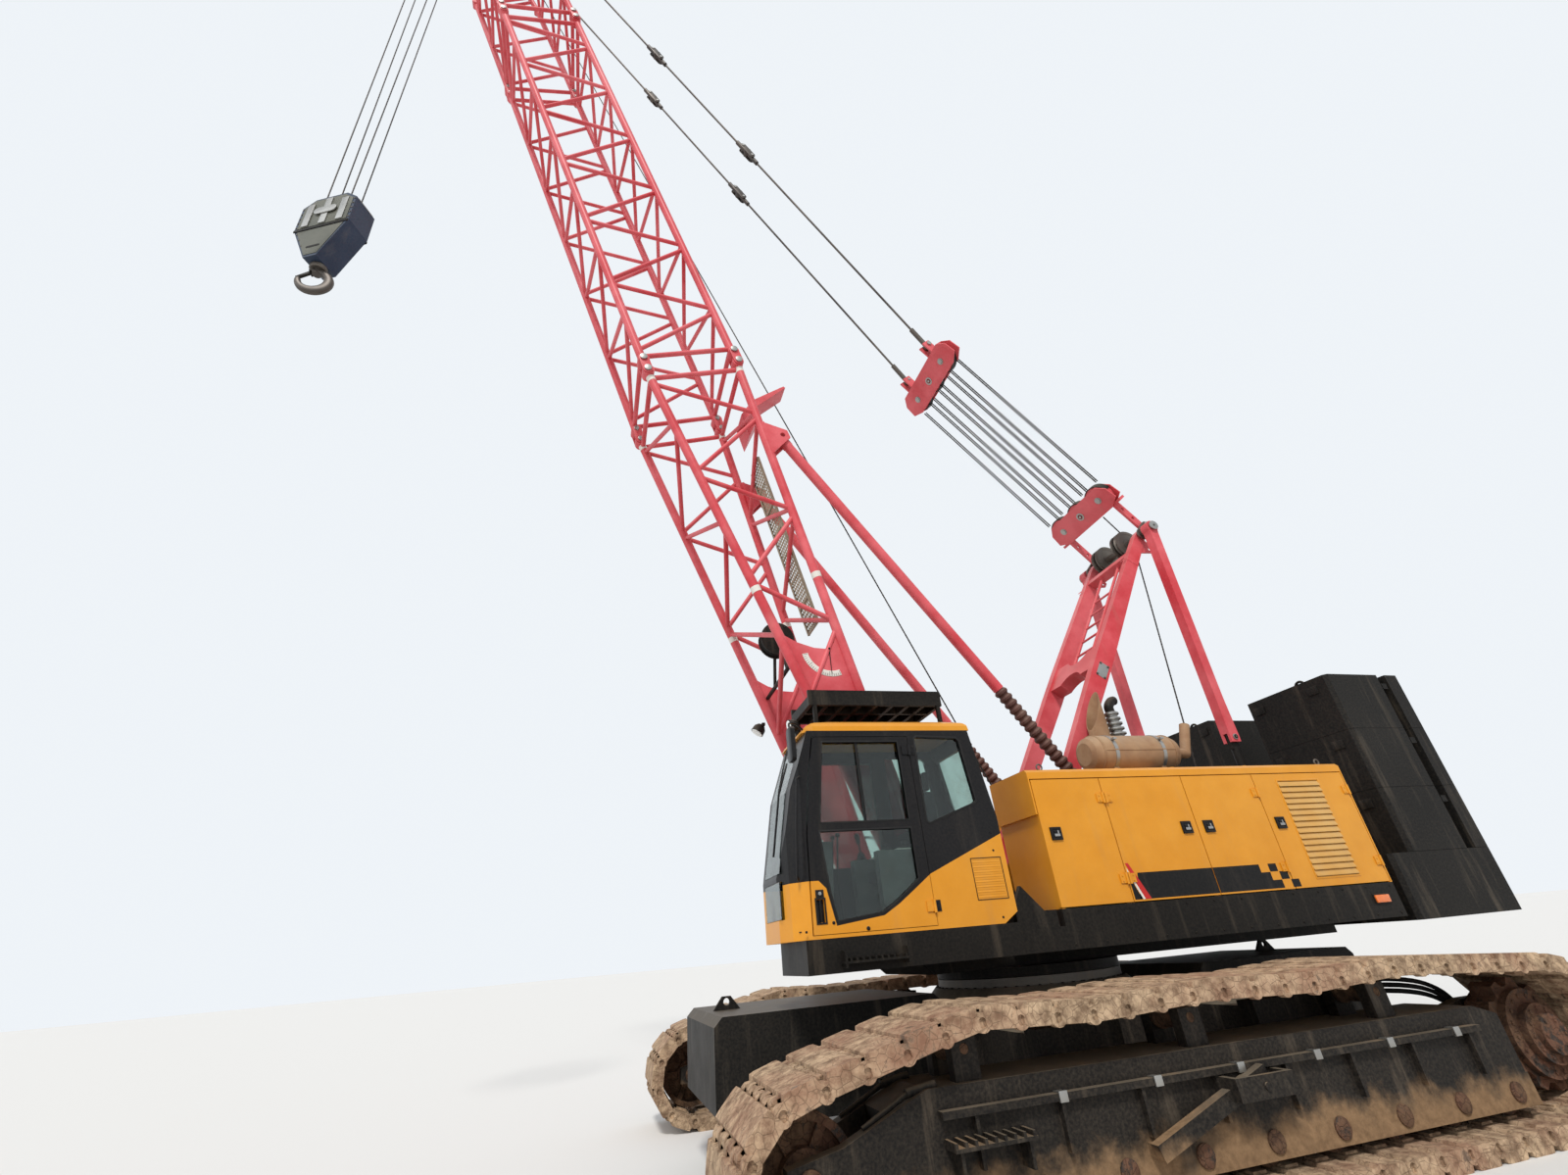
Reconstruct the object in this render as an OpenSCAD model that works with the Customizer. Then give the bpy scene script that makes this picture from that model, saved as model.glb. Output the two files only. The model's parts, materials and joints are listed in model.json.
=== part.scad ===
// Crawler crane with a pinned lattice boom.
// Millimetres. +X is forward, +Y is left, +Z is up.
// The origin is on the ground under the slewing centre.

/* [Tracks] */
// Overall width over both tracks
tracks_w = 5760; // [5600:20:6000]
// Width of one track shoe
shoe_w = 930; // [880:10:960]
// Distance from one track pin to the next
shoe_pitch = 268; // [260:1:290]
// Height of the track pins above the ground
pin_h = 100; // [95:1:105]
// Distance of the idler axle in front of the slewing centre
idler_x = 3270; // [3200:10:3350]
// Radius of the track pins round the idler
idler_pin_r = 400; // [380:5:420]
// Distance of the sprocket axle behind the slewing centre
sprocket_x = 2950; // [2900:10:3050]
// Radius of the track pins round the sprocket
sprocket_pin_r = 470; // [450:5:490]
// Height of the upper run's pins over the carrier rollers
upper_run_h = 1160; // [1140:5:1180]
// Sag of the upper run between the carrier rollers
upper_run_sag = 38; // [20:1:50]

/* [Undercarriage] */
// Width of a track frame
track_frame_w = 520; // [480:10:560]
// Height of the top of the carbody
carbody_top = 1190; // [1180:5:1200]
// Radius of the slewing bearing
slew_r = 930; // [880:10:980]
// Distance of the carbody weight's far face from the slewing centre
body_weight_x = 3490; // [3400:10:3550]
// Half width of the carbody weight
body_weight_half_w = 850; // [800:10:900]

/* [Upper works] */
// Underside of the main deck
deck_z = 1350; // [1345:1:1360]
// Half width of the machine housings
housing_y = 1570; // [1560:5:1600]
// Inner face of the machine housings
housing_inner_y = 880; // [870:5:900]
// Top of the machine housings
housing_top = 3020; // [3000:10:3060]
// Rear face of the machine housings
housing_rear_x = -3520; // [-3540:5:-3500]
// Front face of the machine housings
housing_front_x = 480; // [460:5:500]
// Thickness of the housing doors
door_t = 40; // [30:2:44]
// Gap between two neighbouring doors
door_gap = 10; // [8:1:14]

/* [Cab] */
// Left side of the cab
cab_y = 1610; // [1600:5:1640]
// Width of the cab
cab_w = 800; // [790:5:806]
// Thickness of the cab walls and of its door
cab_wall = 45; // [36:1:50]
// Thickness of the cab windows
glass_t = 8; // [6:1:10]

/* [Boom] */
// Angle of the boom above level
boom_angle = 72.4; // [70:0.2:75]
// Foot pin in front of the slewing centre
foot_x = 1290; // [1280:5:1300]
// Foot pin above the ground
foot_z = 1750; // [1740:5:1770]
// Length of the butt section
butt_len = 7450; // [7400:10:7500]
// Length of the middle section
insert_len = 9000; // [8900:20:9100]
// Length of the tip section out to the sheave shaft
tip_len = 5890; // [5840:10:5950]
// Distance of the sheave shaft in front of the boom's centre line
head_drop = 560; // [540:5:600]
// Spacing of the chords across the boom
boom_w = 1400; // [1380:5:1410]
// Spacing of the chords through the boom's depth
boom_h = 1300; // [1260:10:1340]
// Diameter of the chord tubes
chord_d = 115; // [100:1:120]
// Diameter of the lacing tubes
lacing_d = 60; // [50:1:66]

/* [Rigging] */
// Width over the gantry's rear legs
gantry_w = 1460; // [1420:10:1500]
// Distance of the pendants from the centre plane
pendant_y = 400; // [380:5:420]
// Diameter of the pendant lines
pendant_d = 36; // [30:1:44]
// Distance of the backstops from the centre plane
backstop_y = 665; // [660:1:670]
// Length of the hoist ropes down to the hook block's shaft
hoist_drop = 11400; // [11200:20:11500]
// Turn of the hook block about its ropes
block_turn = -25; // [-35:1:-15]

/* [Counterweight] */
// Rear face of the counterweight
cw_rear_x = -5550; // [-5650:10:-5500]
// Half width of the counterweight
cw_y = 1500; // [1450:10:1540]
// Underside of the counterweight base
cw_z = 1420; // [1400:5:1440]
// Thickness of the base slab
cw_base_h = 650; // [620:10:680]
// Thickness of one upper slab
cw_slab_h = 690; // [660:10:700]

/* [Hidden] */

RED = [0.72, 0.24, 0.22];
YELLOW = [0.93, 0.62, 0.16];
BLACK = [0.12, 0.12, 0.13];
MUD = [0.55, 0.43, 0.31];
STEEL = [0.45, 0.45, 0.46];
GLASS = [0.35, 0.45, 0.45, 0.5];
eps = 1;
seat_gap = 2;
move_gap = 6;
pin_play = 0.1;
hinge_d = 24;
hinge_h = 100;
hinge_out = 17;
rope_d = 22;

// Points on the track: the pin line runs over the idler, the upper run and the sprocket.
idler_z = pin_h + idler_pin_r;
sprocket_z = pin_h + sprocket_pin_r + 20;
link_in = 45;
link_out = pin_h;
link_step_depth = 38;
link_half_gap = 10;
arc_steps = 8;
// How far straight shoes dip inside the circle of their pins
chord_dip = 34;
carrier_x = [2180, 400, -1380];
track_y = tracks_w / 2 - shoe_w / 2;
idler_climb = 74;
idler_arc = [for (i = [0:arc_steps]) let (a = -90 + (90 + idler_climb) * i / arc_steps)
    [idler_x + idler_pin_r * cos(a), idler_z + idler_pin_r * sin(a)]];
sprocket_arc = [for (i = [0:arc_steps]) let (a = 96 + 168 * i / arc_steps)
    [-sprocket_x + sprocket_pin_r * cos(a), sprocket_z + sprocket_pin_r * sin(a)]];
upper_run = [for (i = [0:len(carrier_x) - 1], k = [0, 1])
    if (k == 0 || i < len(carrier_x) - 1)
        k == 0 ? [carrier_x[i], upper_run_h]
               : [(carrier_x[i] + carrier_x[i + 1]) / 2, upper_run_h - upper_run_sag]];
lower_run = [[-2420, pin_h]];
pin_line = concat(idler_arc, upper_run, sprocket_arc, lower_run);

function dist(a, b) = norm(b - a);
function lengths(p, i = 0, s = 0) = i > len(p) ? []
    : concat([s], i == len(p) ? [] : lengths(p, i + 1, s + dist(p[i], p[(i + 1) % len(p)])));
pin_line_s = lengths(pin_line);
loop_len = pin_line_s[len(pin_line)];
function on_line(t) = let (
    u = t - floor(t / loop_len) * loop_len,
    k = max([for (i = [0:len(pin_line) - 1]) pin_line_s[i] <= u ? i : 0]),
    a = pin_line[k], b = pin_line[(k + 1) % len(pin_line)])
    a + (b - a) * (u - pin_line_s[k]) / max(1, pin_line_s[k + 1] - pin_line_s[k]);
shoe_count = round(loop_len / shoe_pitch);
pins = [for (i = [0:shoe_count - 1]) on_line(i * loop_len / shoe_count)];

// A point of shoe i, given along the shoe and outward from its pin line.
function on_shoe(i, along, out) = let (
    a = pins[i], b = pins[(i + 1) % shoe_count], d = (b - a) / dist(a, b))
    a + d * (along < 0 ? dist(a, b) + along : along) + [d[1], -d[0]] * out;

// Frames of reference: the boom lies along +X with its upper side up, then it is raised.
module raise_boom() {
    translate([foot_x, 0, foot_z]) rotate([0, -boom_angle, 0]) children();
}
function boom_point(s, d) = [
    foot_x + s * cos(boom_angle) - d * sin(boom_angle),
    foot_z + s * sin(boom_angle) + d * cos(boom_angle)];

boom_len = butt_len + insert_len + tip_len;
tip_axis = boom_point(boom_len, -head_drop);
tip_sheave_r = 220;
rope_groove = 32;
// Distance of a hoist rope from the shaft that it hangs from
rope_r = tip_sheave_r - rope_groove + rope_d / 2 + seat_gap;
pendant_s = boom_len - 260;
pendant_up = 677;
pendant_pin = boom_point(pendant_s, pendant_up);
gantry_head = [-3280, 6860];
gantry_top = [-3180, 6710];
spreader_pin = gantry_head;
upper_spreader_pin = [-480, 10230];
backstop_foot = [-1050, 2700];
backstop_eye = [2350, 7700];
backstop_len = dist(backstop_foot, backstop_eye);
backstop_angle = atan2(backstop_eye[1] - backstop_foot[1], backstop_eye[0] - backstop_foot[0]);
backstop_bore_d = 92;
backstop_rod_d = 76;
backstop_tube_d = 132;
tube_start = 1790;
foot_pin_d = 140;
foot_lug_t = 60;

// Round bar or tube between two points in space.
module bar(a, b, d) {
    v = b - a;
    translate(a) rotate([0, acos(v[2] / norm(v)), atan2(v[1], v[0])])
        cylinder(d = d, h = norm(v), $fn = 24);
}

// Plate with an outline in the XZ plane, from y0 to y1.
module side_plate(pts, y0, y1) {
    translate([0, y1, 0]) rotate([90, 0, 0]) linear_extrude(y1 - y0) polygon(pts);
}

module block(x0, x1, y0, y1, z0, z1) {
    translate([x0, y0, z0]) cube([x1 - x0, y1 - y0, z1 - z0]);
}

// Cylinder whose axis lies along Y.
module disc_y(x, z, y0, y1, d) {
    translate([x, y1, z]) rotate([90, 0, 0]) cylinder(d = d, h = y1 - y0, $fn = 48);
}

module both_sides() {
    children();
    mirror([0, 1, 0]) children();
}

// Undercarriage

module track() {
    outer = [for (i = [0:shoe_count - 1], k = [0:3])
        on_shoe(i, k < 2 ? link_half_gap : -link_half_gap,
            k == 0 || k == 3 ? link_out - link_step_depth : link_out)];
    inner = [for (i = [0:shoe_count - 1]) on_shoe(i, 0, -link_in)];
    translate([0, tracks_w / 2, 0]) rotate([90, 0, 0]) linear_extrude(shoe_w)
        polygon(concat(outer, inner), [
            [for (i = [0:len(outer) - 1]) i],
            [for (i = [0:len(inner) - 1]) len(outer) + i]]);
}
module track_left() { color(MUD) track(); }
module track_right() { color(MUD) mirror([0, 1, 0]) track(); }

roller_d = 300;
roller_z = pin_h + link_in + seat_gap + roller_d / 2;
roller_w = 300;
roller_axle_d = 90;
roller_x = [for (i = [0:8]) -2240 + i * 580];
carrier_d = 170;
carrier_z = upper_run_h - link_in - seat_gap - carrier_d / 2 - 10;
guard_t = 40;
frame_low = 400;
frame_top = 850;
fork_w = 320;
idler_axle_d = 150;
hub_d = 420;

// Ribs, a toothed step and the bracket of a jack on the frame's outer face
module track_frame_forms(face) {
    for (i = [0:7]) block(-1990 + i * 600, -1966 + i * 600, face - eps, face + 45,
        frame_low + 40, 701);
    block(1900, 2440, face - eps, face + 150, 560, 580);
    for (i = [0:8]) block(1910 + i * 64, 1928 + i * 64, face + 10, face + 148, 579, 606);
    for (x = [1930, 2380]) side_plate([[x, 420], [x + 20, 420], [x + 20, 561], [x, 561]],
        face - eps, face + 120);
    difference() {
        block(-60, 420, face - eps, face + 190, 560, 690);
        block(-20, 380, face + 40, face + 160, 550, 700);
    }
    bar([180, face + 20, 625], [180, face + 200, 625], 50);
    // The jack's beam, folded down along the frame
    side_plate([[60, 640], [90, 730], [1080, 420], [1050, 330]], face + 50, face + 120);
    block(960, 1060, face - eps, face + 51, 345, 415);
}

module track_frame() {
    half = track_frame_w / 2;
    difference() {
        union() {
            side_plate([[-2420, frame_low], [2560, frame_low], [3060, 400], [3400, 420],
                [3400, 580], [3060, 640], [2500, frame_top], [-2200, frame_top],
                [-2420, 780]], track_y - half, track_y + half);
            // Motor box round the sprocket's shaft, inboard of the sprocket
            side_plate([[-2419, 420], [-2419, 780], [-2750, 840], [-3150, 840], [-3250, 740],
                [-3250, 440], [-3150, 360], [-2750, 360]], track_y - half, track_y - 170);
            // Side ledge along the outer face
            block(-2100, 2450, track_y + half - eps, track_y + half + 60, 700, 740);
            for (s = [-1, 1]) let (y = track_y + s * (half - guard_t / 2))
                block(roller_x[0] - 200, roller_x[8] + 200, y - guard_t / 2, y + guard_t / 2,
                    200, frame_low + eps);
            for (x = carrier_x) block(x - 90, x + 90, track_y - 200, track_y - 110,
                frame_top - eps, carrier_z + 60);
            for (x = carrier_x) block(x - 90, x + 90, track_y + 110, track_y + 200,
                frame_top - eps, carrier_z + 60);
            track_frame_forms(track_y + half);
        }
        // Channel that the lower rollers run in
        block(roller_x[0] - 210, roller_x[8] + 210, track_y - roller_w / 2 - 15,
            track_y + roller_w / 2 + 15, 190, roller_z + roller_d / 2 + 13);
        block(2760, 3500, track_y - fork_w / 2, track_y + fork_w / 2, 300, 900);
        disc_y(idler_x, idler_z, track_y - half - 9, track_y + half + 9, idler_axle_d + 4);
        disc_y(-sprocket_x, sprocket_z, track_y - half - 9, track_y, hub_d - 90);
        for (x = roller_x)
            disc_y(x, roller_z, track_y - half - 9, track_y + half + 9, roller_axle_d + 4);
        for (x = carrier_x)
            disc_y(x, carrier_z, track_y - 260, track_y + 260, roller_axle_d - 26);
    }
}
module track_frames() { color(BLACK) both_sides() track_frame(); }

module roller(d, w) {
    flange = 26;
    rotate([90, 0, 0]) translate([0, 0, -w / 2]) rotate_extrude($fn = 40) polygon([
        [0, 0], [d / 2, 0], [d / 2, flange], [d / 2 - 14, flange + 10],
        [d / 2 - 14, w - flange - 10], [d / 2, w - flange], [d / 2, w], [0, w]]);
}
module track_rollers() {
    color(MUD) both_sides() {
        for (x = roller_x) translate([x, track_y, roller_z]) {
            roller(roller_d, roller_w);
            disc_y(0, 0, -track_frame_w / 2, track_frame_w / 2, roller_axle_d);
        }
        for (x = carrier_x) translate([x, track_y, carrier_z]) {
            roller(carrier_d, 210);
            disc_y(0, 0, -200, 200, roller_axle_d - 30);
        }
    }
}

idler_rim_r = idler_pin_r - link_in - chord_dip;
module idler() {
    ribs = 6;
    rim = idler_rim_r;
    rotate([90, 0, 0]) rotate_extrude($fn = 48) polygon([
        [0, -280], [idler_axle_d / 2, -280], [idler_axle_d / 2, -156], [150, -156], [150, -65],
        [rim - 50, -65], [rim - 50, -125], [rim, -125], [rim, -99], [rim - 14, -89],
        [rim - 14, 89], [rim, 99], [rim, 125], [rim - 50, 125], [rim - 50, 65],
        [150, 65], [150, 156], [idler_axle_d / 2, 156], [idler_axle_d / 2, 280], [0, 280]]);
    for (i = [0:ribs - 1]) rotate([0, i * 360 / ribs, 0])
        block(120, rim - 30, -100, 100, -28, 28);
}
module idler_wheels() {
    color(MUD) both_sides() translate([idler_x, track_y, idler_z]) idler();
}

module sprocket() {
    teeth = 11;
    root_r = sprocket_pin_r - link_in - chord_dip - 56;
    tip_r = sprocket_pin_r - link_in - chord_dip;
    rotate([90, 0, 0]) linear_extrude(180, center = true) polygon([
        for (i = [0:teeth - 1], k = [0:3]) let (
            a = (i + [-0.36, -0.16, 0.16, 0.36][k]) * 360 / teeth,
            r = k == 0 || k == 3 ? root_r : tip_r) [r * cos(a), r * sin(a)]]);
    disc_y(0, 0, -150, 150, 620);
    disc_y(0, 0, -track_frame_w / 2 - 60, 0, hub_d - 100);
    disc_y(0, 0, 0, 210, hub_d);
    disc_y(0, 0, 0, 260, hub_d - 140);
}
module drive_sprockets() {
    color(MUD) both_sides() translate([-sprocket_x, track_y, sprocket_z]) sprocket();
}

beam_x = 1000;
beam_w = 560;
carbody_low = 480;
module carbody() {
    frame_in = tracks_w / 2 - shoe_w / 2 - track_frame_w / 2;
    color(BLACK) {
        block(-1400, 1400, -1150, 1150, carbody_low, carbody_top - 140);
        translate([0, 0, carbody_top - 141]) cylinder(r1 = slew_r + 180, r2 = slew_r + 40,
            h = 141, $fn = 64);
        for (x = [-beam_x, beam_x]) both_sides() {
            block(x - beam_w / 2, x + beam_w / 2, 1149, frame_in, carbody_low + 20, 960);
            block(x - beam_w / 2 - 80, x + beam_w / 2 + 80, frame_in - 160, frame_in,
                carbody_low - 40, 1010);
        }
    }
}
module carbody_weight() {
    lug_x = body_weight_x - 260;
    eye_z = 1285;
    side_plate([[1400, carbody_low - 20], [body_weight_x - 120, 460], [body_weight_x, 560],
        [body_weight_x, 1150], [body_weight_x - 70, 1220], [1500, 1220], [1400, 1120]],
        -body_weight_half_w, body_weight_half_w);
    difference() {
        side_plate([[lug_x - 130, 1219], [lug_x + 130, 1219], [lug_x + 40, 1330],
            [lug_x - 40, 1330]], -20, 20);
        disc_y(lug_x, eye_z, -60, 60, 60);
    }
}
module carbody_weights() {
    color(BLACK) {
        carbody_weight();
        rotate([0, 0, 180]) carbody_weight();
    }
}
module slew_ring() {
    color(STEEL) difference() {
        translate([0, 0, carbody_top]) cylinder(r = slew_r, h = 74, $fn = 72);
        translate([0, 0, carbody_top - 9]) cylinder(r = slew_r - 160, h = 99, $fn = 72);
    }
}

// Upper works

frame_y = 600;
frame_top_z = 1800;
skirt_z = [1470, 1790];
cab_floor_z = 1715;
cab_rear_x = 950;
cab_front_x = 3000;
deck_rear_x = -3700;
gantry_foot = [-100, 2150];
gantry_leg_y = 500;
gantry_leg_t = 110;
rear_leg_x = -3140;
module lug_pair(x, z, base_z, y, gap, t, r, hole_d) {
    for (s = [-1, 1]) let (y0 = y + s * (gap + t) / 2) difference() {
        union() {
            side_plate([[x - r * 1.6, base_z], [x + r * 1.6, base_z], [x + r * 0.9, z],
                [x - r * 0.9, z]], y0 - t / 2, y0 + t / 2);
            disc_y(x, z, y0 - t / 2, y0 + t / 2, r * 2);
        }
        disc_y(x, z, y0 - t, y0 + t, hole_d);
    }
}
module revolving_frame() {
    color(BLACK) {
        translate([0, 0, carbody_top + 74 + move_gap])
            cylinder(r = slew_r, h = deck_z - carbody_top - 73 - move_gap, $fn = 72);
        side_plate([[deck_rear_x, deck_z], [1350, deck_z], [1520, deck_z + 150],
            [1520, frame_top_z - 200], [1100, frame_top_z - 160], [900, frame_top_z],
            [deck_rear_x, frame_top_z]], -frame_y, frame_y);
        both_sides() {
            block(housing_rear_x, housing_front_x, frame_y - eps, housing_y,
                skirt_z[0], skirt_z[1]);
            lug_pair(foot_x, foot_z, deck_z + 120, boom_w / 2, foot_lug_t + 2 * move_gap,
                45, 130, foot_pin_d);
            disc_y(foot_x, foot_z, boom_w / 2 - 100, boom_w / 2 + 100, foot_pin_d);
            block(foot_x - 208, foot_x + 208, frame_y - eps, boom_w / 2 + 83,
                deck_z + 100, deck_z + 140);
            lug_pair(backstop_foot[0], backstop_foot[1], frame_top_z - eps, backstop_y,
                96, 30, 80, 60);
            disc_y(backstop_foot[0], backstop_foot[1], backstop_y - 90, backstop_y + 90, 60);
            block(backstop_foot[0] - 130, backstop_foot[0] + 130, frame_y - eps,
                backstop_y + 80, skirt_z[0] + 60, frame_top_z);
            lug_pair(gantry_foot[0], gantry_foot[1], frame_top_z - eps, gantry_leg_y,
                gantry_leg_t + 2 * seat_gap, 24, 70, 60);
            disc_y(gantry_foot[0], gantry_foot[1], gantry_leg_y - 95, gantry_leg_y + 95, 60);
        }
        block(cab_rear_x, 2870, boom_w / 2 + 104, cab_y, skirt_z[0], cab_floor_z);
        block(housing_front_x - eps, cab_rear_x + eps, 810, housing_y, skirt_z[0],
            cab_floor_z - 60);
        mirror([0, 1, 0]) block(housing_front_x - eps, 1950, 810, housing_y, skirt_z[0],
            cab_floor_z);
        // Bracket between the cab and the housing, and the toothed step under the cab's door
        side_plate([[530, cab_floor_z - 61], [940, cab_floor_z - 61], [940, 1830], [838, 2000],
            [652, 1790], [530, 1790]], housing_y - 60, housing_y - 10);
        block(2030, 2600, cab_y - 20, cab_y + 90, 1530, 1545);
        for (x = [2040, 2570]) block(x, x + 20, cab_y - 20, cab_y + 88, 1500, 1620);
        for (i = [0:9]) block(2066 + i * 52, 2082 + i * 52, cab_y + 4, cab_y + 88, 1544, 1568);
    }
}

roof_t = 90;
wall_t = 40;
door_low = 1800;
door_high = housing_top - roof_t;
// Columns: front edge x, rear edge x, side of the hinge (1 front, -1 rear), louvred
left_doors = [
    [housing_front_x, -300, -1, false],
    [-300, -1300, 1, false],
    [-1300, -2230, -1, false],
    [-2230, housing_rear_x + 20, -1, true]];
right_doors = [
    [housing_front_x, -740, -1, false],
    [-740, -2230, 1, false],
    [-2230, housing_rear_x + 20, -1, true]];
module housing(doors) {
    difference() {
        block(housing_rear_x, housing_front_x + 20, housing_inner_y, housing_y,
            skirt_z[1], housing_top);
        block(housing_rear_x + wall_t, housing_front_x - wall_t, housing_inner_y + wall_t,
            housing_y + eps, skirt_z[1] - eps, door_high - 10);
        // Chamfered top edge along the outer side
        translate([0, housing_y, housing_top]) rotate([45, 0, 0])
            cube([20000, 40, 40], center = true);
        // Recess under the front fascia
        block(housing_front_x - 10, housing_front_x + 30, housing_inner_y - 9, housing_y + 9,
            skirt_z[1] - 9, 2600);
        // The doors' own place in the side
        block(housing_rear_x + 15, housing_front_x + 5, housing_y - door_t - move_gap,
            housing_y + 9, skirt_z[1] + 4, door_high);
    }
    for (i = [1:len(doors) - 1]) block(doors[i][0] - 40, doors[i][0] + 40,
        housing_y - door_t - move_gap - 40, housing_y - door_t - move_gap,
        skirt_z[1], door_high - 9);
}
module housing_left() { color(YELLOW) housing(left_doors); }
module housing_right() { color(YELLOW) mirror([0, 1, 0]) housing(right_doors); }

// Hinge barrel outside a door's face, with the strap that holds it to the door.
module hinge_barrel(x, y, z, side) {
    translate([x, y + hinge_out, z]) cylinder(d = hinge_d, h = hinge_h, $fn = 24);
    block(min(x, x + side * 70), max(x, x + side * 70), y - eps, y + hinge_out - 4,
        z + 10, z + hinge_h - 10);
}

// A door of the housing: its sheet, louvres where it has them, and a latch plate.
module side_door(row) {
    x0 = row[1] + door_gap / 2;
    x1 = row[0] - door_gap / 2;
    latch_x = row[2] > 0 ? x0 + 130 : x1 - 130;
    slats = 16;
    difference() {
        block(x0, x1, housing_y - door_t, housing_y, door_low, door_high - door_gap);
        if (row[3]) block(x0 + 380, x1 - 320, housing_y - door_t - 9, housing_y + 9,
            door_low + 90, door_high - 90);
    }
    if (row[3]) for (i = [0:slats - 1]) {
        pitch = (door_high - door_low - 180) / slats;
        z = door_low + 90 + pitch * i;
        translate([x0 + 379, housing_y - 6, z]) rotate([0, 90, 0]) rotate([0, 0, 180])
            linear_extrude(x1 - x0 - 698)
            polygon([[0, 0], [-pitch * 0.2, 0], [-pitch, door_t - 12], [-pitch * 0.8, door_t - 12]]);
    }
    block(latch_x - 45, latch_x + 45, housing_y - eps, housing_y + 8, 2375, 2465);
    block(latch_x - 24, latch_x + 24, housing_y, housing_y + 22, 2398, 2412);
    hinge_x = row[2] > 0 ? x1 - 10 : x0 + 10;
    for (z = [door_low + 150, door_high - 250])
        hinge_barrel(hinge_x, housing_y, z, row[2] > 0 ? -1 : 1);
}
module side_door_l1() { color(YELLOW) side_door(left_doors[0]); }
module side_door_l2() { color(YELLOW) side_door(left_doors[1]); }
module side_door_l3() { color(YELLOW) side_door(left_doors[2]); }
module side_door_l4() { color(YELLOW) side_door(left_doors[3]); }
module side_door_r1() { color(YELLOW) mirror([0, 1, 0]) side_door(right_doors[0]); }
module side_door_r2() { color(YELLOW) mirror([0, 1, 0]) side_door(right_doors[1]); }
module side_door_r3() { color(YELLOW) mirror([0, 1, 0]) side_door(right_doors[2]); }

module engine_block() {
    color(STEEL) block(-2900, -900, housing_inner_y + 80, housing_y - 140, skirt_z[1], 2700);
}
muffler_d = 400;
muffler_x = [-1770, -610];
muffler_z = housing_top + 60 + muffler_d / 2;
module muffler() {
    y = 1100;
    color([0.66, 0.58, 0.45]) {
        translate([muffler_x[0], y, muffler_z]) rotate([0, 90, 0]) rotate_extrude($fn = 48)
            polygon([[0, 0], [120, 0], [170, 30], [muffler_d / 2, 110],
                [muffler_d / 2, muffler_x[1] - muffler_x[0] - 110],
                [170, muffler_x[1] - muffler_x[0] - 30], [120, muffler_x[1] - muffler_x[0]],
                [0, muffler_x[1] - muffler_x[0]]]);
        for (x = [-1500, -880]) block(x - 30, x + 30, y - 120, y + 120,
            housing_top, muffler_z - 100);
        bar([muffler_x[0] + 60, y, muffler_z], [muffler_x[0] - 220, y, muffler_z], 110);
        bar([muffler_x[0] - 200, y, muffler_z], [muffler_x[0] - 330, y, muffler_z + 330], 110);
    }
}
module fuel_tank() {
    color(YELLOW) mirror([0, 1, 0]) side_plate([[620, cab_floor_z], [1900, cab_floor_z],
        [1900, 2380], [1820, 2460], [700, 2460], [620, 2380]], housing_inner_y, housing_y - 20);
}

// Columns: x, height of the drum shaft
drum_places = [[-800, 2180], [-1760, 2180], [-2640, 2140]];
drum_r = 210;
drum_flange_r = 320;
drum_half = 340;
module winch_drums() {
    color(STEEL) for (p = drum_places) {
        disc_y(p[0], p[1], -drum_half, drum_half, drum_r * 2);
        for (s = [-1, 1]) {
            disc_y(p[0], p[1], s * drum_half - 15, s * drum_half + 15, drum_flange_r * 2);
            side_plate([[p[0] - 240, frame_top_z], [p[0] + 240, frame_top_z],
                [p[0] + 120, p[1] + 90], [p[0] - 120, p[1] + 90]],
                s * (drum_half + 42) - 12, s * (drum_half + 42) + 12);
            disc_y(p[0], p[1], s * (drum_half + 30) - 40, s * (drum_half + 30) + 40, 140);
        }
    }
}

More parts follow.
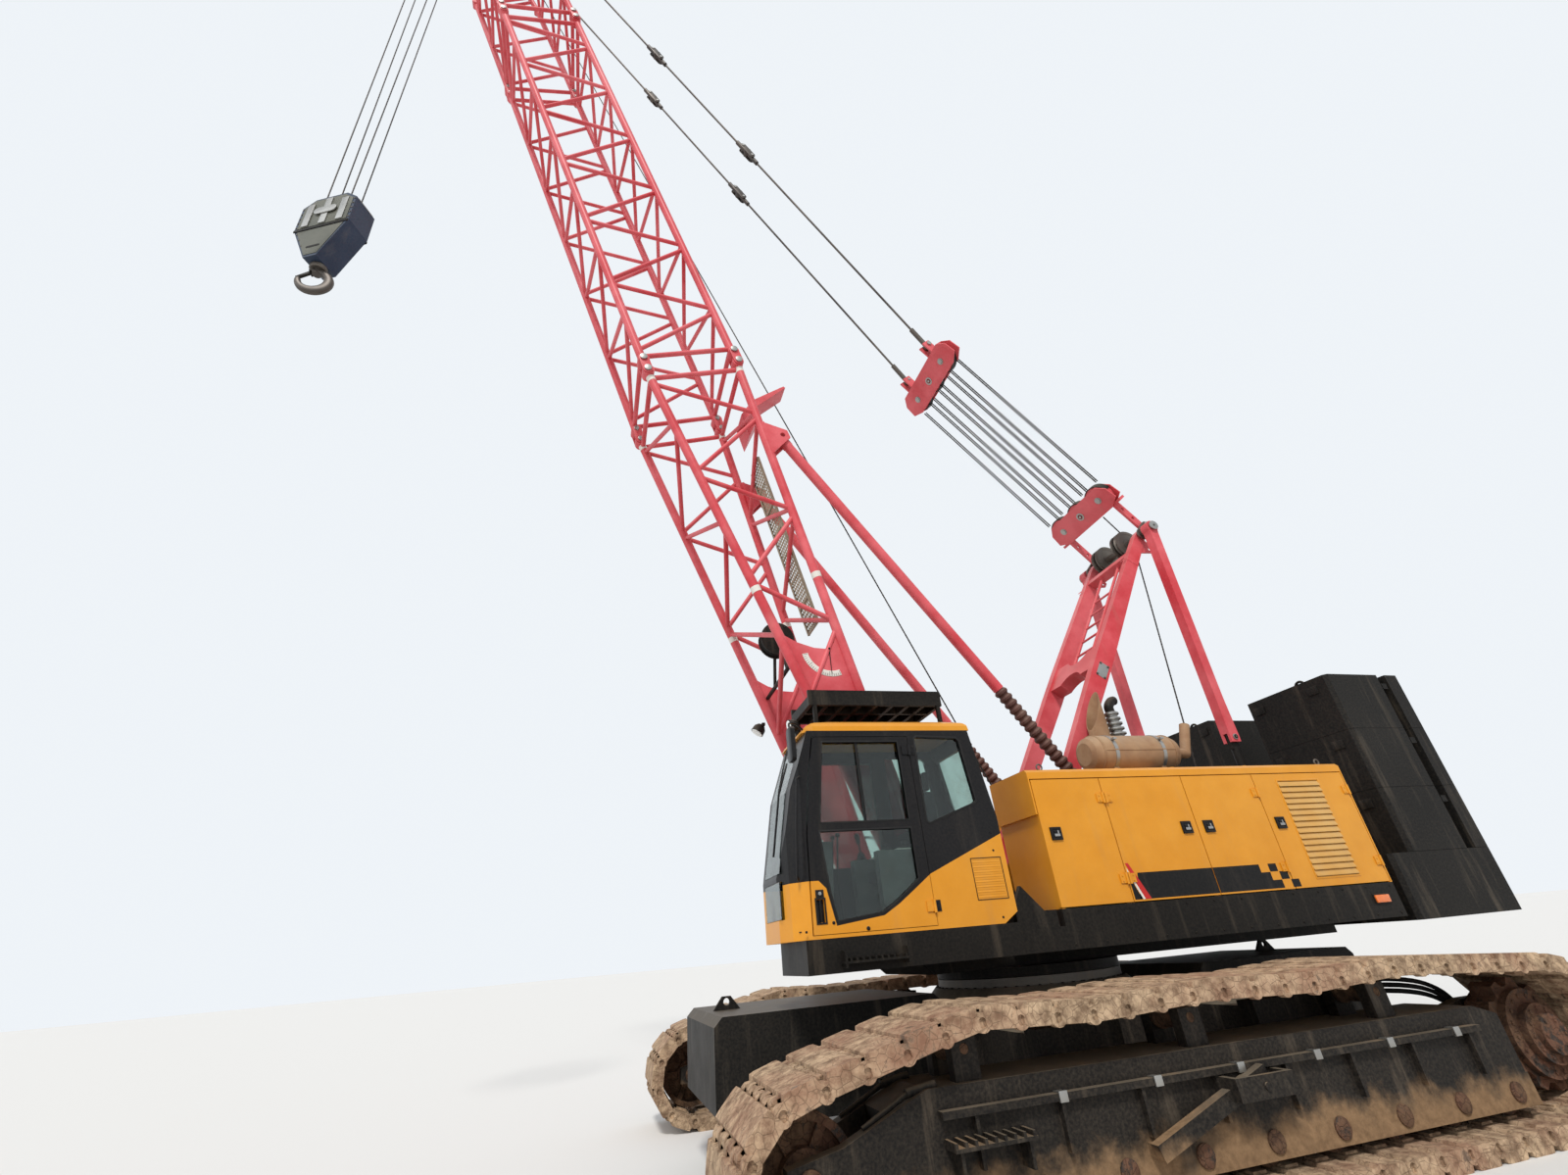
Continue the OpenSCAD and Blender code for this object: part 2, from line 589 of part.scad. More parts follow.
// Gantry: the front legs lean back to the head and the rear legs hold it down.
leg_angle = atan2(gantry_top[1] - gantry_foot[1], gantry_top[0] - gantry_foot[0]);
leg_len = dist(gantry_foot, gantry_top);
head_d = 110;
module gantry_front_legs() {
    beam_at = leg_len * 0.56;
    top_at = leg_len - 440;
    ladder_y = 190;
    color(RED) translate([gantry_foot[0], 0, gantry_foot[1]]) rotate([0, -leg_angle, 0]) {
        both_sides() difference() {
            union() {
                side_plate([[-10, -75], [leg_len * 0.5, -120], [beam_at + 150, -120],
                    [leg_len - 60, -80], [leg_len + 60, -60], [leg_len + 60, 60],
                    [leg_len - 60, 80], [beam_at + 150, 120], [leg_len * 0.5, 120],
                    [-10, 75]], gantry_leg_y - gantry_leg_t / 2, gantry_leg_y + gantry_leg_t / 2);
                disc_y(0, 0, gantry_leg_y - gantry_leg_t / 2, gantry_leg_y + gantry_leg_t / 2, 150);
            }
            disc_y(0, 0, 0, 900, 60 + 2 * pin_play);
            disc_y(leg_len, 0, 0, 900, head_d + 2 * pin_play);
        }
        // Cross beam with curved gussets at the flared part of the legs
        difference() {
            block(beam_at - 200, beam_at + 200, -gantry_leg_y + 50, gantry_leg_y - 50, -90, 90);
            for (s = [-1, 1]) translate([beam_at + s * 360, 0, 0])
                cylinder(r = 270, h = 400, center = true, $fn = 48);
        }
        // Top beam, and the ladder between the two beams
        block(top_at, top_at + 90, -gantry_leg_y + 50, gantry_leg_y - 50, -70, 70);
        for (s = [-1, 1])
            bar([beam_at + 190, s * ladder_y, 0], [top_at + 10, s * ladder_y, 0], 44);
        for (i = [1:5]) bar([beam_at + 100 + i * 270, -ladder_y, 0],
            [beam_at + 100 + i * 270, ladder_y, 0], 32);
        // Eye plates behind the heads of the legs
        both_sides() difference() {
            side_plate([[leg_len - 330, 70], [leg_len - 30, 40], [leg_len - 110, 250],
                [leg_len - 190, 250]], gantry_leg_y + 20, gantry_leg_y + 45);
            disc_y(leg_len - 155, 195, gantry_leg_y, gantry_leg_y + 60, 56);
            disc_y(leg_len, 0, gantry_leg_y, gantry_leg_y + 60, head_d + 2 * pin_play);
        }
    }
}
rear_leg_y = gantry_w / 2;
rear_leg_t = 130;
cylinder_top = 3570;
module gantry_rear_legs() {
    color(RED) both_sides() difference() {
        union() {
            side_plate([[rear_leg_x - 70, cylinder_top + 40], [rear_leg_x + 70, cylinder_top + 40],
                [rear_leg_x + 62, cylinder_top + 500], [gantry_top[0] + 66, gantry_top[1] - 120],
                [gantry_top[0] + 80, gantry_top[1]], [gantry_top[0] - 80, gantry_top[1]],
                [gantry_top[0] - 66, gantry_top[1] - 120], [rear_leg_x - 62, cylinder_top + 500]],
                rear_leg_y - rear_leg_t / 2, rear_leg_y + rear_leg_t / 2);
            disc_y(gantry_top[0], gantry_top[1], rear_leg_y - rear_leg_t / 2,
                rear_leg_y + rear_leg_t / 2, 190);
            // Fork over the cylinder's eye
            for (s = [-1, 1]) side_plate([[rear_leg_x - 70, cylinder_top + 41],
                [rear_leg_x - 70, cylinder_top - 70], [rear_leg_x + 70, cylinder_top - 70],
                [rear_leg_x + 70, cylinder_top + 41]], rear_leg_y + s * 48 - 17,
                rear_leg_y + s * 48 + 17);
        }
        disc_y(gantry_top[0], gantry_top[1], 0, 1200, head_d + 2 * pin_play);
        disc_y(rear_leg_x, cylinder_top - 10, 0, 1200, 50);
    }
}
module gantry_cylinders() {
    color(BLACK) both_sides() translate([rear_leg_x, rear_leg_y, 0]) {
        translate([0, 0, frame_top_z + 60]) cylinder(d = 150, h = 1150, $fn = 40);
        translate([0, 0, frame_top_z + 1200]) cylinder(d = 90, h = 440, $fn = 40);
        side_plate([[-55, 3420], [55, 3420], [55, cylinder_top + 30], [-55, cylinder_top + 30]],
            -28, 28);
        block(-90, 90, -70, 70, frame_top_z - 10, frame_top_z + 90);
        disc_y(0, cylinder_top - 10, -85, 85, 50 - 2 * pin_play);
    }
}
module sheave(r, w) {
    rotate([90, 0, 0]) translate([0, 0, -w / 2]) rotate_extrude($fn = 48) polygon([
        [head_d / 2 + 4, 0], [90, 0], [90, 6], [r - 60, 6], [r - 40, 0], [r, 0],
        [r - rope_groove, w / 2 - 6], [r - rope_groove, w / 2 + 6], [r, w], [r - 40, w],
        [r - 60, w - 6],
        [90, w - 6], [90, w], [head_d / 2 + 4, w]]);
}
sheave_w = 52;
module gantry_sheaves() {
    color(STEEL) {
        translate([gantry_top[0], 0, gantry_top[1]]) {
            disc_y(0, 0, -rear_leg_y - 90, rear_leg_y + 90, head_d);
            both_sides() for (i = [0:1]) translate([0, 180 + i * 90, 0]) {
                sheave(230, sheave_w);
                disc_y(0, 0, -sheave_w / 2, sheave_w / 2, head_d + 10);
            }
        }
        // Head links that carry the lower spreader
        both_sides() difference() {
            hull() {
                disc_y(gantry_top[0], gantry_top[1], 585, 615, 190);
                disc_y(gantry_head[0], gantry_head[1], 585, 615, 130);
            }
            disc_y(gantry_head[0], gantry_head[1], 560, 640, 60);
        }
    }
}

// Counterweight
stack_y0 = 350;
stack_front_x = -4100;
base_front_x = -3770;
module slab_groove(z0, z1) {
    x = (stack_front_x + cw_rear_x) / 2 - 200;
    block(x - 70, x + 70, cw_y - 90, cw_y + 9, z0 - 9, z1 + 9);
}
module slab(k) {
    z0 = cw_z + cw_base_h + k * cw_slab_h;
    z1 = z0 + cw_slab_h - 4;
    difference() {
        translate([0, 0, z0]) linear_extrude(z1 - z0) polygon([
            [stack_front_x, stack_y0], [stack_front_x, cw_y - 40], [stack_front_x - 40, cw_y],
            [cw_rear_x + 260, cw_y], [cw_rear_x + 60, cw_y - 130], [cw_rear_x, cw_y - 420],
            [cw_rear_x, stack_y0]]);
        slab_groove(z0, z1);
    }
    block((stack_front_x + cw_rear_x) / 2 - 240, (stack_front_x + cw_rear_x) / 2 - 160,
        cw_y - 91, cw_y - 10, z1 - 180, z1 - 110);
}
module counterweight_slabs() {
    color(BLACK) both_sides() for (k = [0:2]) slab(k);
}
module counterweight_base() {
    color(BLACK) translate([0, 0, cw_z]) linear_extrude(cw_base_h - 4) polygon([
        [base_front_x, -cw_y + 40], [base_front_x, cw_y - 40], [base_front_x - 40, cw_y],
        [cw_rear_x + 260, cw_y], [cw_rear_x + 60, cw_y - 130], [cw_rear_x, cw_y - 420],
        [cw_rear_x, -cw_y + 420], [cw_rear_x + 60, -cw_y + 130], [cw_rear_x + 260, -cw_y],
        [base_front_x - 40, -cw_y]]);
    color(BLACK) block(base_front_x - eps, deck_rear_x - seat_gap, -560, 560,
        cw_z + 60, cw_z + 380);
}

// Cab
cab_top = 3400;
cab_in_y = cab_y - cab_w;
door_x = [1715, 2790];
cab_side = [[1090, cab_floor_z], [cab_rear_x, 1800], [cab_rear_x, 2590], [1070, cab_top],
    [2700, cab_top], [cab_front_x - 120, 2900], [cab_front_x, 2200], [cab_front_x, cab_floor_z]];
cab_side_in = [[1120, cab_floor_z + 60], [cab_rear_x + cab_wall, 1840],
    [cab_rear_x + cab_wall, 2580], [1070 + cab_wall, cab_top + 9], [2650, cab_top + 9],
    [cab_front_x - 120 - cab_wall, 2890], [cab_front_x - cab_wall, 2200],
    [cab_front_x - cab_wall, cab_floor_z + 60]];
function plan(front, side, inner, r) = [[cab_rear_x - 50, inner], [front, inner],
    [front, side - 300 - r], [front - 60, side - 110 - r], [front - 190, side],
    [cab_rear_x - 50, side]];
// The yellow skirt's upper edge, from the rear corner down to the handle corner
swoop = [[cab_rear_x - 99, 2480], [1710, 2140], [1860, 2040], [2030, 1930], [2180, 1850],
    [2600, 1800], [2660, 2080], [2720, 2140], [cab_front_x + 99, 2140],
    [cab_front_x + 99, 1500], [cab_rear_x - 99, 1500]];
quarter_window = [[1134, 2740], [1150, 2725], [1630, 2565], [1650, 2580], [1640, 3316],
    [1620, 3334], [1215, 3318], [1190, 3296]];
inner_window = [[1800, 2300], [1800, 3280], [2640, 3280], [2760, 2300]];
rear_window = [2640, 3260];
// Columns: lower and upper edge of each pane of the windscreen
screens = [[1880, 2170], [2230, 3300]];
// Columns: x and z of the vent's lower corner, length, height and pitch of its slots, slots
vent = [1020, 1925, 270, 20, 40, 8];
door_window_top = [[1830, 2600], [1830, 3290], [2560, 3290], [2650, 2600]];
door_window_low = [[1830, 2520], [1830, 2110], [2040, 1960], [2190, 1880], [2580, 1840],
    [2620, 2060], [2665, 2520]];
door_edge = [[door_x[0], cab_floor_z + 25], [door_x[0], 3345], [2660, 3345], [2730, 3000],
    [door_x[1], 2500], [door_x[1] + 20, cab_floor_z + 25]];
module cab_walls() {
    difference() {
        intersection() {
            side_plate(cab_side, cab_in_y, cab_y);
            translate([0, 0, 1000]) linear_extrude(3000)
                polygon(plan(cab_front_x, cab_y, cab_in_y - 9, 0));
        }
        intersection() {
            side_plate(cab_side_in, cab_in_y + cab_wall, cab_y - cab_wall);
            translate([0, 0, 1000]) linear_extrude(3000)
                polygon(plan(cab_front_x - cab_wall, cab_y - cab_wall, cab_in_y - 9, 10));
        }
        side_plate(door_edge, cab_y - cab_wall - 9, cab_y + 9);
        side_plate(quarter_window, cab_in_y - 9, cab_y + 9);
        side_plate(inner_window, cab_in_y - 9, cab_in_y + cab_wall + 9);
        for (r = screens) block(2640, cab_front_x + 99, cab_in_y + 70, cab_y - 210, r[0], r[1]);
        block(cab_rear_x - 99, 1290, cab_in_y + 110, cab_y - 110, rear_window[0], rear_window[1]);
        for (i = [0:vent[5] - 1]) block(vent[0], vent[0] + vent[2], cab_y - cab_wall - 9,
            cab_y + 9, vent[1] + i * vent[4], vent[1] + i * vent[4] + vent[3]);
    }
}
module cab_lower() {
    color(YELLOW) intersection() {
        cab_walls();
        side_plate(swoop, cab_in_y - 99, cab_y + 99);
    }
}
module cab_frame() {
    color(BLACK) difference() {
        cab_walls();
        side_plate(swoop, cab_in_y - 199, cab_y + 199);
    }
}
roof_top = cab_top + 100;
module cab_roof() {
    color(YELLOW) intersection() {
        side_plate([[1050, cab_top], [1062, roof_top - 45], [1100, roof_top - 15],
            [1250, roof_top], [2450, roof_top], [2600, roof_top - 12], [2690, roof_top - 45],
            [2730, cab_top]], cab_in_y, cab_y);
        // Front view with rounded upper edges
        rotate([90, 0, 90]) linear_extrude(4000) polygon([[cab_in_y - 9, cab_top - 9],
            [cab_in_y - 9, roof_top - 75], [cab_in_y + 8, roof_top - 30],
            [cab_in_y + 32, roof_top + eps], [cab_y - 60, roof_top + eps],
            [cab_y - 16, roof_top - 26], [cab_y + 9, roof_top - 75], [cab_y + 9, cab_top - 9]]);
        translate([0, 0, 3000]) linear_extrude(900)
            polygon(plan(cab_front_x - 170, cab_y, cab_in_y - 9, 0));
    }
}
module cab_glass() {
    color(GLASS) {
        // Windscreen, following the front edge of the cab's side
        for (r = screens) intersection() {
            difference() {
                side_plate(cab_side, cab_in_y + 74, cab_y - 214);
                translate([-glass_t, 0, 0]) side_plate(cab_side, cab_in_y, cab_y);
            }
            block(2644, cab_front_x + 99, cab_in_y + 74, cab_y - 214, r[0] + 4, r[1] - 4);
        }
        side_plate(quarter_window, cab_y - 20 - glass_t, cab_y - 20);
        side_plate(quarter_window, cab_in_y + 20, cab_in_y + 20 + glass_t);
        side_plate(inner_window, cab_in_y + 20, cab_in_y + 20 + glass_t);
        // Rear window, in the slope of the rear wall
        side_plate([[977, rear_window[0]], [977 + glass_t, rear_window[0]],
            [1069 + glass_t, rear_window[1]], [1069, rear_window[1]]],
            cab_in_y + 110, cab_y - 110);
    }
}
hinge_at_x = door_x[0] + 9;
module door_leaf() {
    difference() {
        intersection() {
            side_plate([for (p = door_edge) [p[0] + (p[0] < 2000 ? door_gap / 2 : -door_gap),
                p[1] + (p[1] < 2000 ? door_gap / 2 : -door_gap / 2)]], cab_y - cab_wall + 2, cab_y);
            translate([0, 0, 1000]) linear_extrude(3000)
                polygon(plan(cab_front_x, cab_y, cab_in_y - 9, 0));
        }
        side_plate(door_window_top, cab_y - cab_wall - 9, cab_y + 9);
        side_plate(door_window_low, cab_y - cab_wall - 9, cab_y + 9);
    }
}
module cab_door() {
    color(BLACK) {
        difference() {
            door_leaf();
            side_plate(swoop, cab_y - 199, cab_y + 199);
        }
        block(2220, 2245, cab_y - 30, cab_y - 15, 2599, 3291);
        hinge_barrel(hinge_at_x, cab_y, 3160, 1);
    }
}
// The door's yellow panel, with a recess and the handle in it
module cab_door_panel() {
    color(YELLOW) {
        difference() {
            intersection() {
                door_leaf();
                side_plate(swoop, cab_y - 99, cab_y + 99);
            }
            block(2690, 2756, cab_y - 24, cab_y + 9, 1830, 2000);
        }
        bar([2723, cab_y - 11, 1829], [2723, cab_y - 11, 2001], 16);
        hinge_barrel(hinge_at_x, cab_y, 1840, 1);
    }
}
module cab_door_glass() {
    color(GLASS) {
        side_plate(door_window_top, cab_y - 42, cab_y - 34);
        side_plate(door_window_low, cab_y - 28, cab_y - 20);
    }
}
module operator_seat() {
    y = cab_in_y + cab_w / 2;
    color([0.2, 0.2, 0.22]) {
        block(1560, 2060, y - 240, y + 240, cab_floor_z + 420, cab_floor_z + 540);
        side_plate([[1470, cab_floor_z + 500], [1600, cab_floor_z + 540],
            [1530, cab_floor_z + 1180], [1420, cab_floor_z + 1180]], y - 230, y + 230);
        block(1620, 1980, y - 180, y + 180, cab_floor_z + 60, cab_floor_z + 421);
    }
}
module control_console() {
    y = cab_in_y + cab_w / 2;
    color(STEEL) {
        for (s = [-1, 1]) block(1650, 2150, y + s * 305 - 45, y + s * 305 + 45,
            cab_floor_z + 60, cab_floor_z + 640);
        side_plate([[2540, cab_floor_z + 60], [2700, cab_floor_z + 60], [2620, cab_floor_z + 760],
            [2480, cab_floor_z + 760]], y - 150, y + 150);
    }
}
module roof_guard() {
    color(BLACK) {
        for (y = [860, 1180, 1440]) block(1200, 2600, y - 20, y + 20, 3700, 3780);
        for (i = [0:8]) block(1200 + i * 170, 1240 + i * 170, 841, 1459, 3699, 3779);
        block(1200, 2600, 841, 1459, 3780 - eps, 3790);
        for (s = [0, 1]) block(1200, 2600, 841 + s * 588, 871 + s * 588, 3789, 3850);
        for (x = [1240, 2540], y = [860, 1440]) block(x - 18, x + 18, y - 18, y + 18,
            roof_top + seat_gap, 3701);
    }
}

// Boom, drawn level with its upper side up and then raised

butt_foot_h = 240;
joint_gap = 100;
node_off = 50;
lace_in = 38;
function butt_half(s) = butt_foot_h / 2 + (boom_h - butt_foot_h) / 2 * s / butt_len;
lace_start = 180;
head_plate_len = 1300;
tip_bays = 6;
tip_bay = (tip_len - joint_gap - lace_start - head_plate_len - 120) / tip_bays;
tip_bend = joint_gap + lace_start + 4.5 * tip_bay;
function tip_half(s) = boom_h / 2 - max(0, s - tip_bend) / (tip_len - tip_bend) * (boom_h / 2 - 210);
function tip_side(s) = boom_w / 2 - max(0, s - tip_bend) / (tip_len - tip_bend) * (boom_w / 2 - 420);

// A lacing tube ends just inside the chords, so that tubes of two faces don't meet there.
function moved(a, b, t) = a + (b - a) / norm(b - a) * t;
module lace(a, b, d = lacing_d) {
    bar(moved(a, b, lace_in), moved(b, a, lace_in), d);
}

// Zigzag lacing on the side faces, then on the top and bottom faces, between stations.
module lacing(st, half, side) {
    for (i = [0:len(st) - 2]) {
        a = st[i] + node_off;
        b = st[i + 1] - node_off;
        up = i % 2 == 0 ? 1 : -1;
        for (y = [-1, 1])
            lace([a, y * side(a), -up * half(a)], [b, y * side(b), up * half(b)]);
        for (z = [-1, 1])
            lace([a, -up * side(a), z * half(a)], [b, up * side(b), z * half(b)]);
    }
}
module cross_tubes(s, half, side) {
    for (y = [-1, 1]) lace([s, y * side(s), -half(s)], [s, y * side(s), half(s)], lacing_d + 8);
    for (z = [-1, 1]) lace([s, -side(s), z * half(s)], [s, side(s), z * half(s)], lacing_d + 8);
}
module chords(a, b, half, side) {
    for (y = [-1, 1], z = [-1, 1])
        bar([a, y * side(a), z * half(a)], [b, y * side(b), z * half(b)], chord_d);
}
module end_bosses(s, half, side) {
    for (y = [-1, 1], z = [-1, 1])
        disc_y(s, z * half(s), y * side(s) - 75, y * side(s) + 75, chord_d + 45);
}
full_half = function (s) boom_h / 2;
full_side = function (s) boom_w / 2;
module boom_butt() {
    st = [for (i = [0:6]) 2450 + i * (butt_len - 2700) / 6];
    half = function (s) butt_half(s);
    color(RED) raise_boom() {
        chords(160, butt_len - joint_gap, half, full_side);
        lacing(st, half, full_side);
        cross_tubes(butt_len - 200, half, full_side);
        end_bosses(butt_len - joint_gap, half, full_side);
        both_sides() difference() {
            union() {
                side_plate([[100, -butt_half(0) + 10], [3330, -butt_half(3330)],
                    [3150, -190], [3030, -20], [2980, 110], [3020, 230], [3130, 310],
                    [3310, butt_half(3310)], [100, butt_half(0) - 10]],
                    boom_w / 2 - 12, boom_w / 2 + 12);
                side_plate([[0, -115], [420, -130], [420, 130], [0, 115]],
                    boom_w / 2 - foot_lug_t / 2, boom_w / 2 + foot_lug_t / 2);
                disc_y(0, 0, boom_w / 2 - foot_lug_t / 2, boom_w / 2 + foot_lug_t / 2, 230);
            }
            disc_y(0, 0, 0, boom_w, foot_pin_d + 2 * pin_play);
        }
        // Cross diaphragm above the feet
        block(560, 600, -boom_w / 2, boom_w / 2, -butt_half(560) + 10, butt_half(560) - 10);
        block(2300, 2330, -boom_w / 2, boom_w / 2, -butt_half(2300) + 10, 0);
        // Lugs for the backstops on the upper chords
        both_sides() backstop_lugs();
    }
}
eye_s = (backstop_eye[0] - foot_x) * cos(boom_angle) + (backstop_eye[1] - foot_z) * sin(boom_angle);
eye_d = -(backstop_eye[0] - foot_x) * sin(boom_angle) + (backstop_eye[1] - foot_z) * cos(boom_angle);
module backstop_lugs() {
    side_plate([for (k = [[-260, 10], [260, 10], [260, 50], [-260, 50]])
        [eye_s + k[0], butt_half(eye_s + k[0]) + k[1]]], backstop_y - 92, backstop_y + 92);
    for (s = [-1, 1]) let (y = backstop_y + s * 80) difference() {
        side_plate([[eye_s - 260, butt_half(eye_s) + 5], [eye_s + 260, butt_half(eye_s) + 40],
            [eye_s + 60, eye_d + 90], [eye_s - 60, eye_d + 90]], y - 12, y + 12);
        disc_y(eye_s, eye_d, y - 30, y + 30, 70);
    }
}
module boom_insert() {
    bays = 12;
    s0 = butt_len + joint_gap;
    s1 = butt_len + insert_len - joint_gap;
    st = [for (i = [0:bays]) s0 + 180 + i * (s1 - s0 - 360) / bays];
    color(RED) raise_boom() {
        chords(s0, s1, full_half, full_side);
        lacing(st, full_half, full_side);
        for (s = [s0 + 100, s1 - 100]) cross_tubes(s, full_half, full_side);
        for (s = [s0, s1]) end_bosses(s, full_half, full_side);
    }
}
module boom_tip() {
    base = butt_len + insert_len;
    s0 = base + joint_gap;
    half = function (s) tip_half(s - base);
    side = function (s) tip_side(s - base);
    st = [for (i = [0:tip_bays]) s0 + lace_start + i * tip_bay];
    plate_s = boom_len - head_plate_len;
    plate_edge = half(plate_s) + chord_d / 2 + 20;
    color(RED) raise_boom() {
        chords(s0, base + tip_bend, half, side);
        chords(base + tip_bend, boom_len - 900, half, side);
        lacing(st, half, side);
        cross_tubes(s0 + 100, half, side);
        end_bosses(s0, half, side);
        // Bosses where the chords bend inwards
        end_bosses(base + tip_bend, half, side);
        // Head plates that carry the sheave shaft and the pendants' pins
        both_sides() difference() {
            side_plate([[plate_s, -plate_edge], [boom_len - 420, -head_drop - 120],
                [boom_len + 60, -head_drop - 190], [boom_len + 180, -head_drop - 60],
                [boom_len + 150, -head_drop + 120], [boom_len + 40, 120], [boom_len - 60, 420],
                [pendant_s + 80, pendant_up + 80], [pendant_s - 80, pendant_up + 80],
                [boom_len - 620, half(boom_len - 700) + 90], [plate_s, plate_edge]],
                420 + 41, 420 + 71);
            disc_y(boom_len, -head_drop, 0, 900, head_d + 2 * pin_play);
            disc_y(pendant_s, pendant_up, 0, 900, 70);
        }
        block(plate_s + 50, plate_s + 100, -470, 470, 100 - half(plate_s), half(plate_s) - 100);
        block(boom_len - 640, boom_len - 600, -470, 470, 120, 300);
        bar([boom_len - 60, -470, -60], [boom_len - 60, 470, -60], 90);
    }
}
tip_sheave_ys = [-150, -50, 50, 150];
module tip_sheaves() {
    color(STEEL) raise_boom() translate([boom_len, 0, -head_drop]) {
        disc_y(0, 0, -520, 520, head_d);
        for (y = tip_sheave_ys) translate([0, y, 0]) {
            sheave(tip_sheave_r, sheave_w);
            disc_y(0, 0, -sheave_w / 2, sheave_w / 2, head_d + 10);
        }
    }
}
reel_s = 3480;
reel_bar_s = 3000;
module cable_reel() {
    reel_d = -120;
    bar_z = -butt_half(reel_bar_s) + chord_d / 2 + 26 - reel_d;
    bar_y = boom_w / 2 - 12.5;
    color(BLACK) raise_boom() translate([reel_s, 0, reel_d]) {
        disc_y(0, 0, -60, 60, 330);
        for (s = [-1, 1]) disc_y(0, 0, s * 70 - 10, s * 70 + 10, 420);
        disc_y(0, 0, -90, 90, 110);
        for (s = [-1, 1]) bar([0, s * 85, 0], [reel_bar_s - reel_s, s * 300, bar_z], 40);
        bar([reel_bar_s - reel_s, -bar_y, bar_z], [reel_bar_s - reel_s, bar_y, bar_z], 50);
    }
}
module rope_guard() {
    s = butt_len - 350;
    base = butt_half(s) + lacing_d / 2 + 0.5;
    color(RED) raise_boom() {
        side_plate([[s - 600, base - 30], [s - 200, base - 5], [s, base + 220],
            [s + 60, base + 270], [s - 60, base + 300], [s - 260, base + 260]], -180, 180);
        side_plate([[s - 60, base + 300], [s + 60, base + 270], [s + 260, base + 870],
            [s + 230, base + 890]], -150, 150);
    }
}
walkway_s = [3500, butt_len - 1350];
walkway_t = 30;
module boom_walkway() {
    seat = lacing_d / 2 + 0.5;
    color([0.6, 0.55, 0.45]) raise_boom() side_plate([
        [walkway_s[0], butt_half(walkway_s[0]) + seat], [walkway_s[1], butt_half(walkway_s[1]) + seat],
        [walkway_s[1], butt_half(walkway_s[1]) + seat + walkway_t],
        [walkway_s[0], butt_half(walkway_s[0]) + seat + walkway_t]], -210, 210);
}

// Luffing rig

link_angle = atan2(upper_spreader_pin[1] - spreader_pin[1], upper_spreader_pin[0] - spreader_pin[0]);
module on_lower() {
    translate([spreader_pin[0], 0, spreader_pin[1]]) rotate([0, -link_angle, 0]) children();
}
module on_upper() {
    translate([upper_spreader_pin[0], 0, upper_spreader_pin[1]]) rotate([0, -link_angle, 0]) children();
}
spreader_half = 700;
spreader_sheave_r = 210;
sheave_ys = [-440, 0, 440];
// Two plates with rounded corners; t is where the sheaves' shafts show as holes.
module spreader_plates(t0, t1, half, t) {
    for (z = [-70, 70]) difference() {
        translate([0, 0, z - 10]) linear_extrude(20) polygon([[t0, -half + 180],
            [t0 + 90, -half], [t1 - 120, -half + 20], [t1, -half + 140], [t1, half - 140],
            [t1 - 120, half - 20], [t0 + 90, half], [t0, half - 180]]);
        for (y = sheave_ys) translate([t, y, z])
            cylinder(d = 80, h = 40, center = true, $fn = 32);
    }
}
module lower_spreader() {
    color(RED) on_lower() {
        both_sides() {
            difference() {
                union() {
                    block(0, 620, 520, 560, -60, 60);
                    disc_y(0, 0, 520, 560, 130);
                    disc_y(620, 0, 520, 560, 119);
                }
                for (t = [200, 400]) disc_y(t, 0, 500, 580, 56);
            }
            disc_y(0, 0, 559, 640, 56);
        }
        spreader_plates(520, 920, spreader_half, 740);
        block(520, 560, -spreader_half, spreader_half, -61, 61);
        for (y = sheave_ys) translate([740, y, 0])
            cylinder(r = spreader_sheave_r, h = 100, center = true, $fn = 40);
    }
}
module upper_spreader() {
    color(RED) on_upper() {
        spreader_plates(-480, -60, spreader_half + 60, -280);
        block(-100, -60, -spreader_half + 80, spreader_half - 80, -61, 61);
        for (y = sheave_ys) translate([-280, y, 0])
            cylinder(r = spreader_sheave_r, h = 100, center = true, $fn = 40);
        both_sides() difference() {
            block(-80, 150, pendant_y - 70, pendant_y - 45, -70, 90);
            disc_y(90, 30, 0, 900, 50);
        }
        both_sides() difference() {
            block(-80, 150, pendant_y + 45, pendant_y + 70, -70, 90);
            disc_y(90, 30, 0, 900, 50);
        }
    }
}
module luffing_ropes() {
    span = dist(spreader_pin, upper_spreader_pin);
    color(BLACK) on_lower() for (y = [-620, -380, -260, -60, 60, 260, 380, 620], z = [-22, 22])
        bar([960, y, z], [span - 500, y, z], rope_d);
}
pend_start = [upper_spreader_pin[0] + 90 * cos(link_angle) - 30 * sin(link_angle),
    upper_spreader_pin[1] + 90 * sin(link_angle) + 30 * cos(link_angle)];
pend_len = dist(pend_start, pendant_pin);
pend_angle = atan2(pendant_pin[1] - pend_start[1], pendant_pin[0] - pend_start[0]);
coupler_s = [pend_len * 0.3622, pend_len * 0.5818];
module pendant_lines() {
    color(STEEL) both_sides() translate([pend_start[0], pendant_y, pend_start[1]])
        rotate([0, -pend_angle, 0]) {
        bar([0, 0, 0], [pend_len, 0, 0], pendant_d);
        disc_y(0, 0, -34, 34, 110);
        bar([20, 0, 0], [420, 0, 0], 78);
        for (s = coupler_s) {
            bar([s - 330, 0, 0], [s + 330, 0, 0], 78);
            disc_y(s, 0, -55, 55, 130);
        }
        bar([pend_len - 420, 0, 0], [pend_len - 20, 0, 0], 78);
        disc_y(pend_len, 0, -34, 34, 110);
    }
}

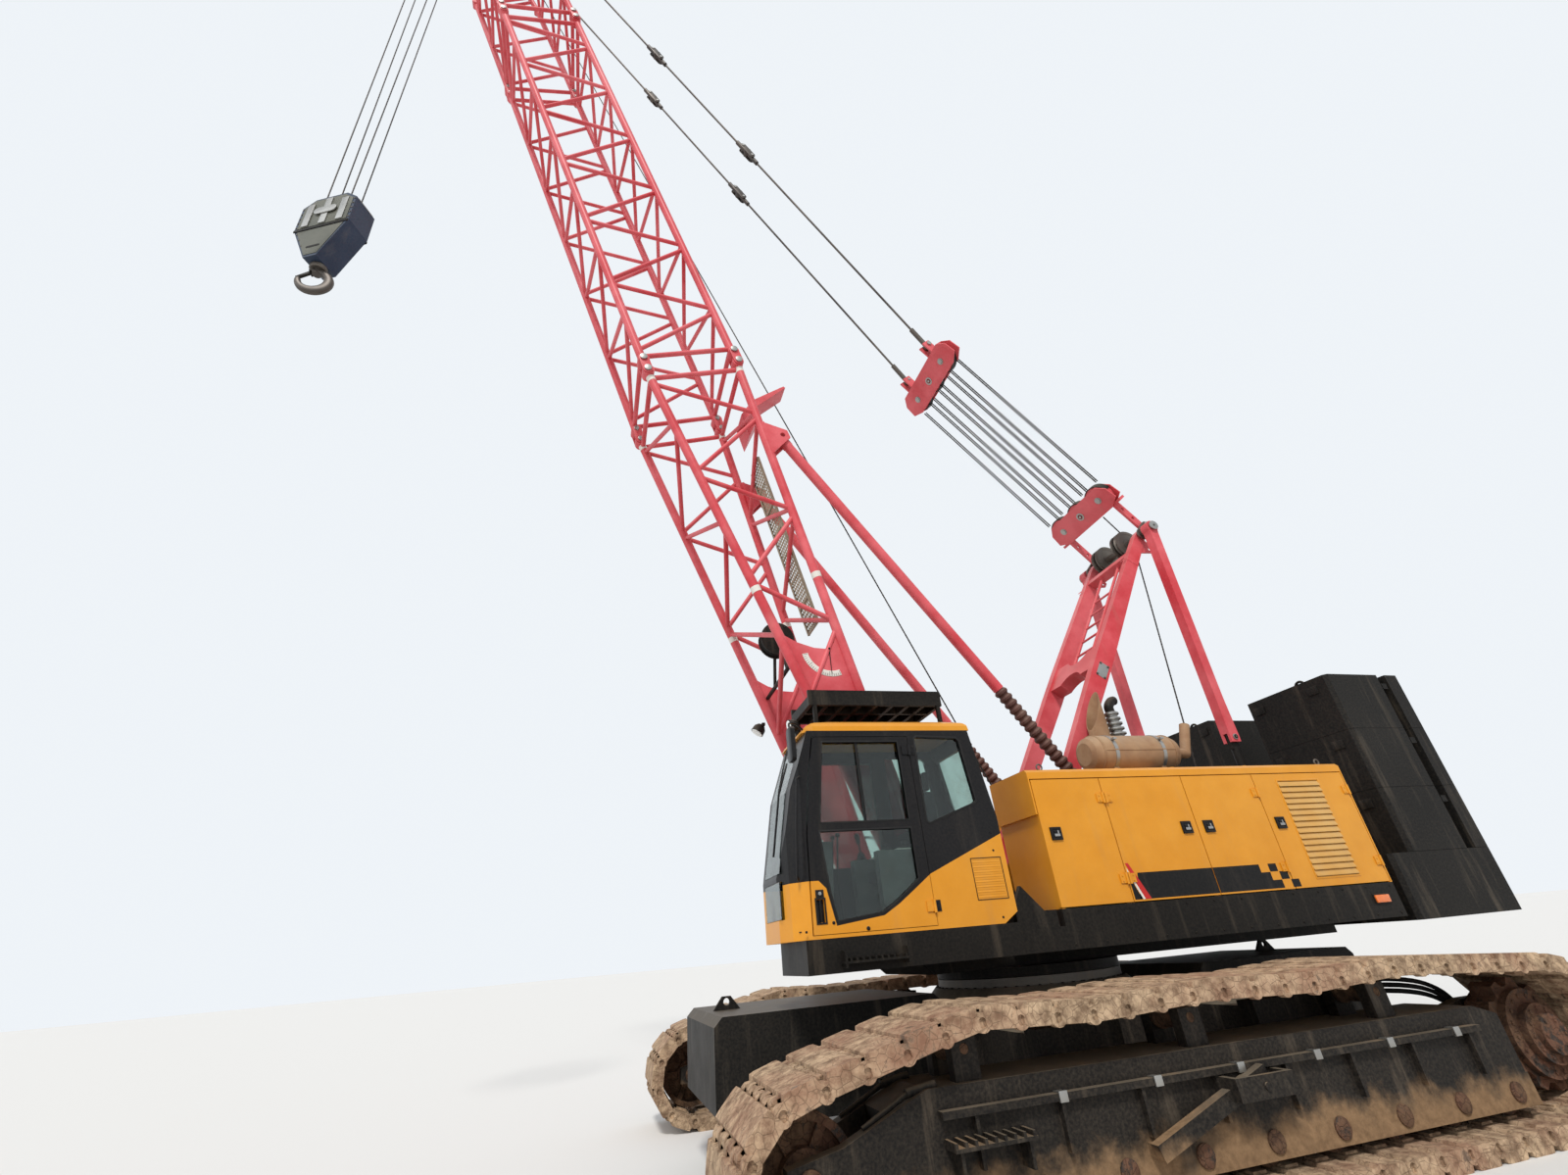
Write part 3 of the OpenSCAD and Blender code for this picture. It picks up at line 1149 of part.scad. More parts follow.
// Backstops: a rod from the frame slides in the tube that the boom carries.
module along_backstop() {
    translate([backstop_foot[0], backstop_y, backstop_foot[1]])
        rotate([0, -backstop_angle, 0]) children();
}
rod_len = 3900;
module backstop_rods() {
    color(STEEL) both_sides() along_backstop() {
        difference() {
            union() {
                disc_y(0, 0, -40, 40, 140);
                bar([40, 0, 0], [rod_len, 0, 0], backstop_rod_d);
                bar([95, 0, 0], [180, 0, 0], 130);
            }
            disc_y(0, 0, -50, 50, 60 + 2 * pin_play);
        }
    }
}
module backstop_tubes() {
    color(RED) both_sides() along_backstop() difference() {
        union() {
            bar([tube_start, 0, 0], [backstop_len - 80, 0, 0], backstop_tube_d);
            side_plate([[backstop_len - 160, -60], [backstop_len, -60], [backstop_len, 60],
                [backstop_len - 160, 60]], -40, 40);
            disc_y(backstop_len, 0, -40, 40, 150);
        }
        bar([tube_start - 9, 0, 0], [backstop_len - 260, 0, 0], backstop_bore_d);
    }
}
spring_turns = 15;
spring_len = 1250;
module backstop_springs() {
    pitch = spring_len / spring_turns;
    color(STEEL) both_sides() along_backstop() translate([tube_start - spring_len - 1, 0, 0])
        rotate([0, 90, 0]) rotate_extrude($fn = 32) polygon(concat(
            [[backstop_bore_d / 2, spring_len], [backstop_bore_d / 2, 0]],
            [for (i = [0:spring_turns - 1], k = [0:3])
                [k % 3 == 0 ? 62 : 80, pitch * (i + [0.08, 0.35, 0.65, 0.92][k])]]));
}

// Hoist ropes, block and hook hang plumb from the tip.

block_z = tip_axis[1] - hoist_drop;
fall_y = 90;
// A point of the block, turned with it about the ropes
function turned(x, y) = [x * cos(block_turn) - y * sin(block_turn),
    x * sin(block_turn) + y * cos(block_turn)];
module hoist_ropes() {
    color(BLACK) for (s = [-1, 1], t = [-1, 1]) let (p = turned(s * rope_r, t * fall_y))
        bar([tip_axis[0] + p[0], p[1], block_z + 5],
            [tip_axis[0] + s * rope_r, t * tip_sheave_ys[3], tip_axis[1]], rope_d);
}
block_low = 1000;
cheek_y = 140;
cheek_t = 40;
cheek = [[-100, -block_low], [100, -block_low], [430, -320], [430, 200], [250, 350],
    [-250, 350], [-430, 200], [-430, -320]];
module hook_block() {
    color(BLACK) translate([tip_axis[0], 0, block_z]) rotate([0, 0, block_turn]) {
        for (y = [-cheek_y - cheek_t, cheek_y]) side_plate(cheek, y, y + cheek_t);
        disc_y(0, 0, -cheek_y - cheek_t - 30, cheek_y + cheek_t + 30, 120);
        for (y = [-fall_y, fall_y])
            disc_y(0, 0, y - 30, y + 30, 2 * rope_r - rope_d - 12);
        // Guard plates that close both ends below the ropes
        for (m = [0, 1]) mirror([m, 0, 0]) side_plate([[430, 200], [430, -320],
            [100, -block_low], [82, -block_low + 20], [405, -312], [405, 200]],
            -cheek_y - eps, cheek_y + eps);
        block(-100, 100, -cheek_y - eps, cheek_y + eps, -block_low, -block_low + 80);
    }
}
hook_r = 240;
hook_t = 95;
module hook() {
    z = block_z - block_low - move_gap;
    color(BLACK) translate([tip_axis[0], 0, z]) {
        translate([0, 0, -120]) cylinder(d = 110, h = 120, $fn = 32);
        translate([0, 0, -hook_r - 55]) rotate([90, 0, 0]) {
            difference() {
                cylinder(r = hook_r, h = hook_t, center = true, $fn = 64);
                translate([15, 22, 0]) cylinder(r = 127, h = hook_t + 10, center = true, $fn = 64);
                translate([50, 50, -90]) cube([400, 400, 180]);
            }
            translate([-55, 150, -hook_t / 2]) cube([110, 95, hook_t]);
        }
    }
}

carbody();
carbody_weights();
slew_ring();
track_frames();
track_left();
track_right();
track_rollers();
idler_wheels();
drive_sprockets();
revolving_frame();
housing_left();
housing_right();
engine_block();
muffler();
fuel_tank();
winch_drums();
gantry_front_legs();
gantry_rear_legs();
gantry_cylinders();
gantry_sheaves();
counterweight_base();
counterweight_slabs();
cab_lower();
cab_frame();
cab_roof();
cab_glass();
operator_seat();
control_console();
roof_guard();
cab_door();
cab_door_panel();
cab_door_glass();
side_door_l1();
side_door_l2();
side_door_l3();
side_door_l4();
side_door_r1();
side_door_r2();
side_door_r3();
boom_butt();
boom_insert();
boom_tip();
tip_sheaves();
cable_reel();
rope_guard();
boom_walkway();
lower_spreader();
luffing_ropes();
upper_spreader();
pendant_lines();
backstop_rods();
backstop_tubes();
backstop_springs();
hoist_ropes();
hook_block();
hook();
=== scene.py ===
"""Crawler crane with a pinned lattice boom: finishes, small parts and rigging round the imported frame."""

import json
import logging
import math
from dataclasses import dataclass, field
from enum import Enum
from typing import Sequence

import bmesh
import bpy
from mathutils import Matrix, Vector

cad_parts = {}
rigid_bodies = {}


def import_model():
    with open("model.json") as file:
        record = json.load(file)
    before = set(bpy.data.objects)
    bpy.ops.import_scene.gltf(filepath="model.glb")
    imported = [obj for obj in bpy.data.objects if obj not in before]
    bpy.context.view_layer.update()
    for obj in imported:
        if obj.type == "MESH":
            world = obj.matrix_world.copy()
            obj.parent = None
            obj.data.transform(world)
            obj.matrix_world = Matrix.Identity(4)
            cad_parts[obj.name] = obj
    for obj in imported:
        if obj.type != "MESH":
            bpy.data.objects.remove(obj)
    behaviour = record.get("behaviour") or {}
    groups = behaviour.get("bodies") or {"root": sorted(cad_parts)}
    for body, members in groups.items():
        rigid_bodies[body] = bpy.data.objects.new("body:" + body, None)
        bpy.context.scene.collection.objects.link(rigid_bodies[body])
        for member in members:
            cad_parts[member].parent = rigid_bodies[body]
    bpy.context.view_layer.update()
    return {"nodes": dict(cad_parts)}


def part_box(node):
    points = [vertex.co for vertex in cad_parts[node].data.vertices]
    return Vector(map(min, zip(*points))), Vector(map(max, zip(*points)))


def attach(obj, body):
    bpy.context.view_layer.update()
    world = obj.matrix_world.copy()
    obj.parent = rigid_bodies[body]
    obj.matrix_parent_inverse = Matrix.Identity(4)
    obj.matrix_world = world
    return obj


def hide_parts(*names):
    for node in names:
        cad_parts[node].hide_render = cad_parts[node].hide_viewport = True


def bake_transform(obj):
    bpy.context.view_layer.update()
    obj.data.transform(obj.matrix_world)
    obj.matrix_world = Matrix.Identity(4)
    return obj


log = logging.getLogger("crane")

RGB = tuple[float, float, float]
Point = tuple[float, float, float]

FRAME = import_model()
NODES = FRAME["nodes"]

BEVEL_FROM = math.radians(32)
SHARP_FROM = 35.0
ROPE_R = 0.0115


def srgb(red: int, green: int, blue: int) -> RGB:
    """Turns an 8-bit display colour into a linear one.

    Args:
        red: Red from 0 to 255.
        green: Green from 0 to 255.
        blue: Blue from 0 to 255.

    Returns:
        The linear colour that the shader nodes take.
    """
    def linear(level: int) -> float:
        """One channel in linear light."""
        share = level / 255
        return share / 12.92 if share <= 0.04045 else ((share + 0.055) / 1.055) ** 2.4

    return linear(red), linear(green), linear(blue)


class Slot(str, Enum):
    """The record's material slots."""

    RED = "red_paint"
    YELLOW = "yellow_paint"
    BLACK = "black_paint"
    TRACK = "dusty_steel"
    STEEL = "bare_steel"
    MUFFLER = "muffler_steel"
    GLASS = "cab_glass"
    SEAT = "seat_fabric"
    PLASTIC = "grey_plastic"
    WALKWAY = "walkway_mesh"
    ROPE = "wire_rope"
    PENDANT = "pendant_steel"
    SPRING = "spring_steel"


# Shader graphs


class Graph:
    """A node tree with short calls to add and wire nodes."""

    def __init__(self, tree: bpy.types.NodeTree) -> None:
        """Keeps the tree that the calls add to."""
        self.tree = tree

    def add(self, kind: str, sockets: dict | None = None, **settings: object) -> bpy.types.Node:
        """Adds a node.

        Args:
            kind: The node's type name.
            sockets: Plain values or sockets to wire, by input name or index.
            settings: Attributes to set on the node itself.

        Returns:
            The node.
        """
        node = self.tree.nodes.new(kind)
        for name, value in settings.items():
            setattr(node, name, value)
        for name, value in (sockets or {}).items():
            socket = node.inputs[name]
            if isinstance(value, bpy.types.NodeSocket):
                self.tree.links.new(value, socket)
            elif socket.type == "RGBA" and len(value) == 3:
                socket.default_value = (*value, 1.0)
            else:
                socket.default_value = value
        return node

    def math(self, operation: str, *values: object, clamp: bool = False) -> bpy.types.NodeSocket:
        """Adds a math node and returns its result."""
        node = self.add("ShaderNodeMath", dict(enumerate(values)), operation=operation)
        node.use_clamp = clamp
        return node.outputs[0]

    def times(self, first: object, second: object, clamp: bool = False) -> bpy.types.NodeSocket:
        """Multiplies two levels and returns the result."""
        return self.math("MULTIPLY", first, second, clamp=clamp)

    def plus(self, first: object, second: object, clamp: bool = False) -> bpy.types.NodeSocket:
        """Adds two levels and returns the result."""
        return self.math("ADD", first, second, clamp=clamp)

    def mix(self, share: object, first: object, second: object, blend: str = "MIX") -> bpy.types.NodeSocket:
        """Mixes two colours and returns the result."""
        node = self.add("ShaderNodeMix", data_type="RGBA", blend_type=blend)
        for index, value in ((0, share), (6, first), (7, second)):
            socket = node.inputs[index]
            if isinstance(value, bpy.types.NodeSocket):
                self.tree.links.new(value, socket)
            elif index and len(value) == 3:
                socket.default_value = (*value, 1.0)
            else:
                socket.default_value = value
        return node.outputs[2]

    def noise(
            self, vector: object, scale: object, detail: float = 4.0,
            rough: float = 0.55) -> bpy.types.NodeSocket:
        """Adds a noise texture and returns its level."""
        return self.add(
            "ShaderNodeTexNoise",
            {"Vector": vector, "Scale": scale, "Detail": detail, "Roughness": rough}).outputs[0]

    def step(self, value: object, low: object, high: object) -> bpy.types.NodeSocket:
        """Maps a level from low..high to a smooth 0..1 mask."""
        return self.add(
            "ShaderNodeMapRange", {0: value, 1: low, 2: high, 3: 0.0, 4: 1.0},
            interpolation_type="SMOOTHSTEP").outputs[0]

    def spread(self, value: object, low: object, high: object) -> bpy.types.NodeSocket:
        """Maps a level of 0..1 to low..high."""
        return self.add("ShaderNodeMapRange", {0: value, 1: 0.0, 2: 1.0, 3: low, 4: high}).outputs[0]

    def stretch(self, vector: object, scale: Point) -> bpy.types.NodeSocket:
        """Scales a vector by axis."""
        return self.add("ShaderNodeMapping", {"Vector": vector, "Scale": scale}).outputs[0]

    def close(
            self, sink: bpy.types.Node, colour: object, rough: object, height: object) -> bpy.types.NodeTree:
        """Wires a finish's colour, roughness and height to a group's outputs and returns its tree."""
        for label, socket in (("Color", colour), ("Roughness", rough), ("Height", height)):
            self.tree.links.new(socket, sink.inputs[label])
        return self.tree


def new_group(name: str, inputs: Sequence[tuple[str, str, object]]) -> tuple[
        Graph, bpy.types.bpy_prop_collection, bpy.types.Node]:
    """Makes an empty shader group that puts out a colour, a roughness and a height.

    Args:
        name: The group's name.
        inputs: Name, kind (Float, Color or Vector) and default of each input.

    Returns:
        The group's graph, the sockets of its inputs and its output node.
    """
    tree = bpy.data.node_groups.new(name, "ShaderNodeTree")
    for label, kind, default in inputs:
        socket = tree.interface.new_socket(label, in_out="INPUT", socket_type="NodeSocket" + kind)
        if default is not None:
            socket.default_value = (*default, 1.0) if kind == "Color" else default
    for label, kind in (("Color", "Color"), ("Roughness", "Float"), ("Height", "Float")):
        tree.interface.new_socket(label, in_out="OUTPUT", socket_type="NodeSocket" + kind)
    return Graph(tree), tree.nodes.new("NodeGroupInput").outputs, tree.nodes.new("NodeGroupOutput")


def weathered_group() -> bpy.types.NodeTree:
    """Builds the shared weather on paint and steel.

    Returns:
        A group that fades, streaks, chips, dusts and muddies a base colour.
    """
    g, of, sink = new_group(
        "weathered_surface",
        [
            ("Vector", "Vector", None), ("Colour", "Color", (0.5, 0.5, 0.5)),
            ("Faded", "Color", (0.6, 0.6, 0.6)), ("Fade", "Float", 0.3), ("Bare", "Color", (0.1, 0.06, 0.04)),
            ("Chips", "Float", 0.1), ("Streaks", "Float", 0.2), ("Dust", "Float", 0.3),
            ("Dust Colour", "Color", (0.36, 0.29, 0.21)), ("Mud", "Float", 0.0), ("Mud Top", "Float", 0.0),
            ("Low Roughness", "Float", 0.35), ("High Roughness", "Float", 0.6), ("Grain", "Float", 0.3)])
    place = of["Vector"]
    broad = g.noise(place, 0.55, 4.0, 0.6)
    blotch = g.noise(place, 3.1, 7.0, 0.62)
    fine = g.noise(place, 46.0, 5.0, 0.6)
    run = g.noise(g.stretch(place, (7.0, 7.0, 0.7)), 1.0, 5.0, 0.6)
    fade = g.times(g.step(g.plus(g.times(broad, 0.65), g.times(blotch, 0.35)), 0.34, 0.66), of["Fade"])
    colour = g.mix(fade, of["Colour"], of["Faded"])
    shade = g.spread(blotch, 0.86, 1.13)
    colour = g.mix(
        1.0, colour, g.add("ShaderNodeCombineColor", {0: shade, 1: shade, 2: shade}).outputs[0], "MULTIPLY")
    wet = g.times(g.step(run, 0.52, 0.74), of["Streaks"], clamp=True)
    colour = g.mix(wet, colour, g.mix(0.55, of["Bare"], of["Dust Colour"]))
    edge = g.math("SUBTRACT", 0.8, g.times(of["Chips"], 0.22))
    flake = g.step(g.plus(g.times(blotch, 0.6), g.times(fine, 0.45)), edge, g.plus(edge, 0.03))
    flake = g.times(flake, g.step(of["Chips"], 0.0, 0.05))
    colour = g.mix(flake, colour, of["Bare"])
    normal = g.add("ShaderNodeNewGeometry").outputs["Normal"]
    up = g.add("ShaderNodeSeparateXYZ", {0: normal}).outputs[2]
    settle = g.times(g.step(up, 0.1, 0.95), g.spread(blotch, 0.25, 1.35))
    film = g.times(g.spread(broad, 0.1, 0.5), g.step(fine, 0.3, 0.75))
    dust = g.times(g.plus(settle, g.times(film, 0.55)), of["Dust"], clamp=True)
    colour = g.mix(dust, colour, of["Dust Colour"])
    height = g.add("ShaderNodeSeparateXYZ", {0: place}).outputs[2]
    level = g.math("SUBTRACT", of["Mud Top"], height)
    reach = g.plus(g.step(level, -0.15, 0.45), g.times(g.step(up, 0.3, 1.0), 0.45))
    cake = g.step(g.plus(g.times(reach, 0.55), g.times(blotch, 0.7)), 0.62, 0.86)
    cake = g.times(cake, of["Mud"], clamp=True)
    clod = g.noise(place, 19.0, 7.0, 0.7)
    soil = g.mix(clod, srgb(78, 58, 42), srgb(176, 143, 108))
    colour = g.mix(cake, colour, soil)
    rough = g.spread(blotch, of["Low Roughness"], of["High Roughness"])
    rough = g.math("MAXIMUM", rough, g.times(g.plus(dust, cake), 0.95, clamp=True))
    bump = g.plus(g.times(fine, of["Grain"]), g.times(flake, -0.35))
    bump = g.plus(bump, g.times(g.times(cake, clod), 2.4))
    return g.close(sink, colour, rough, bump)


def caked_group() -> bpy.types.NodeTree:
    """Builds dried mud over cast steel, for the tracks and their wheels.

    Returns:
        A group that puts cracked and worn mud over a metal colour.
    """
    g, of, sink = new_group(
        "caked_mud",
        [
            ("Vector", "Vector", None), ("Metal", "Color", (0.2, 0.17, 0.14)),
            ("Dark Mud", "Color", (0.12, 0.08, 0.05)), ("Light Mud", "Color", (0.4, 0.3, 0.2)),
            ("Cover", "Float", 0.8), ("Size", "Float", 1.0)])
    place = g.add("ShaderNodeVectorMath", {0: of["Vector"], 3: of["Size"]}, operation="SCALE").outputs[0]
    broad = g.noise(place, 1.3, 5.0, 0.6)
    clod = g.noise(place, 11.0, 8.0, 0.68)
    grit = g.noise(place, 85.0, 4.0, 0.6)
    crack = g.add(
        "ShaderNodeTexVoronoi", {"Vector": place, "Scale": 16.0}, feature="DISTANCE_TO_EDGE").outputs[0]
    mud = g.mix(g.step(clod, 0.3, 0.72), of["Dark Mud"], of["Light Mud"])
    mud = g.mix(g.times(g.step(broad, 0.42, 0.7), 0.5), mud, srgb(150, 104, 84))
    mud = g.mix(g.times(g.step(crack, 0.045, 0.0), 0.55), mud, of["Dark Mud"])
    worn = g.step(
        g.plus(g.times(clod, 0.5), g.times(broad, 0.5)), g.times(of["Cover"], 0.62),
        g.plus(g.times(of["Cover"], 0.62), 0.07))
    colour = g.mix(worn, mud, of["Metal"])
    rough = g.spread(worn, 0.95, 0.52)
    bump = g.plus(g.times(clod, 1.5), g.times(grit, 0.3))
    bump = g.plus(bump, g.times(g.step(crack, 0.0, 0.05), 0.5))
    bump = g.times(bump, g.spread(worn, 1.0, 0.35))
    return g.close(sink, colour, rough, bump)


def woven_group() -> bpy.types.NodeTree:
    """Builds a fine weave or a moulded grain, for cloth, rubber and plastic.

    Returns:
        A group with two threads that cross on Object coordinates.
    """
    g, of, sink = new_group(
        "woven_grain",
        [
            ("Vector", "Vector", None), ("Colour", "Color", (0.1, 0.1, 0.1)), ("Thread", "Float", 260.0),
            ("Weave", "Float", 1.0), ("Worn", "Color", (0.2, 0.2, 0.2)), ("Wear", "Float", 0.3),
            ("Low Roughness", "Float", 0.6), ("High Roughness", "Float", 0.9)])
    place = of["Vector"]
    across = g.add(
        "ShaderNodeTexWave", {"Vector": place, "Scale": g.times(of["Thread"], 0.1)},
        bands_direction="X").outputs[0]
    along = g.add(
        "ShaderNodeTexWave", {"Vector": place, "Scale": g.times(of["Thread"], 0.1)},
        bands_direction="Z").outputs[0]
    cloth = g.times(g.math("MAXIMUM", across, along), of["Weave"])
    blotch = g.noise(place, 9.0, 6.0, 0.6)
    pebble = g.noise(place, 420.0, 3.0, 0.5)
    colour = g.mix(g.times(g.step(blotch, 0.45, 0.7), of["Wear"]), of["Colour"], of["Worn"])
    colour = g.mix(g.times(cloth, 0.25), colour, of["Worn"])
    return g.close(
        sink, colour, g.spread(blotch, of["Low Roughness"], of["High Roughness"]),
        g.plus(cloth, g.times(pebble, 0.6)))


def blank_material(name: str) -> tuple[bpy.types.Material, Graph, bpy.types.NodeSocket]:
    """Makes a material with an empty graph.

    Args:
        name: The material's name.

    Returns:
        The material, its graph and the socket with Object coordinates.
    """
    material = bpy.data.materials.new(name)
    material.use_nodes = True
    material.node_tree.nodes.clear()
    g = Graph(material.node_tree)
    return material, g, g.add("ShaderNodeTexCoord").outputs["Object"]


@dataclass(frozen=True)
class Finish:
    """One surface finish: a shared group with this finish's own values."""

    name: str
    group: str
    values: dict[str, object]
    metallic: float = 0.0
    coat: float = 0.0
    bump: float = 0.002
    specular: float = 0.3

    def material(self, groups: dict[str, bpy.types.NodeTree]) -> bpy.types.Material:
        """Builds the Blender material.

        Args:
            groups: The shared groups by name.

        Returns:
            The material.
        """
        material, g, place = blank_material(self.name)
        effect = g.tree.nodes.new("ShaderNodeGroup")
        effect.node_tree = groups[self.group]
        g.tree.links.new(place, effect.inputs["Vector"])
        for label, value in self.values.items():
            socket = effect.inputs[label]
            socket.default_value = (*value, 1.0) if socket.type == "RGBA" else value
        bump = g.add(
            "ShaderNodeBump", {"Height": effect.outputs["Height"], "Strength": 0.8, "Distance": self.bump})
        shader = g.add(
            "ShaderNodeBsdfPrincipled",
            {
                "Base Color": effect.outputs["Color"], "Roughness": effect.outputs["Roughness"],
                "Normal": bump.outputs[0], "Metallic": self.metallic})
        for label, value in (
                ("Specular IOR Level", self.specular), ("Coat Weight", self.coat), ("Coat Roughness", 0.25)):
            shader.inputs[label].default_value = value
        g.add("ShaderNodeOutputMaterial", {"Surface": shader.outputs[0]}, is_active_output=True)
        return material


def paint(
        name: str, colour: RGB, faded: RGB, *, fade: float = 0.45, bare: RGB = srgb(84, 52, 38),
        chips: float = 0.12, streaks: float = 0.14, dust: float = 0.3, mud: float = 0.0, mud_top: float = 0.0,
        low: float = 0.34, high: float = 0.55, grain: float = 0.14, metallic: float = 0.0, coat: float = 0.0,
        specular: float = 0.3) -> Finish:
    """Describes a weathered paint.

    Args:
        name: The material's name.
        colour: The paint where it is fresh.
        faded: The paint where the sun has bleached it.
        fade: How much of it is bleached.
        bare: What shows where it has chipped.
        chips: How much has chipped.
        streaks: How strong the rain marks are.
        dust: How much dust lies on faces that look up.
        mud: How thick the mud is.
        mud_top: The height that the mud reaches.
        low: The lowest roughness.
        high: The highest roughness.
        grain: The height of the fine grain.
        metallic: The shader's metallic value.
        coat: The weight of a clear coat.
        specular: How strongly it mirrors its surroundings, 0.5 being usual.

    Returns:
        The finish.
    """
    return Finish(
        name, "weathered_surface",
        {
            "Colour": colour, "Faded": faded, "Fade": fade, "Bare": bare, "Chips": chips, "Streaks": streaks,
            "Dust": dust, "Mud": mud, "Mud Top": mud_top, "Low Roughness": low, "High Roughness": high,
            "Grain": grain}, metallic=metallic, coat=coat, bump=0.0025, specular=specular)


RED_PAINT = paint(
    "red_boom_paint", srgb(196, 50, 60), srgb(224, 112, 118), fade=0.75, chips=0.18, bare=srgb(98, 50, 44),
    streaks=0.14, dust=0.26)
YELLOW_PAINT = paint(
    "yellow_body_paint", srgb(216, 142, 26), srgb(216, 156, 58), fade=0.45, chips=0.05,
    bare=srgb(112, 78, 50), streaks=0.1, dust=0.2, low=0.26, high=0.42, grain=0.08, coat=0.1, specular=0.25)
BLACK_PAINT = paint(
    "black_frame_paint", srgb(22, 21, 20), srgb(38, 35, 32), fade=0.4, chips=0.1, bare=srgb(70, 56, 46),
    streaks=0.16, dust=0.2, low=0.32, high=0.58, specular=0.1)
WEIGHT_PAINT = paint(
    "black_weight_paint", srgb(20, 20, 20), srgb(34, 33, 32), fade=0.5, chips=0.14, bare=srgb(84, 74, 64),
    streaks=0.22, dust=0.26, low=0.4, high=0.66, grain=0.25, specular=0.1)
CHASSIS_PAINT = paint(
    "black_chassis_paint", srgb(22, 21, 21), srgb(40, 36, 33), fade=0.5, chips=0.2, bare=srgb(70, 52, 42),
    streaks=0.3, dust=0.45, mud=0.95, mud_top=0.62, low=0.4, high=0.7, grain=0.4, specular=0.12)
CAB_BLACK = paint(
    "black_cab_paint", srgb(22, 22, 24), srgb(32, 32, 35), fade=0.3, chips=0.03, bare=srgb(60, 54, 50),
    streaks=0.05, dust=0.14, low=0.22, high=0.38, grain=0.06, coat=0.06, specular=0.12)
GALVANISED = paint(
    "dull_zinc", srgb(150, 150, 148), srgb(176, 174, 168), fade=0.6, chips=0.15, bare=srgb(96, 66, 48),
    streaks=0.2, dust=0.2, metallic=0.85, low=0.32, high=0.5)
BARE_STEEL = paint(
    "worn_steel", srgb(92, 88, 84), srgb(120, 112, 102), fade=0.5, chips=0.35, bare=srgb(88, 54, 36),
    streaks=0.3, dust=0.3, metallic=0.7, low=0.34, high=0.6, grain=0.3)
ROD_STEEL = paint(
    "bright_rod", srgb(168, 168, 166), srgb(150, 146, 140), fade=0.4, chips=0.08, bare=srgb(96, 70, 52),
    streaks=0.1, dust=0.1, metallic=1.0, low=0.14, high=0.3, grain=0.03)
SPRING_PAINT = paint(
    "rusty_spring", srgb(70, 42, 38), srgb(112, 76, 66), fade=0.6, chips=0.4, bare=srgb(48, 30, 24),
    streaks=0.2, dust=0.2, metallic=0.2, low=0.45, high=0.7, grain=0.4)
MUFFLER_PAINT = paint(
    "dusty_muffler", srgb(124, 82, 52), srgb(178, 146, 112), fade=0.9, chips=0.34, bare=srgb(100, 54, 34),
    streaks=0.4, dust=0.4, low=0.55, high=0.8, grain=0.3)
ROPE_STEEL = paint(
    "greased_wire", srgb(38, 36, 34), srgb(78, 72, 66), fade=0.5, chips=0.1, bare=srgb(120, 112, 104),
    streaks=0.0, dust=0.15, metallic=0.6, low=0.3, high=0.5, grain=0.2)
PENDANT_STEEL = paint(
    "weathered_pendant", srgb(66, 62, 60), srgb(112, 104, 96), fade=0.55, chips=0.25, bare=srgb(98, 62, 44),
    streaks=0.1, dust=0.2, metallic=0.6, low=0.35, high=0.55)
WALKWAY_PAINT = paint(
    "dusty_walkway", srgb(150, 138, 118), srgb(176, 164, 142), fade=0.6, chips=0.3, bare=srgb(110, 92, 74),
    streaks=0.2, dust=0.4, low=0.6, high=0.85, grain=0.5)
LOUVRE_PAINT = paint(
    "dusty_louvre_paint", srgb(206, 148, 58), srgb(204, 166, 104), fade=0.8, chips=0.05,
    bare=srgb(112, 78, 50), streaks=0.15, dust=0.5, low=0.4, high=0.6)
WHITE_PAINT = paint(
    "white_marking", srgb(226, 222, 214), srgb(206, 200, 190), fade=0.5, chips=0.22, bare=srgb(150, 60, 58),
    streaks=0.12, dust=0.15)
BAND_BLACK = paint(
    "black_band_film", srgb(18, 18, 19), srgb(28, 27, 27), fade=0.3, chips=0.04, streaks=0.08, dust=0.14,
    low=0.22, high=0.36, grain=0.03, specular=0.15)
BAND_RED = paint(
    "red_band_film", srgb(190, 30, 28), srgb(200, 52, 46), fade=0.3, chips=0.04, streaks=0.08, dust=0.15,
    low=0.24, high=0.38, grain=0.03)
TRACK_MUD = Finish(
    "muddy_shoes", "caked_mud",
    {
        "Metal": srgb(112, 92, 76), "Dark Mud": srgb(112, 90, 70), "Light Mud": srgb(206, 178, 146),
        "Cover": 0.95}, bump=0.006)
WHEEL_MUD = Finish(
    "muddy_wheels", "caked_mud",
    {"Metal": srgb(54, 48, 44), "Dark Mud": srgb(46, 34, 27), "Light Mud": srgb(118, 92, 70), "Cover": 0.86},
    bump=0.006, metallic=0.15)
BLOCK_NAVY = paint(
    "navy_guard_paint", srgb(34, 48, 70), srgb(58, 72, 92), fade=0.5, chips=0.12, bare=srgb(110, 104, 96),
    streaks=0.14, dust=0.25)
BLOCK_OLIVE = paint(
    "olive_cheek_paint", srgb(78, 80, 70), srgb(112, 110, 96), fade=0.6, chips=0.2, bare=srgb(96, 84, 70),
    streaks=0.2, dust=0.3)
RUBBER = Finish(
    "black_rubber", "woven_grain",
    {
        "Colour": srgb(20, 20, 20), "Worn": srgb(52, 50, 48), "Wear": 0.4, "Weave": 0.0,
        "Low Roughness": 0.55, "High Roughness": 0.8}, bump=0.0006)
SEAT_CLOTH = Finish(
    "seat_cloth", "woven_grain",
    {
        "Colour": srgb(34, 36, 40), "Worn": srgb(74, 74, 76), "Wear": 0.35, "Thread": 900.0,
        "Low Roughness": 0.8, "High Roughness": 0.95}, bump=0.0012)
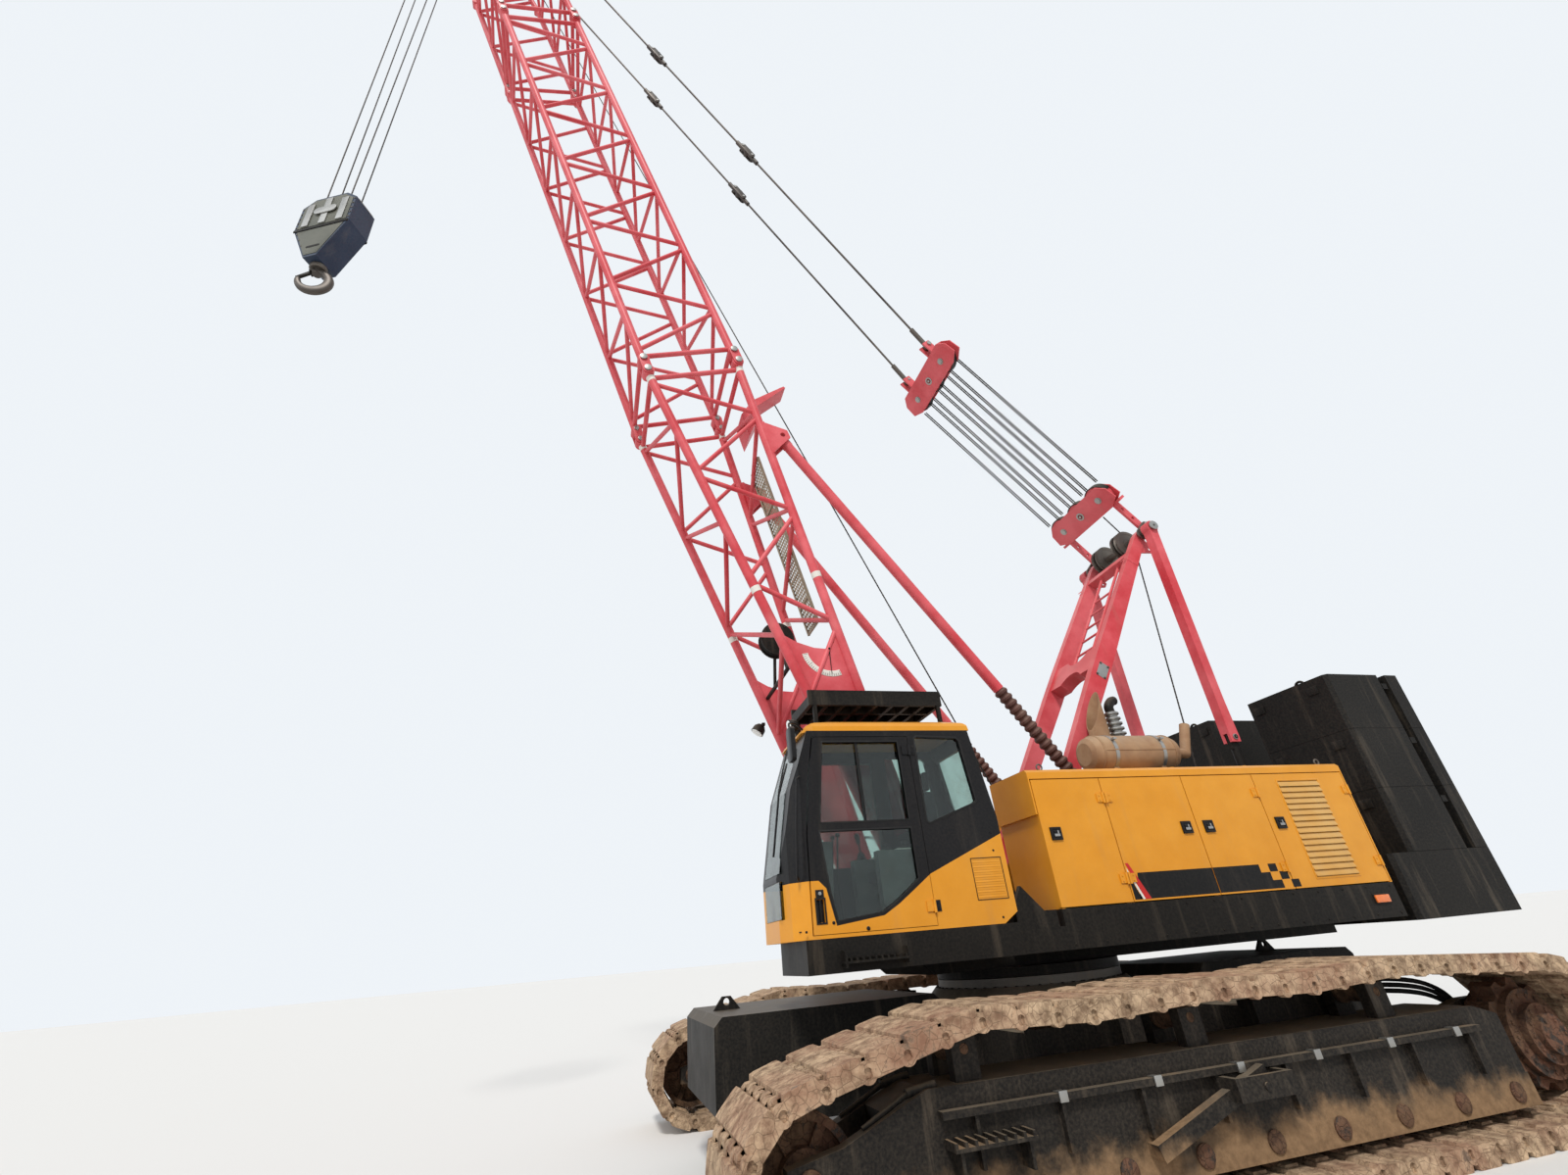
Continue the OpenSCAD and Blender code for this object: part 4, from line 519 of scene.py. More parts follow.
GREY_PLASTIC = Finish(
    "grey_moulding", "woven_grain",
    {
        "Colour": srgb(92, 94, 94), "Worn": srgb(132, 132, 128), "Wear": 0.3, "Weave": 0.0,
        "Low Roughness": 0.4, "High Roughness": 0.6}, bump=0.0006)
WHITE_PLASTIC = Finish(
    "pale_moulding", "woven_grain",
    {
        "Colour": srgb(206, 204, 196), "Worn": srgb(170, 164, 150), "Wear": 0.4, "Weave": 0.0,
        "Low Roughness": 0.35, "High Roughness": 0.55}, bump=0.0005)


CLEAR_LENS = ("clear_lens", srgb(226, 228, 222))


class Library:
    """Every material of the crane, each built once."""

    def __init__(self) -> None:
        """Builds the shared groups."""
        self.groups = {
            "weathered_surface": weathered_group(), "caked_mud": caked_group(), "woven_grain": woven_group()}
        self.made: dict[str, bpy.types.Material] = {}

    def get(self, finish: Finish) -> bpy.types.Material:
        """Returns the material of a finish, built at its first use."""
        if finish.name not in self.made:
            self.made[finish.name] = finish.material(self.groups)
        return self.made[finish.name]

    def glass(self, name: str, colour: RGB) -> bpy.types.Material:
        """Builds tinted glass with a thin film of dust.

        Args:
            name: The material's name.
            colour: The tint.

        Returns:
            The material.
        """
        material, g, place = blank_material(name)
        blotch = g.noise(place, 5.0, 6.0, 0.6)
        film = g.spread(g.step(blotch, 0.4, 0.75), 0.03, 0.15)
        tint = g.mix(g.times(g.step(blotch, 0.45, 0.8), 0.35), colour, srgb(150, 146, 134))
        shader = g.add(
            "ShaderNodeBsdfPrincipled",
            {"Base Color": tint, "Roughness": film, "IOR": 1.46, "Transmission Weight": 1.0})
        g.add("ShaderNodeOutputMaterial", {"Surface": shader.outputs[0]})
        return material

    def lamp(self, name: str, colour: RGB) -> bpy.types.Material:
        """Builds a ribbed coloured lamp lens at its first use and returns its material."""
        if name in self.made:
            return self.made[name]
        material, g, place = blank_material(name)
        ribs = g.add("ShaderNodeTexWave", {"Vector": place, "Scale": 60.0}, bands_direction="X").outputs[0]
        tint = g.mix(g.noise(place, 20.0), colour, tuple(min(1.0, c * 1.35) for c in colour))
        bump = g.add("ShaderNodeBump", {"Height": ribs, "Strength": 0.6, "Distance": 0.002})
        shader = g.add(
            "ShaderNodeBsdfPrincipled", {"Base Color": tint, "Roughness": 0.18, "Normal": bump.outputs[0]})
        shader.inputs["Coat Weight"].default_value = 0.6
        g.add("ShaderNodeOutputMaterial", {"Surface": shader.outputs[0]})
        self.made[name] = material
        return material


# Meshes


@dataclass(frozen=True)
class Member:
    """A straight member's own axes: s along it, d square to it on its upper side, y to the left."""

    x: float
    z: float
    angle: float

    def way(self, s: float, d: float = 0.0, y: float = 0.0) -> Point:
        """Returns a direction on the member in the crane's frame."""
        c, n = math.cos(math.radians(self.angle)), math.sin(math.radians(self.angle))
        return s * c - d * n, y, s * n + d * c

    def at(self, s: float, d: float = 0.0, y: float = 0.0) -> Point:
        """Returns a place on the member in the crane's frame."""
        dx, dy, dz = self.way(s, d, y)
        return self.x + dx, dy, self.z + dz


BOOM = Member(1.29, 1.75, 72.4)
GANTRY_LEG = Member(-0.1, 2.15, 124.04)
LOWER_LINK = Member(-3.28, 6.86, 50.28)
UPPER_LINK = Member(-0.48, 10.23, 50.28)
PENDANT = Member(-0.4456, 10.3184, 58.52)


def ring(centre: Point, axis: Point, radius: float, count: int) -> list[tuple[Point, Point]]:
    """Returns the heads of a bolt circle.

    Args:
        centre: The middle of the circle, on the surface.
        axis: The way the heads look.
        radius: The radius of the circle.
        count: How many heads it has.

    Returns:
        Place and direction of each head.
    """
    turn = Vector(axis).to_track_quat("Z", "Y")
    spokes = [math.tau * k / count for k in range(count)]
    return [
        (tuple(Vector(centre) + turn @ Vector((radius * math.cos(a), radius * math.sin(a), 0))), axis)
        for a in spokes]


def row(start: Point, end: Point, count: int) -> list[Point]:
    """Returns evenly spaced places from start to end."""
    a, b = Vector(start), Vector(end)
    return [tuple(a.lerp(b, k / (count - 1))) for k in range(count)]


def smooth_line(points: Sequence[Point], steps: int = 6) -> list[Point]:
    """Returns a smooth curve through given points."""
    line = [Vector(p) for p in points]
    line = [line[0] * 2 - line[1]] + line + [line[-1] * 2 - line[-2]]
    curve = []
    for a, b, c, d in zip(line, line[1:], line[2:], line[3:]):
        for k in range(steps):
            t = k / steps
            curve.append(
                tuple(
                    0.5
                    * (
                        2 * b + (c - a) * t + (2 * a - 5 * b + 4 * c - d) * t ** 2
                        + (3 * b - a - 3 * c + d) * t ** 3)))
    return curve + [tuple(line[-2])]


def arc(x: float, z: float, radius: float, start: float, end: float, steps: int = 12) -> list[
        tuple[float, float]]:
    """Returns points on an arc between two angles in degrees."""
    turns = [math.radians(start + (end - start) * k / steps) for k in range(steps + 1)]
    return [(x + radius * math.cos(a), z + radius * math.sin(a)) for a in turns]


@dataclass
class Shape:
    """Solids gathered into one mesh, in metres in the crane's frame."""

    mesh: bmesh.types.BMesh = field(default_factory=bmesh.new)

    def box(self, low: Point, high: Point) -> None:
        """Adds a box between two corners."""
        made = bmesh.ops.create_cube(self.mesh, size=1.0)["verts"]
        low_v, high_v = Vector(low), Vector(high)
        middle, size = (low_v + high_v) / 2, high_v - low_v
        for vert in made:
            vert.co = Vector([middle[k] + vert.co[k] * size[k] for k in range(3)])

    def rod(self, start: Point, end: Point, radius: float, sides: int = 16) -> None:
        """Adds a cylinder."""
        a, b = Vector(start), Vector(end)
        turn = (b - a).to_track_quat("Z", "Y").to_matrix().to_4x4()
        bmesh.ops.create_cone(
            self.mesh, cap_ends=True, segments=sides, radius1=radius, radius2=radius, depth=(b - a).length,
            matrix=Matrix.Translation((a + b) / 2) @ turn)

    def ball(self, centre: Point, radius: float, sides: int = 16) -> None:
        """Adds a sphere."""
        bmesh.ops.create_uvsphere(
            self.mesh, u_segments=sides, v_segments=max(6, sides // 2), radius=radius,
            matrix=Matrix.Translation(centre))

    def slab(self, outline: Sequence[Point], offset: Point) -> None:
        """Adds a prism: a closed outline pushed along an offset."""
        base = [self.mesh.verts.new(p) for p in outline]
        far = [self.mesh.verts.new(Vector(p) + Vector(offset)) for p in outline]
        count = len(outline)
        self.mesh.faces.new(base)
        self.mesh.faces.new(far[::-1])
        for k in range(count):
            self.mesh.faces.new([base[k], far[k], far[(k + 1) % count], base[(k + 1) % count]])

    def side_plate(self, outline: Sequence[tuple[float, float]], y0: float, y1: float) -> None:
        """Adds a plate with an XZ outline from y0 to y1."""
        self.slab([(x, y0, z) for x, z in outline], (0.0, y1 - y0, 0.0))

    def tube(self, path: Sequence[Point], radius: float, sides: int = 8) -> None:
        """Adds a round bar along a path with closed ends."""
        points = [Vector(p) for p in path]
        rings = []
        side = Vector((0, 0, 1))
        for k, point in enumerate(points):
            ahead = points[min(k + 1, len(points) - 1)] - points[max(k - 1, 0)]
            ahead.normalize()
            if abs(ahead.dot(side)) > 0.95:
                side = Vector((0, 1, 0)) if abs(ahead.y) < 0.9 else Vector((1, 0, 0))
            side = (side - ahead * side.dot(ahead)).normalized()
            other = ahead.cross(side)
            rings.append([
                point
                + radius * (math.cos(math.tau * n / sides) * side + math.sin(math.tau * n / sides) * other)
                for n in range(sides)])
        self.loft(rings)

    def loft(self, rings: Sequence[Sequence[Point | Vector]]) -> None:
        """Joins rings of points into one closed solid."""
        loops = [[self.mesh.verts.new(p) for p in points] for points in rings]
        sides = len(loops[0])
        for one, two in zip(loops, loops[1:]):
            for n in range(sides):
                m = (n + 1) % sides
                self.mesh.faces.new([one[n], one[m], two[m], two[n]])
        self.mesh.faces.new(loops[0][::-1])
        self.mesh.faces.new(loops[-1])

    def lathe(
            self, profile: Sequence[tuple[float, float]], centre: Point, axis: Point,
            sides: int = 24) -> None:
        """Adds a turned solid.

        Args:
            profile: Closed outline as radius and height along the axis.
            centre: Where height 0 is.
            axis: The turning axis.
            sides: Steps round the axis.
        """
        turn = Vector(axis).to_track_quat("Z", "Y").to_matrix().to_4x4()
        place = Matrix.Translation(centre) @ turn
        rings = []
        for n in range(sides):
            c, s = math.cos(math.tau * n / sides), math.sin(math.tau * n / sides)
            rings.append([self.mesh.verts.new(place @ Vector((r * c, r * s, h))) for r, h in profile])
        count = len(profile)
        for n in range(sides):
            one, two = rings[n], rings[(n + 1) % sides]
            for k in range(count):
                j = (k + 1) % count
                if profile[k][0] < 1e-7 and profile[j][0] < 1e-7:
                    continue
                self.mesh.faces.new([one[k], two[k], two[j], one[j]])

    def rim(self, outline: Sequence[tuple[float, float]], width: float, y0: float, y1: float) -> None:
        """Adds a flat frame along an XZ outline.

        Args:
            outline: Its corners in order.
            width: How far the frame reaches inwards, or outwards where it is negative.
            y0: Its one face.
            y1: Its other face.
        """
        points = [Vector(p) for p in outline]
        count = len(points)
        area = sum(a.x * b.y - b.x * a.y for a, b in zip(points, points[1:] + points[:1]))
        inner = []
        for k, point in enumerate(points):
            before = (point - points[k - 1]).normalized()
            after = (points[(k + 1) % count] - point).normalized()
            square = Vector((-after.y, after.x))
            normal = (Vector((-before.y, before.x)) + square).normalized()
            inner.append(point + normal * (math.copysign(width, area * width) / max(0.3, normal.dot(square))))
        self.frame(points, inner, y0, y1)

    def frame(self, outer: Sequence[Vector], inner: Sequence[Vector], y0: float, y1: float) -> None:
        """Adds a plate between two XZ outlines with the same number of points."""
        count = len(outer)
        rings = [
            [self.mesh.verts.new((p.x, y, p.y)) for p in line] for line in (outer, inner) for y in (y0, y1)]
        for one, two in (
                (rings[0], rings[1]), (rings[1], rings[3]), (rings[3], rings[2]), (rings[2], rings[0])):
            for k in range(count):
                j = (k + 1) % count
                self.mesh.faces.new([one[k], one[j], two[j], two[k]])

    def hoop(self, centre: Point, axis: Point, radius: float, wire: float, sides: int = 20) -> None:
        """Adds a closed ring of round bar."""
        self.lathe([
            (radius + wire * math.cos(math.tau * k / 8), wire * math.sin(math.tau * k / 8))
            for k in range(8)], centre, axis, sides)

    def band(self, start: Point, end: Point, inner: float, outer: float, sides: int = 24) -> None:
        """Adds a sleeve round the line from start to end."""
        length = (Vector(end) - Vector(start)).length
        self.lathe(
            [(inner, 0.0), (outer, 0.0), (outer, length), (inner, length)], start,
            tuple(Vector(end) - Vector(start)), sides)

    def both_sides(self) -> "Shape":
        """Adds the mirror image across the centre plane."""
        parts = self.mesh.verts[:] + self.mesh.edges[:] + self.mesh.faces[:]
        for part in bmesh.ops.duplicate(self.mesh, geom=parts)["geom"]:
            if isinstance(part, bmesh.types.BMVert):
                part.co.y = -part.co.y
        return self

    def moved(self, matrix: Matrix) -> "Shape":
        """Moves everything that was drawn so far."""
        bmesh.ops.transform(self.mesh, matrix=matrix, verts=self.mesh.verts)
        return self

    def set_on(self, member: Member) -> "Shape":
        """Turns everything drawn level, as s, y and d, onto a member."""
        turn = Matrix.Rotation(-math.radians(member.angle), 4, "Y")
        return self.moved(Matrix.Translation((member.x, 0, member.z)) @ turn)

    def link(self, s0: float, s1: float, d: float, half: float, y0: float, y1: float) -> None:
        """Adds a plate with round ends from s0 to s1."""
        turns = [math.radians(-90 + 22.5 * k) for k in range(9)]
        ends = [(s1 + half * math.cos(a), d + half * math.sin(a)) for a in turns]
        ends += [(s0 - half * math.cos(a), d - half * math.sin(a)) for a in turns]
        self.side_plate(ends, y0, y1)

    def bolt(self, head: Point, axis: Point, size: float) -> None:
        """Adds a hexagon head that stands on a surface at head."""
        a, n = Vector(head), Vector(axis).normalized()
        self.rod(a - n * size * 0.2, a + n * size * 0.65, size, 6)
        self.rod(a - n * size * 0.2, a + n * size * 0.12, size * 1.35, 12)

    def obj(
            self, name: str, material: bpy.types.Material, bevel: float = 0.0,
            smooth: float = SHARP_FROM) -> bpy.types.Object:
        """Turns the solids into an object at the origin.

        Args:
            name: The object's name.
            material: Its material.
            bevel: The width of its rounded edges.
            smooth: The angle in degrees up to which faces shade as one.

        Returns:
            The object.
        """
        bmesh.ops.remove_doubles(self.mesh, verts=self.mesh.verts, dist=1e-6)
        bmesh.ops.recalc_face_normals(self.mesh, faces=self.mesh.faces)
        data = bpy.data.meshes.new(name)
        self.mesh.to_mesh(data)
        self.mesh.free()
        made = linked(name, data)
        data.materials.append(material)
        if bevel > 0:
            edge = made.modifiers.new("edges", "BEVEL")
            edge.width, edge.segments, edge.limit_method, edge.angle_limit = bevel, 2, "ANGLE", BEVEL_FROM
            plain(made)
        shade(made)
        made.data.set_sharp_from_angle(angle=math.radians(smooth))
        return made


def linked(name: str, data: bpy.types.ID) -> bpy.types.Object:
    """Makes an object and puts it in the scene."""
    made = bpy.data.objects.new(name, data)
    bpy.context.scene.collection.objects.link(made)
    return made


def shade(made: bpy.types.Object) -> None:
    """Shades all of an object's faces smooth."""
    made.data.polygons.foreach_set("use_smooth", [True] * len(made.data.polygons))


def plain(made: bpy.types.Object) -> bpy.types.Object:
    """Bakes an object's modifiers into its mesh and removes them."""
    graph = bpy.context.evaluated_depsgraph_get()
    graph.update()
    data = bpy.data.meshes.new_from_object(made.evaluated_get(graph), depsgraph=graph)
    data.name = made.name
    made.modifiers.clear()
    made.data = data
    return made


def dress(made: bpy.types.Object, body: str, slot: Slot, *replaced: str) -> bpy.types.Object:
    """Makes a piece ride on a body and hides the nodes that it stands for."""
    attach(made, body)
    if replaced:
        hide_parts(*replaced)
    log.info("%s rides on %s", made.name, body)
    return made


@dataclass
class Place:
    """Where one copy of a repeated shape stands, and how it is turned."""

    at: Point
    turn: tuple[float, float, float] = (0.0, 0.0, 0.0)


def facing(normal: Point, up: Point = (0, 0, 1)) -> tuple[float, float, float]:
    """Returns the turn that takes a shape's +Z to a normal and its +Y to an up direction."""
    z = Vector(normal).normalized()
    y = Vector(up) - z * Vector(up).dot(z)
    if y.length < 1e-6:
        y = Vector((1, 0, 0)) - z * z.x
    y.normalize()
    x = y.cross(z)
    euler = Matrix((x, y, z)).transposed().to_euler()
    return euler.x, euler.y, euler.z


class MeshTree:
    """A geometry node tree with named inputs."""

    def __init__(self, name: str, mesh: str, inputs: Sequence[tuple[str, str]]) -> None:
        """Builds the empty tree.

        Args:
            name: The tree's name.
            mesh: The name of its mesh input.
            inputs: Name and kind of each other input.
        """
        tree = bpy.data.node_groups.new(name, "GeometryNodeTree")
        face = tree.interface
        face.new_socket(mesh, in_out="INPUT", socket_type="NodeSocketGeometry")
        self.ids = {
            label: face.new_socket(label, in_out="INPUT", socket_type="NodeSocket" + kind).identifier
            for label, kind in inputs}
        face.new_socket("Solid", in_out="OUTPUT", socket_type="NodeSocketGeometry")
        self.g = Graph(tree)
        self.source, self.sink = self.g.add("NodeGroupInput").outputs, self.g.add("NodeGroupOutput")

    def close(self, mesh: bpy.types.NodeSocket) -> None:
        """Makes the result solid, gives it its finish and wires it to the output."""
        solid = self.g.add("GeometryNodeRealizeInstances", {0: mesh})
        skin = self.g.add(
            "GeometryNodeSetMaterial", {"Geometry": solid.outputs[0], "Material": self.source["Finish"]})
        self.g.tree.links.new(skin.outputs[0], self.sink.inputs[0])

    def apply(self, made: bpy.types.Object, values: dict[str, object]) -> None:
        """Runs the tree on an object, with its inputs by name, and keeps the plain mesh."""
        step = made.modifiers.new("tree", "NODES")
        step.node_group = self.g.tree
        for label, value in values.items():
            step[self.ids[label]] = value
        plain(made)


class RepeatTree(MeshTree):
    """Geometry nodes that set a shape at every vertex of a layout."""

    def __init__(self) -> None:
        """Builds the tree."""
        super().__init__(
            "repeat_shape", "Layout", (("Shape", "Object"), ("Finish", "Material"), ("Size", "Float")))
        add, source = self.g.add, self.source
        shape = add("GeometryNodeObjectInfo", {"Object": source["Shape"]}).outputs["Geometry"]
        turn = add("GeometryNodeInputNamedAttribute", {"Name": "turn"}, data_type="FLOAT_VECTOR")
        put = add(
            "GeometryNodeInstanceOnPoints",
            {
                "Points": source["Layout"], "Instance": shape, "Rotation": turn.outputs["Attribute"],
                "Scale": source["Size"]})
        self.close(put.outputs[0])

    def run(
            self, name: str, shape: Shape, places: Sequence[Place],
            material: bpy.types.Material) -> bpy.types.Object:
        """Copies a shape to every place.

        Args:
            name: The new object's name.
            shape: One copy, drawn round the origin with +Z outwards.
            places: Where the copies go.
            material: Their material.

        Returns:
            One plain mesh object with every copy in it.
        """
        single = shape.obj(name + "_one", material)
        data = bpy.data.meshes.new(name)
        data.from_pydata([p.at for p in places], [], [])
        turns = data.attributes.new("turn", "FLOAT_VECTOR", "POINT")
        turns.data.foreach_set("vector", [v for p in places for v in p.turn])
        made = linked(name, data)
        self.apply(made, {"Shape": single, "Finish": material, "Size": 1.0})
        bpy.data.objects.remove(single)
        made.data.set_sharp_from_angle(angle=math.radians(SHARP_FROM))
        return made


class RopeTree(MeshTree):
    """Geometry nodes that lay a stranded rope along a path."""

    valley = 0.82

    def __init__(self) -> None:
        """Builds the tree."""
        super().__init__(
            "stranded_rope", "Path",
            (
                ("Radius", "Float"), ("Lay", "Float"), ("Step", "Float"), ("Strands", "Int"),
                ("Finish", "Material")))
        g, source = self.g, self.source
        line = g.add("GeometryNodeMeshToCurve", {"Mesh": source["Path"]}).outputs[0]
        even = g.add("GeometryNodeResampleCurve", {"Curve": line, "Length": source["Step"]}, mode="LENGTH")
        along = g.add("GeometryNodeSplineParameter").outputs["Length"]
        angle = g.times(g.math("DIVIDE", along, source["Lay"]), math.tau)
        tilt = g.add("GeometryNodeSetCurveTilt", {"Curve": even.outputs[0], "Tilt": angle})
        star = g.add(
            "GeometryNodeCurveStar",
            {
                "Points": source["Strands"], "Outer Radius": source["Radius"],
                "Inner Radius": g.times(source["Radius"], self.valley)})
        sweep = g.add(
            "GeometryNodeCurveToMesh",
            {"Curve": tilt.outputs[0], "Profile Curve": star.outputs["Curve"], "Fill Caps": True})
        self.close(sweep.outputs[0])

    def run(
            self, name: str, paths: Sequence[Sequence[Point]], radius: float,
            material: bpy.types.Material) -> bpy.types.Object:
        """Lays a rope of six strands along each path.

        Args:
            name: The new object's name.
            paths: The points of each rope.
            radius: The rope's outer radius.
            material: Its material.

        Returns:
            One plain mesh object with every rope in it.
        """
        verts: list[Point] = []
        edges: list[tuple[int, int]] = []
        for path in paths:
            edges += [(len(verts) + k, len(verts) + k + 1) for k in range(len(path) - 1)]
            verts += [tuple(p) for p in path]
        data = bpy.data.meshes.new(name)
        data.from_pydata(verts, edges, [])
        made = linked(name, data)
        self.apply(made, {"Radius": radius, "Lay": 0.16, "Step": 0.04, "Strands": 6, "Finish": material})
        shade(made)
        return made


@dataclass
class Workshop:
    """What every sub-assembly works with."""

    library: Library = field(default_factory=Library)
    repeat: RepeatTree = field(default_factory=RepeatTree)
    ropes: RopeTree = field(default_factory=RopeTree)

    def coat(self, finish: Finish, *nodes: str) -> None:
        """Gives CAD nodes a finish."""
        for name in nodes:
            self.skin(self.library.get(finish), name)

    def skin(self, material: bpy.types.Material, name: str) -> None:
        """Gives one CAD node a material."""
        node = NODES[name]
        node.data.materials.clear()
        node.data.materials.append(material)

    def make(
            self, name: str, shape: Shape, finish: Finish | bpy.types.Material, body: str, slot: Slot,
            *replaced: str, bevel: float = 0.0, smooth: float = 35.0) -> bpy.types.Object:
        """Builds a piece from a shape and makes it ride on a body."""
        material = self.library.get(finish) if isinstance(finish, Finish) else finish
        return dress(shape.obj(name, material, bevel, smooth), body, slot, *replaced)

    def spread(
            self, name: str, shape: Shape, places: Sequence[Place], finish: Finish, body: str,
            slot: Slot) -> bpy.types.Object:
        """Sets copies of a shape at places on one body."""
        return dress(self.repeat.run(name, shape, places, self.library.get(finish)), body, slot)

    def lay(
            self, name: str, paths: Sequence[Sequence[Point]], radius: float, body: str | None,
            *replaced: str) -> bpy.types.Object:
        """Lays stranded ropes, on one body unless none is given."""
        rope = self.ropes.run(name, paths, radius, self.library.get(ROPE_STEEL))
        if body:
            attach(rope, body)
        if replaced:
            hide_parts(*replaced)
        return rope

    def bolts(
            self, name: str, size: float, heads: Sequence[tuple[Point, Point]], body: str,
            finish: Finish = BARE_STEEL, slot: Slot = Slot.STEEL) -> bpy.types.Object:
        """Sets hexagon heads on surfaces.

        Args:
            name: The piece's name.
            size: The radius of a head.
            heads: Place and direction of each head.
            body: The body that they ride on.
            finish: Their finish.
            slot: Their material slot, which is not used.

        Returns:
            The piece.
        """
        head = Shape()
        head.bolt((0, 0, 0), (0, 0, 1), size)
        places = [Place(at, facing(way)) for at, way in heads]
        return self.spread(name, head, places, finish, body, slot)


# Sub-assemblies


@dataclass
class Tracks:
    """The two crawler tracks, as shoes hinged round the idler, the rollers and the sprocket."""

    shop: Workshop
    overall: float = 5.76
    shoe_w: float = 0.93
    pitch: float = 0.268
    pin_h: float = 0.1
    idler_x: float = 3.27
    idler_r: float = 0.4
    sprocket_x: float = 2.95
    sprocket_r: float = 0.47
    upper_h: float = 1.16
    sag: float = 0.038

    def pin_line(self) -> list[tuple[float, float]]:
        """Returns the corners of the line that the pins follow, as in the solids."""
        steps = 8
        idler_z = self.pin_h + self.idler_r
        sprocket_z = self.pin_h + self.sprocket_r + 0.02
        line = []
        for i in range(steps + 1):
            a = math.radians(-90 + 164 * i / steps)
            line.append((self.idler_x + self.idler_r * math.cos(a), idler_z + self.idler_r * math.sin(a)))
        carriers = (2.18, 0.4, -1.38)
        for i, x in enumerate(carriers):
            line.append((x, self.upper_h))
            if i < 2:
                line.append(((x + carriers[i + 1]) / 2, self.upper_h - self.sag))
        for i in range(steps + 1):
            a = math.radians(96 + 168 * i / steps)
            line.append((
                -self.sprocket_x + self.sprocket_r * math.cos(a), sprocket_z + self.sprocket_r * math.sin(a)))
        line.append((-2.42, self.pin_h))
        return line

    def pins(self) -> list[Vector]:
        """Returns every pin as X and Z, one pitch apart."""
        line = [Vector(p) for p in self.pin_line()]
        closed = line + [line[0]]
        marks = [0.0]
        for a, b in zip(closed, closed[1:]):
            marks.append(marks[-1] + (b - a).length)
        count = round(marks[-1] / self.pitch)
        pins = []
        for i in range(count):
            t = i * marks[-1] / count
            k = max(j for j in range(len(line)) if marks[j] <= t)
            pins.append(closed[k] + (closed[k + 1] - closed[k]) * (t - marks[k]) / (marks[k + 1] - marks[k]))
        return pins

    def shoe(self, length: float) -> Shape:
        """Draws one cast shoe round its middle: +X along the track, +Z outwards, Y across."""
        half, out = self.shoe_w / 2, self.pin_h
        shape = Shape()
        reach = length / 2
        shape.side_plate([
            (-reach + 0.014, out - 0.052), (-reach + 0.03, out - 0.004), (-reach + 0.06, out),
            (reach - 0.06, out), (reach - 0.03, out - 0.004), (reach - 0.014, out - 0.052),
            (reach - 0.05, -0.03), (-reach + 0.05, -0.03)], -half + 0.004, half - 0.004)
        for s in (-1, 1):
            shape.side_plate([
                (-reach + 0.02, -0.028), (reach - 0.02, -0.028), (reach - 0.02, 0.03), (-reach + 0.02, 0.03)],
                s * half - s * 0.03 - 0.028, s * half - s * 0.03 + 0.028)
            y = s * (half - 0.028)
            shape.lathe(
                [(0.03, -0.028), (0.056, -0.028), (0.056, 0.028), (0.03, 0.028)], (reach, y, 0.01), (0, 1, 0),
                18)
            shape.rod(
                (reach, s * (half - 0.032) - 0.012, 0.01), (reach, s * (half - 0.032) + 0.012, 0.01), 0.031,
                14)
        width = (2 * half - 0.14) / 8
        for k in range(8):
            y0 = -half + 0.07 + k * width
            end = reach if k % 2 else -reach
            shape.lathe(
                [(0.0, 0.004), (0.052, 0.004), (0.052, width - 0.012), (0.0, width - 0.012)],
                (end, y0, 0.034), (0, 1, 0), 10)
            shape.box(
                (min(end * 0.7, end), y0 + 0.004, 0.0), (max(end * 0.7, end), y0 + width - 0.012, 0.078))
        for s in (-1, 1):
            shape.box((-0.055, s * 0.125 - 0.045, -0.045), (0.055, s * 0.125 + 0.045, 0.0))
        return shape

    def build(self) -> None:
        """Lays the shoes of both tracks."""
        material = self.shop.library.get(TRACK_MUD)
        pins = self.pins()
        count = len(pins)
        length = (pins[1] - pins[0]).length
        for side, name, node in ((1, "shoes_left", "track_left"), (-1, "shoes_right", "track_right")):
            y = side * (self.overall - self.shoe_w) / 2
            places = []
            for i in range(count):
                a, b = pins[i], pins[(i + 1) % count]
                along = (b - a).normalized()
                middle = (a + b) / 2
                outward = Vector((along.y, -along.x))
                x_axis = Vector((along.x, 0, along.y))
                z_axis = Vector((outward.x, 0, outward.y))
                turn = Matrix((x_axis, z_axis.cross(x_axis), z_axis)).transposed().to_euler()
                places.append(Place((middle.x, y, middle.y), (turn.x, turn.y, turn.z)))
            made = self.shop.repeat.run(name, self.shoe(length), places, material)
            dress(made, "root", Slot.TRACK, node)


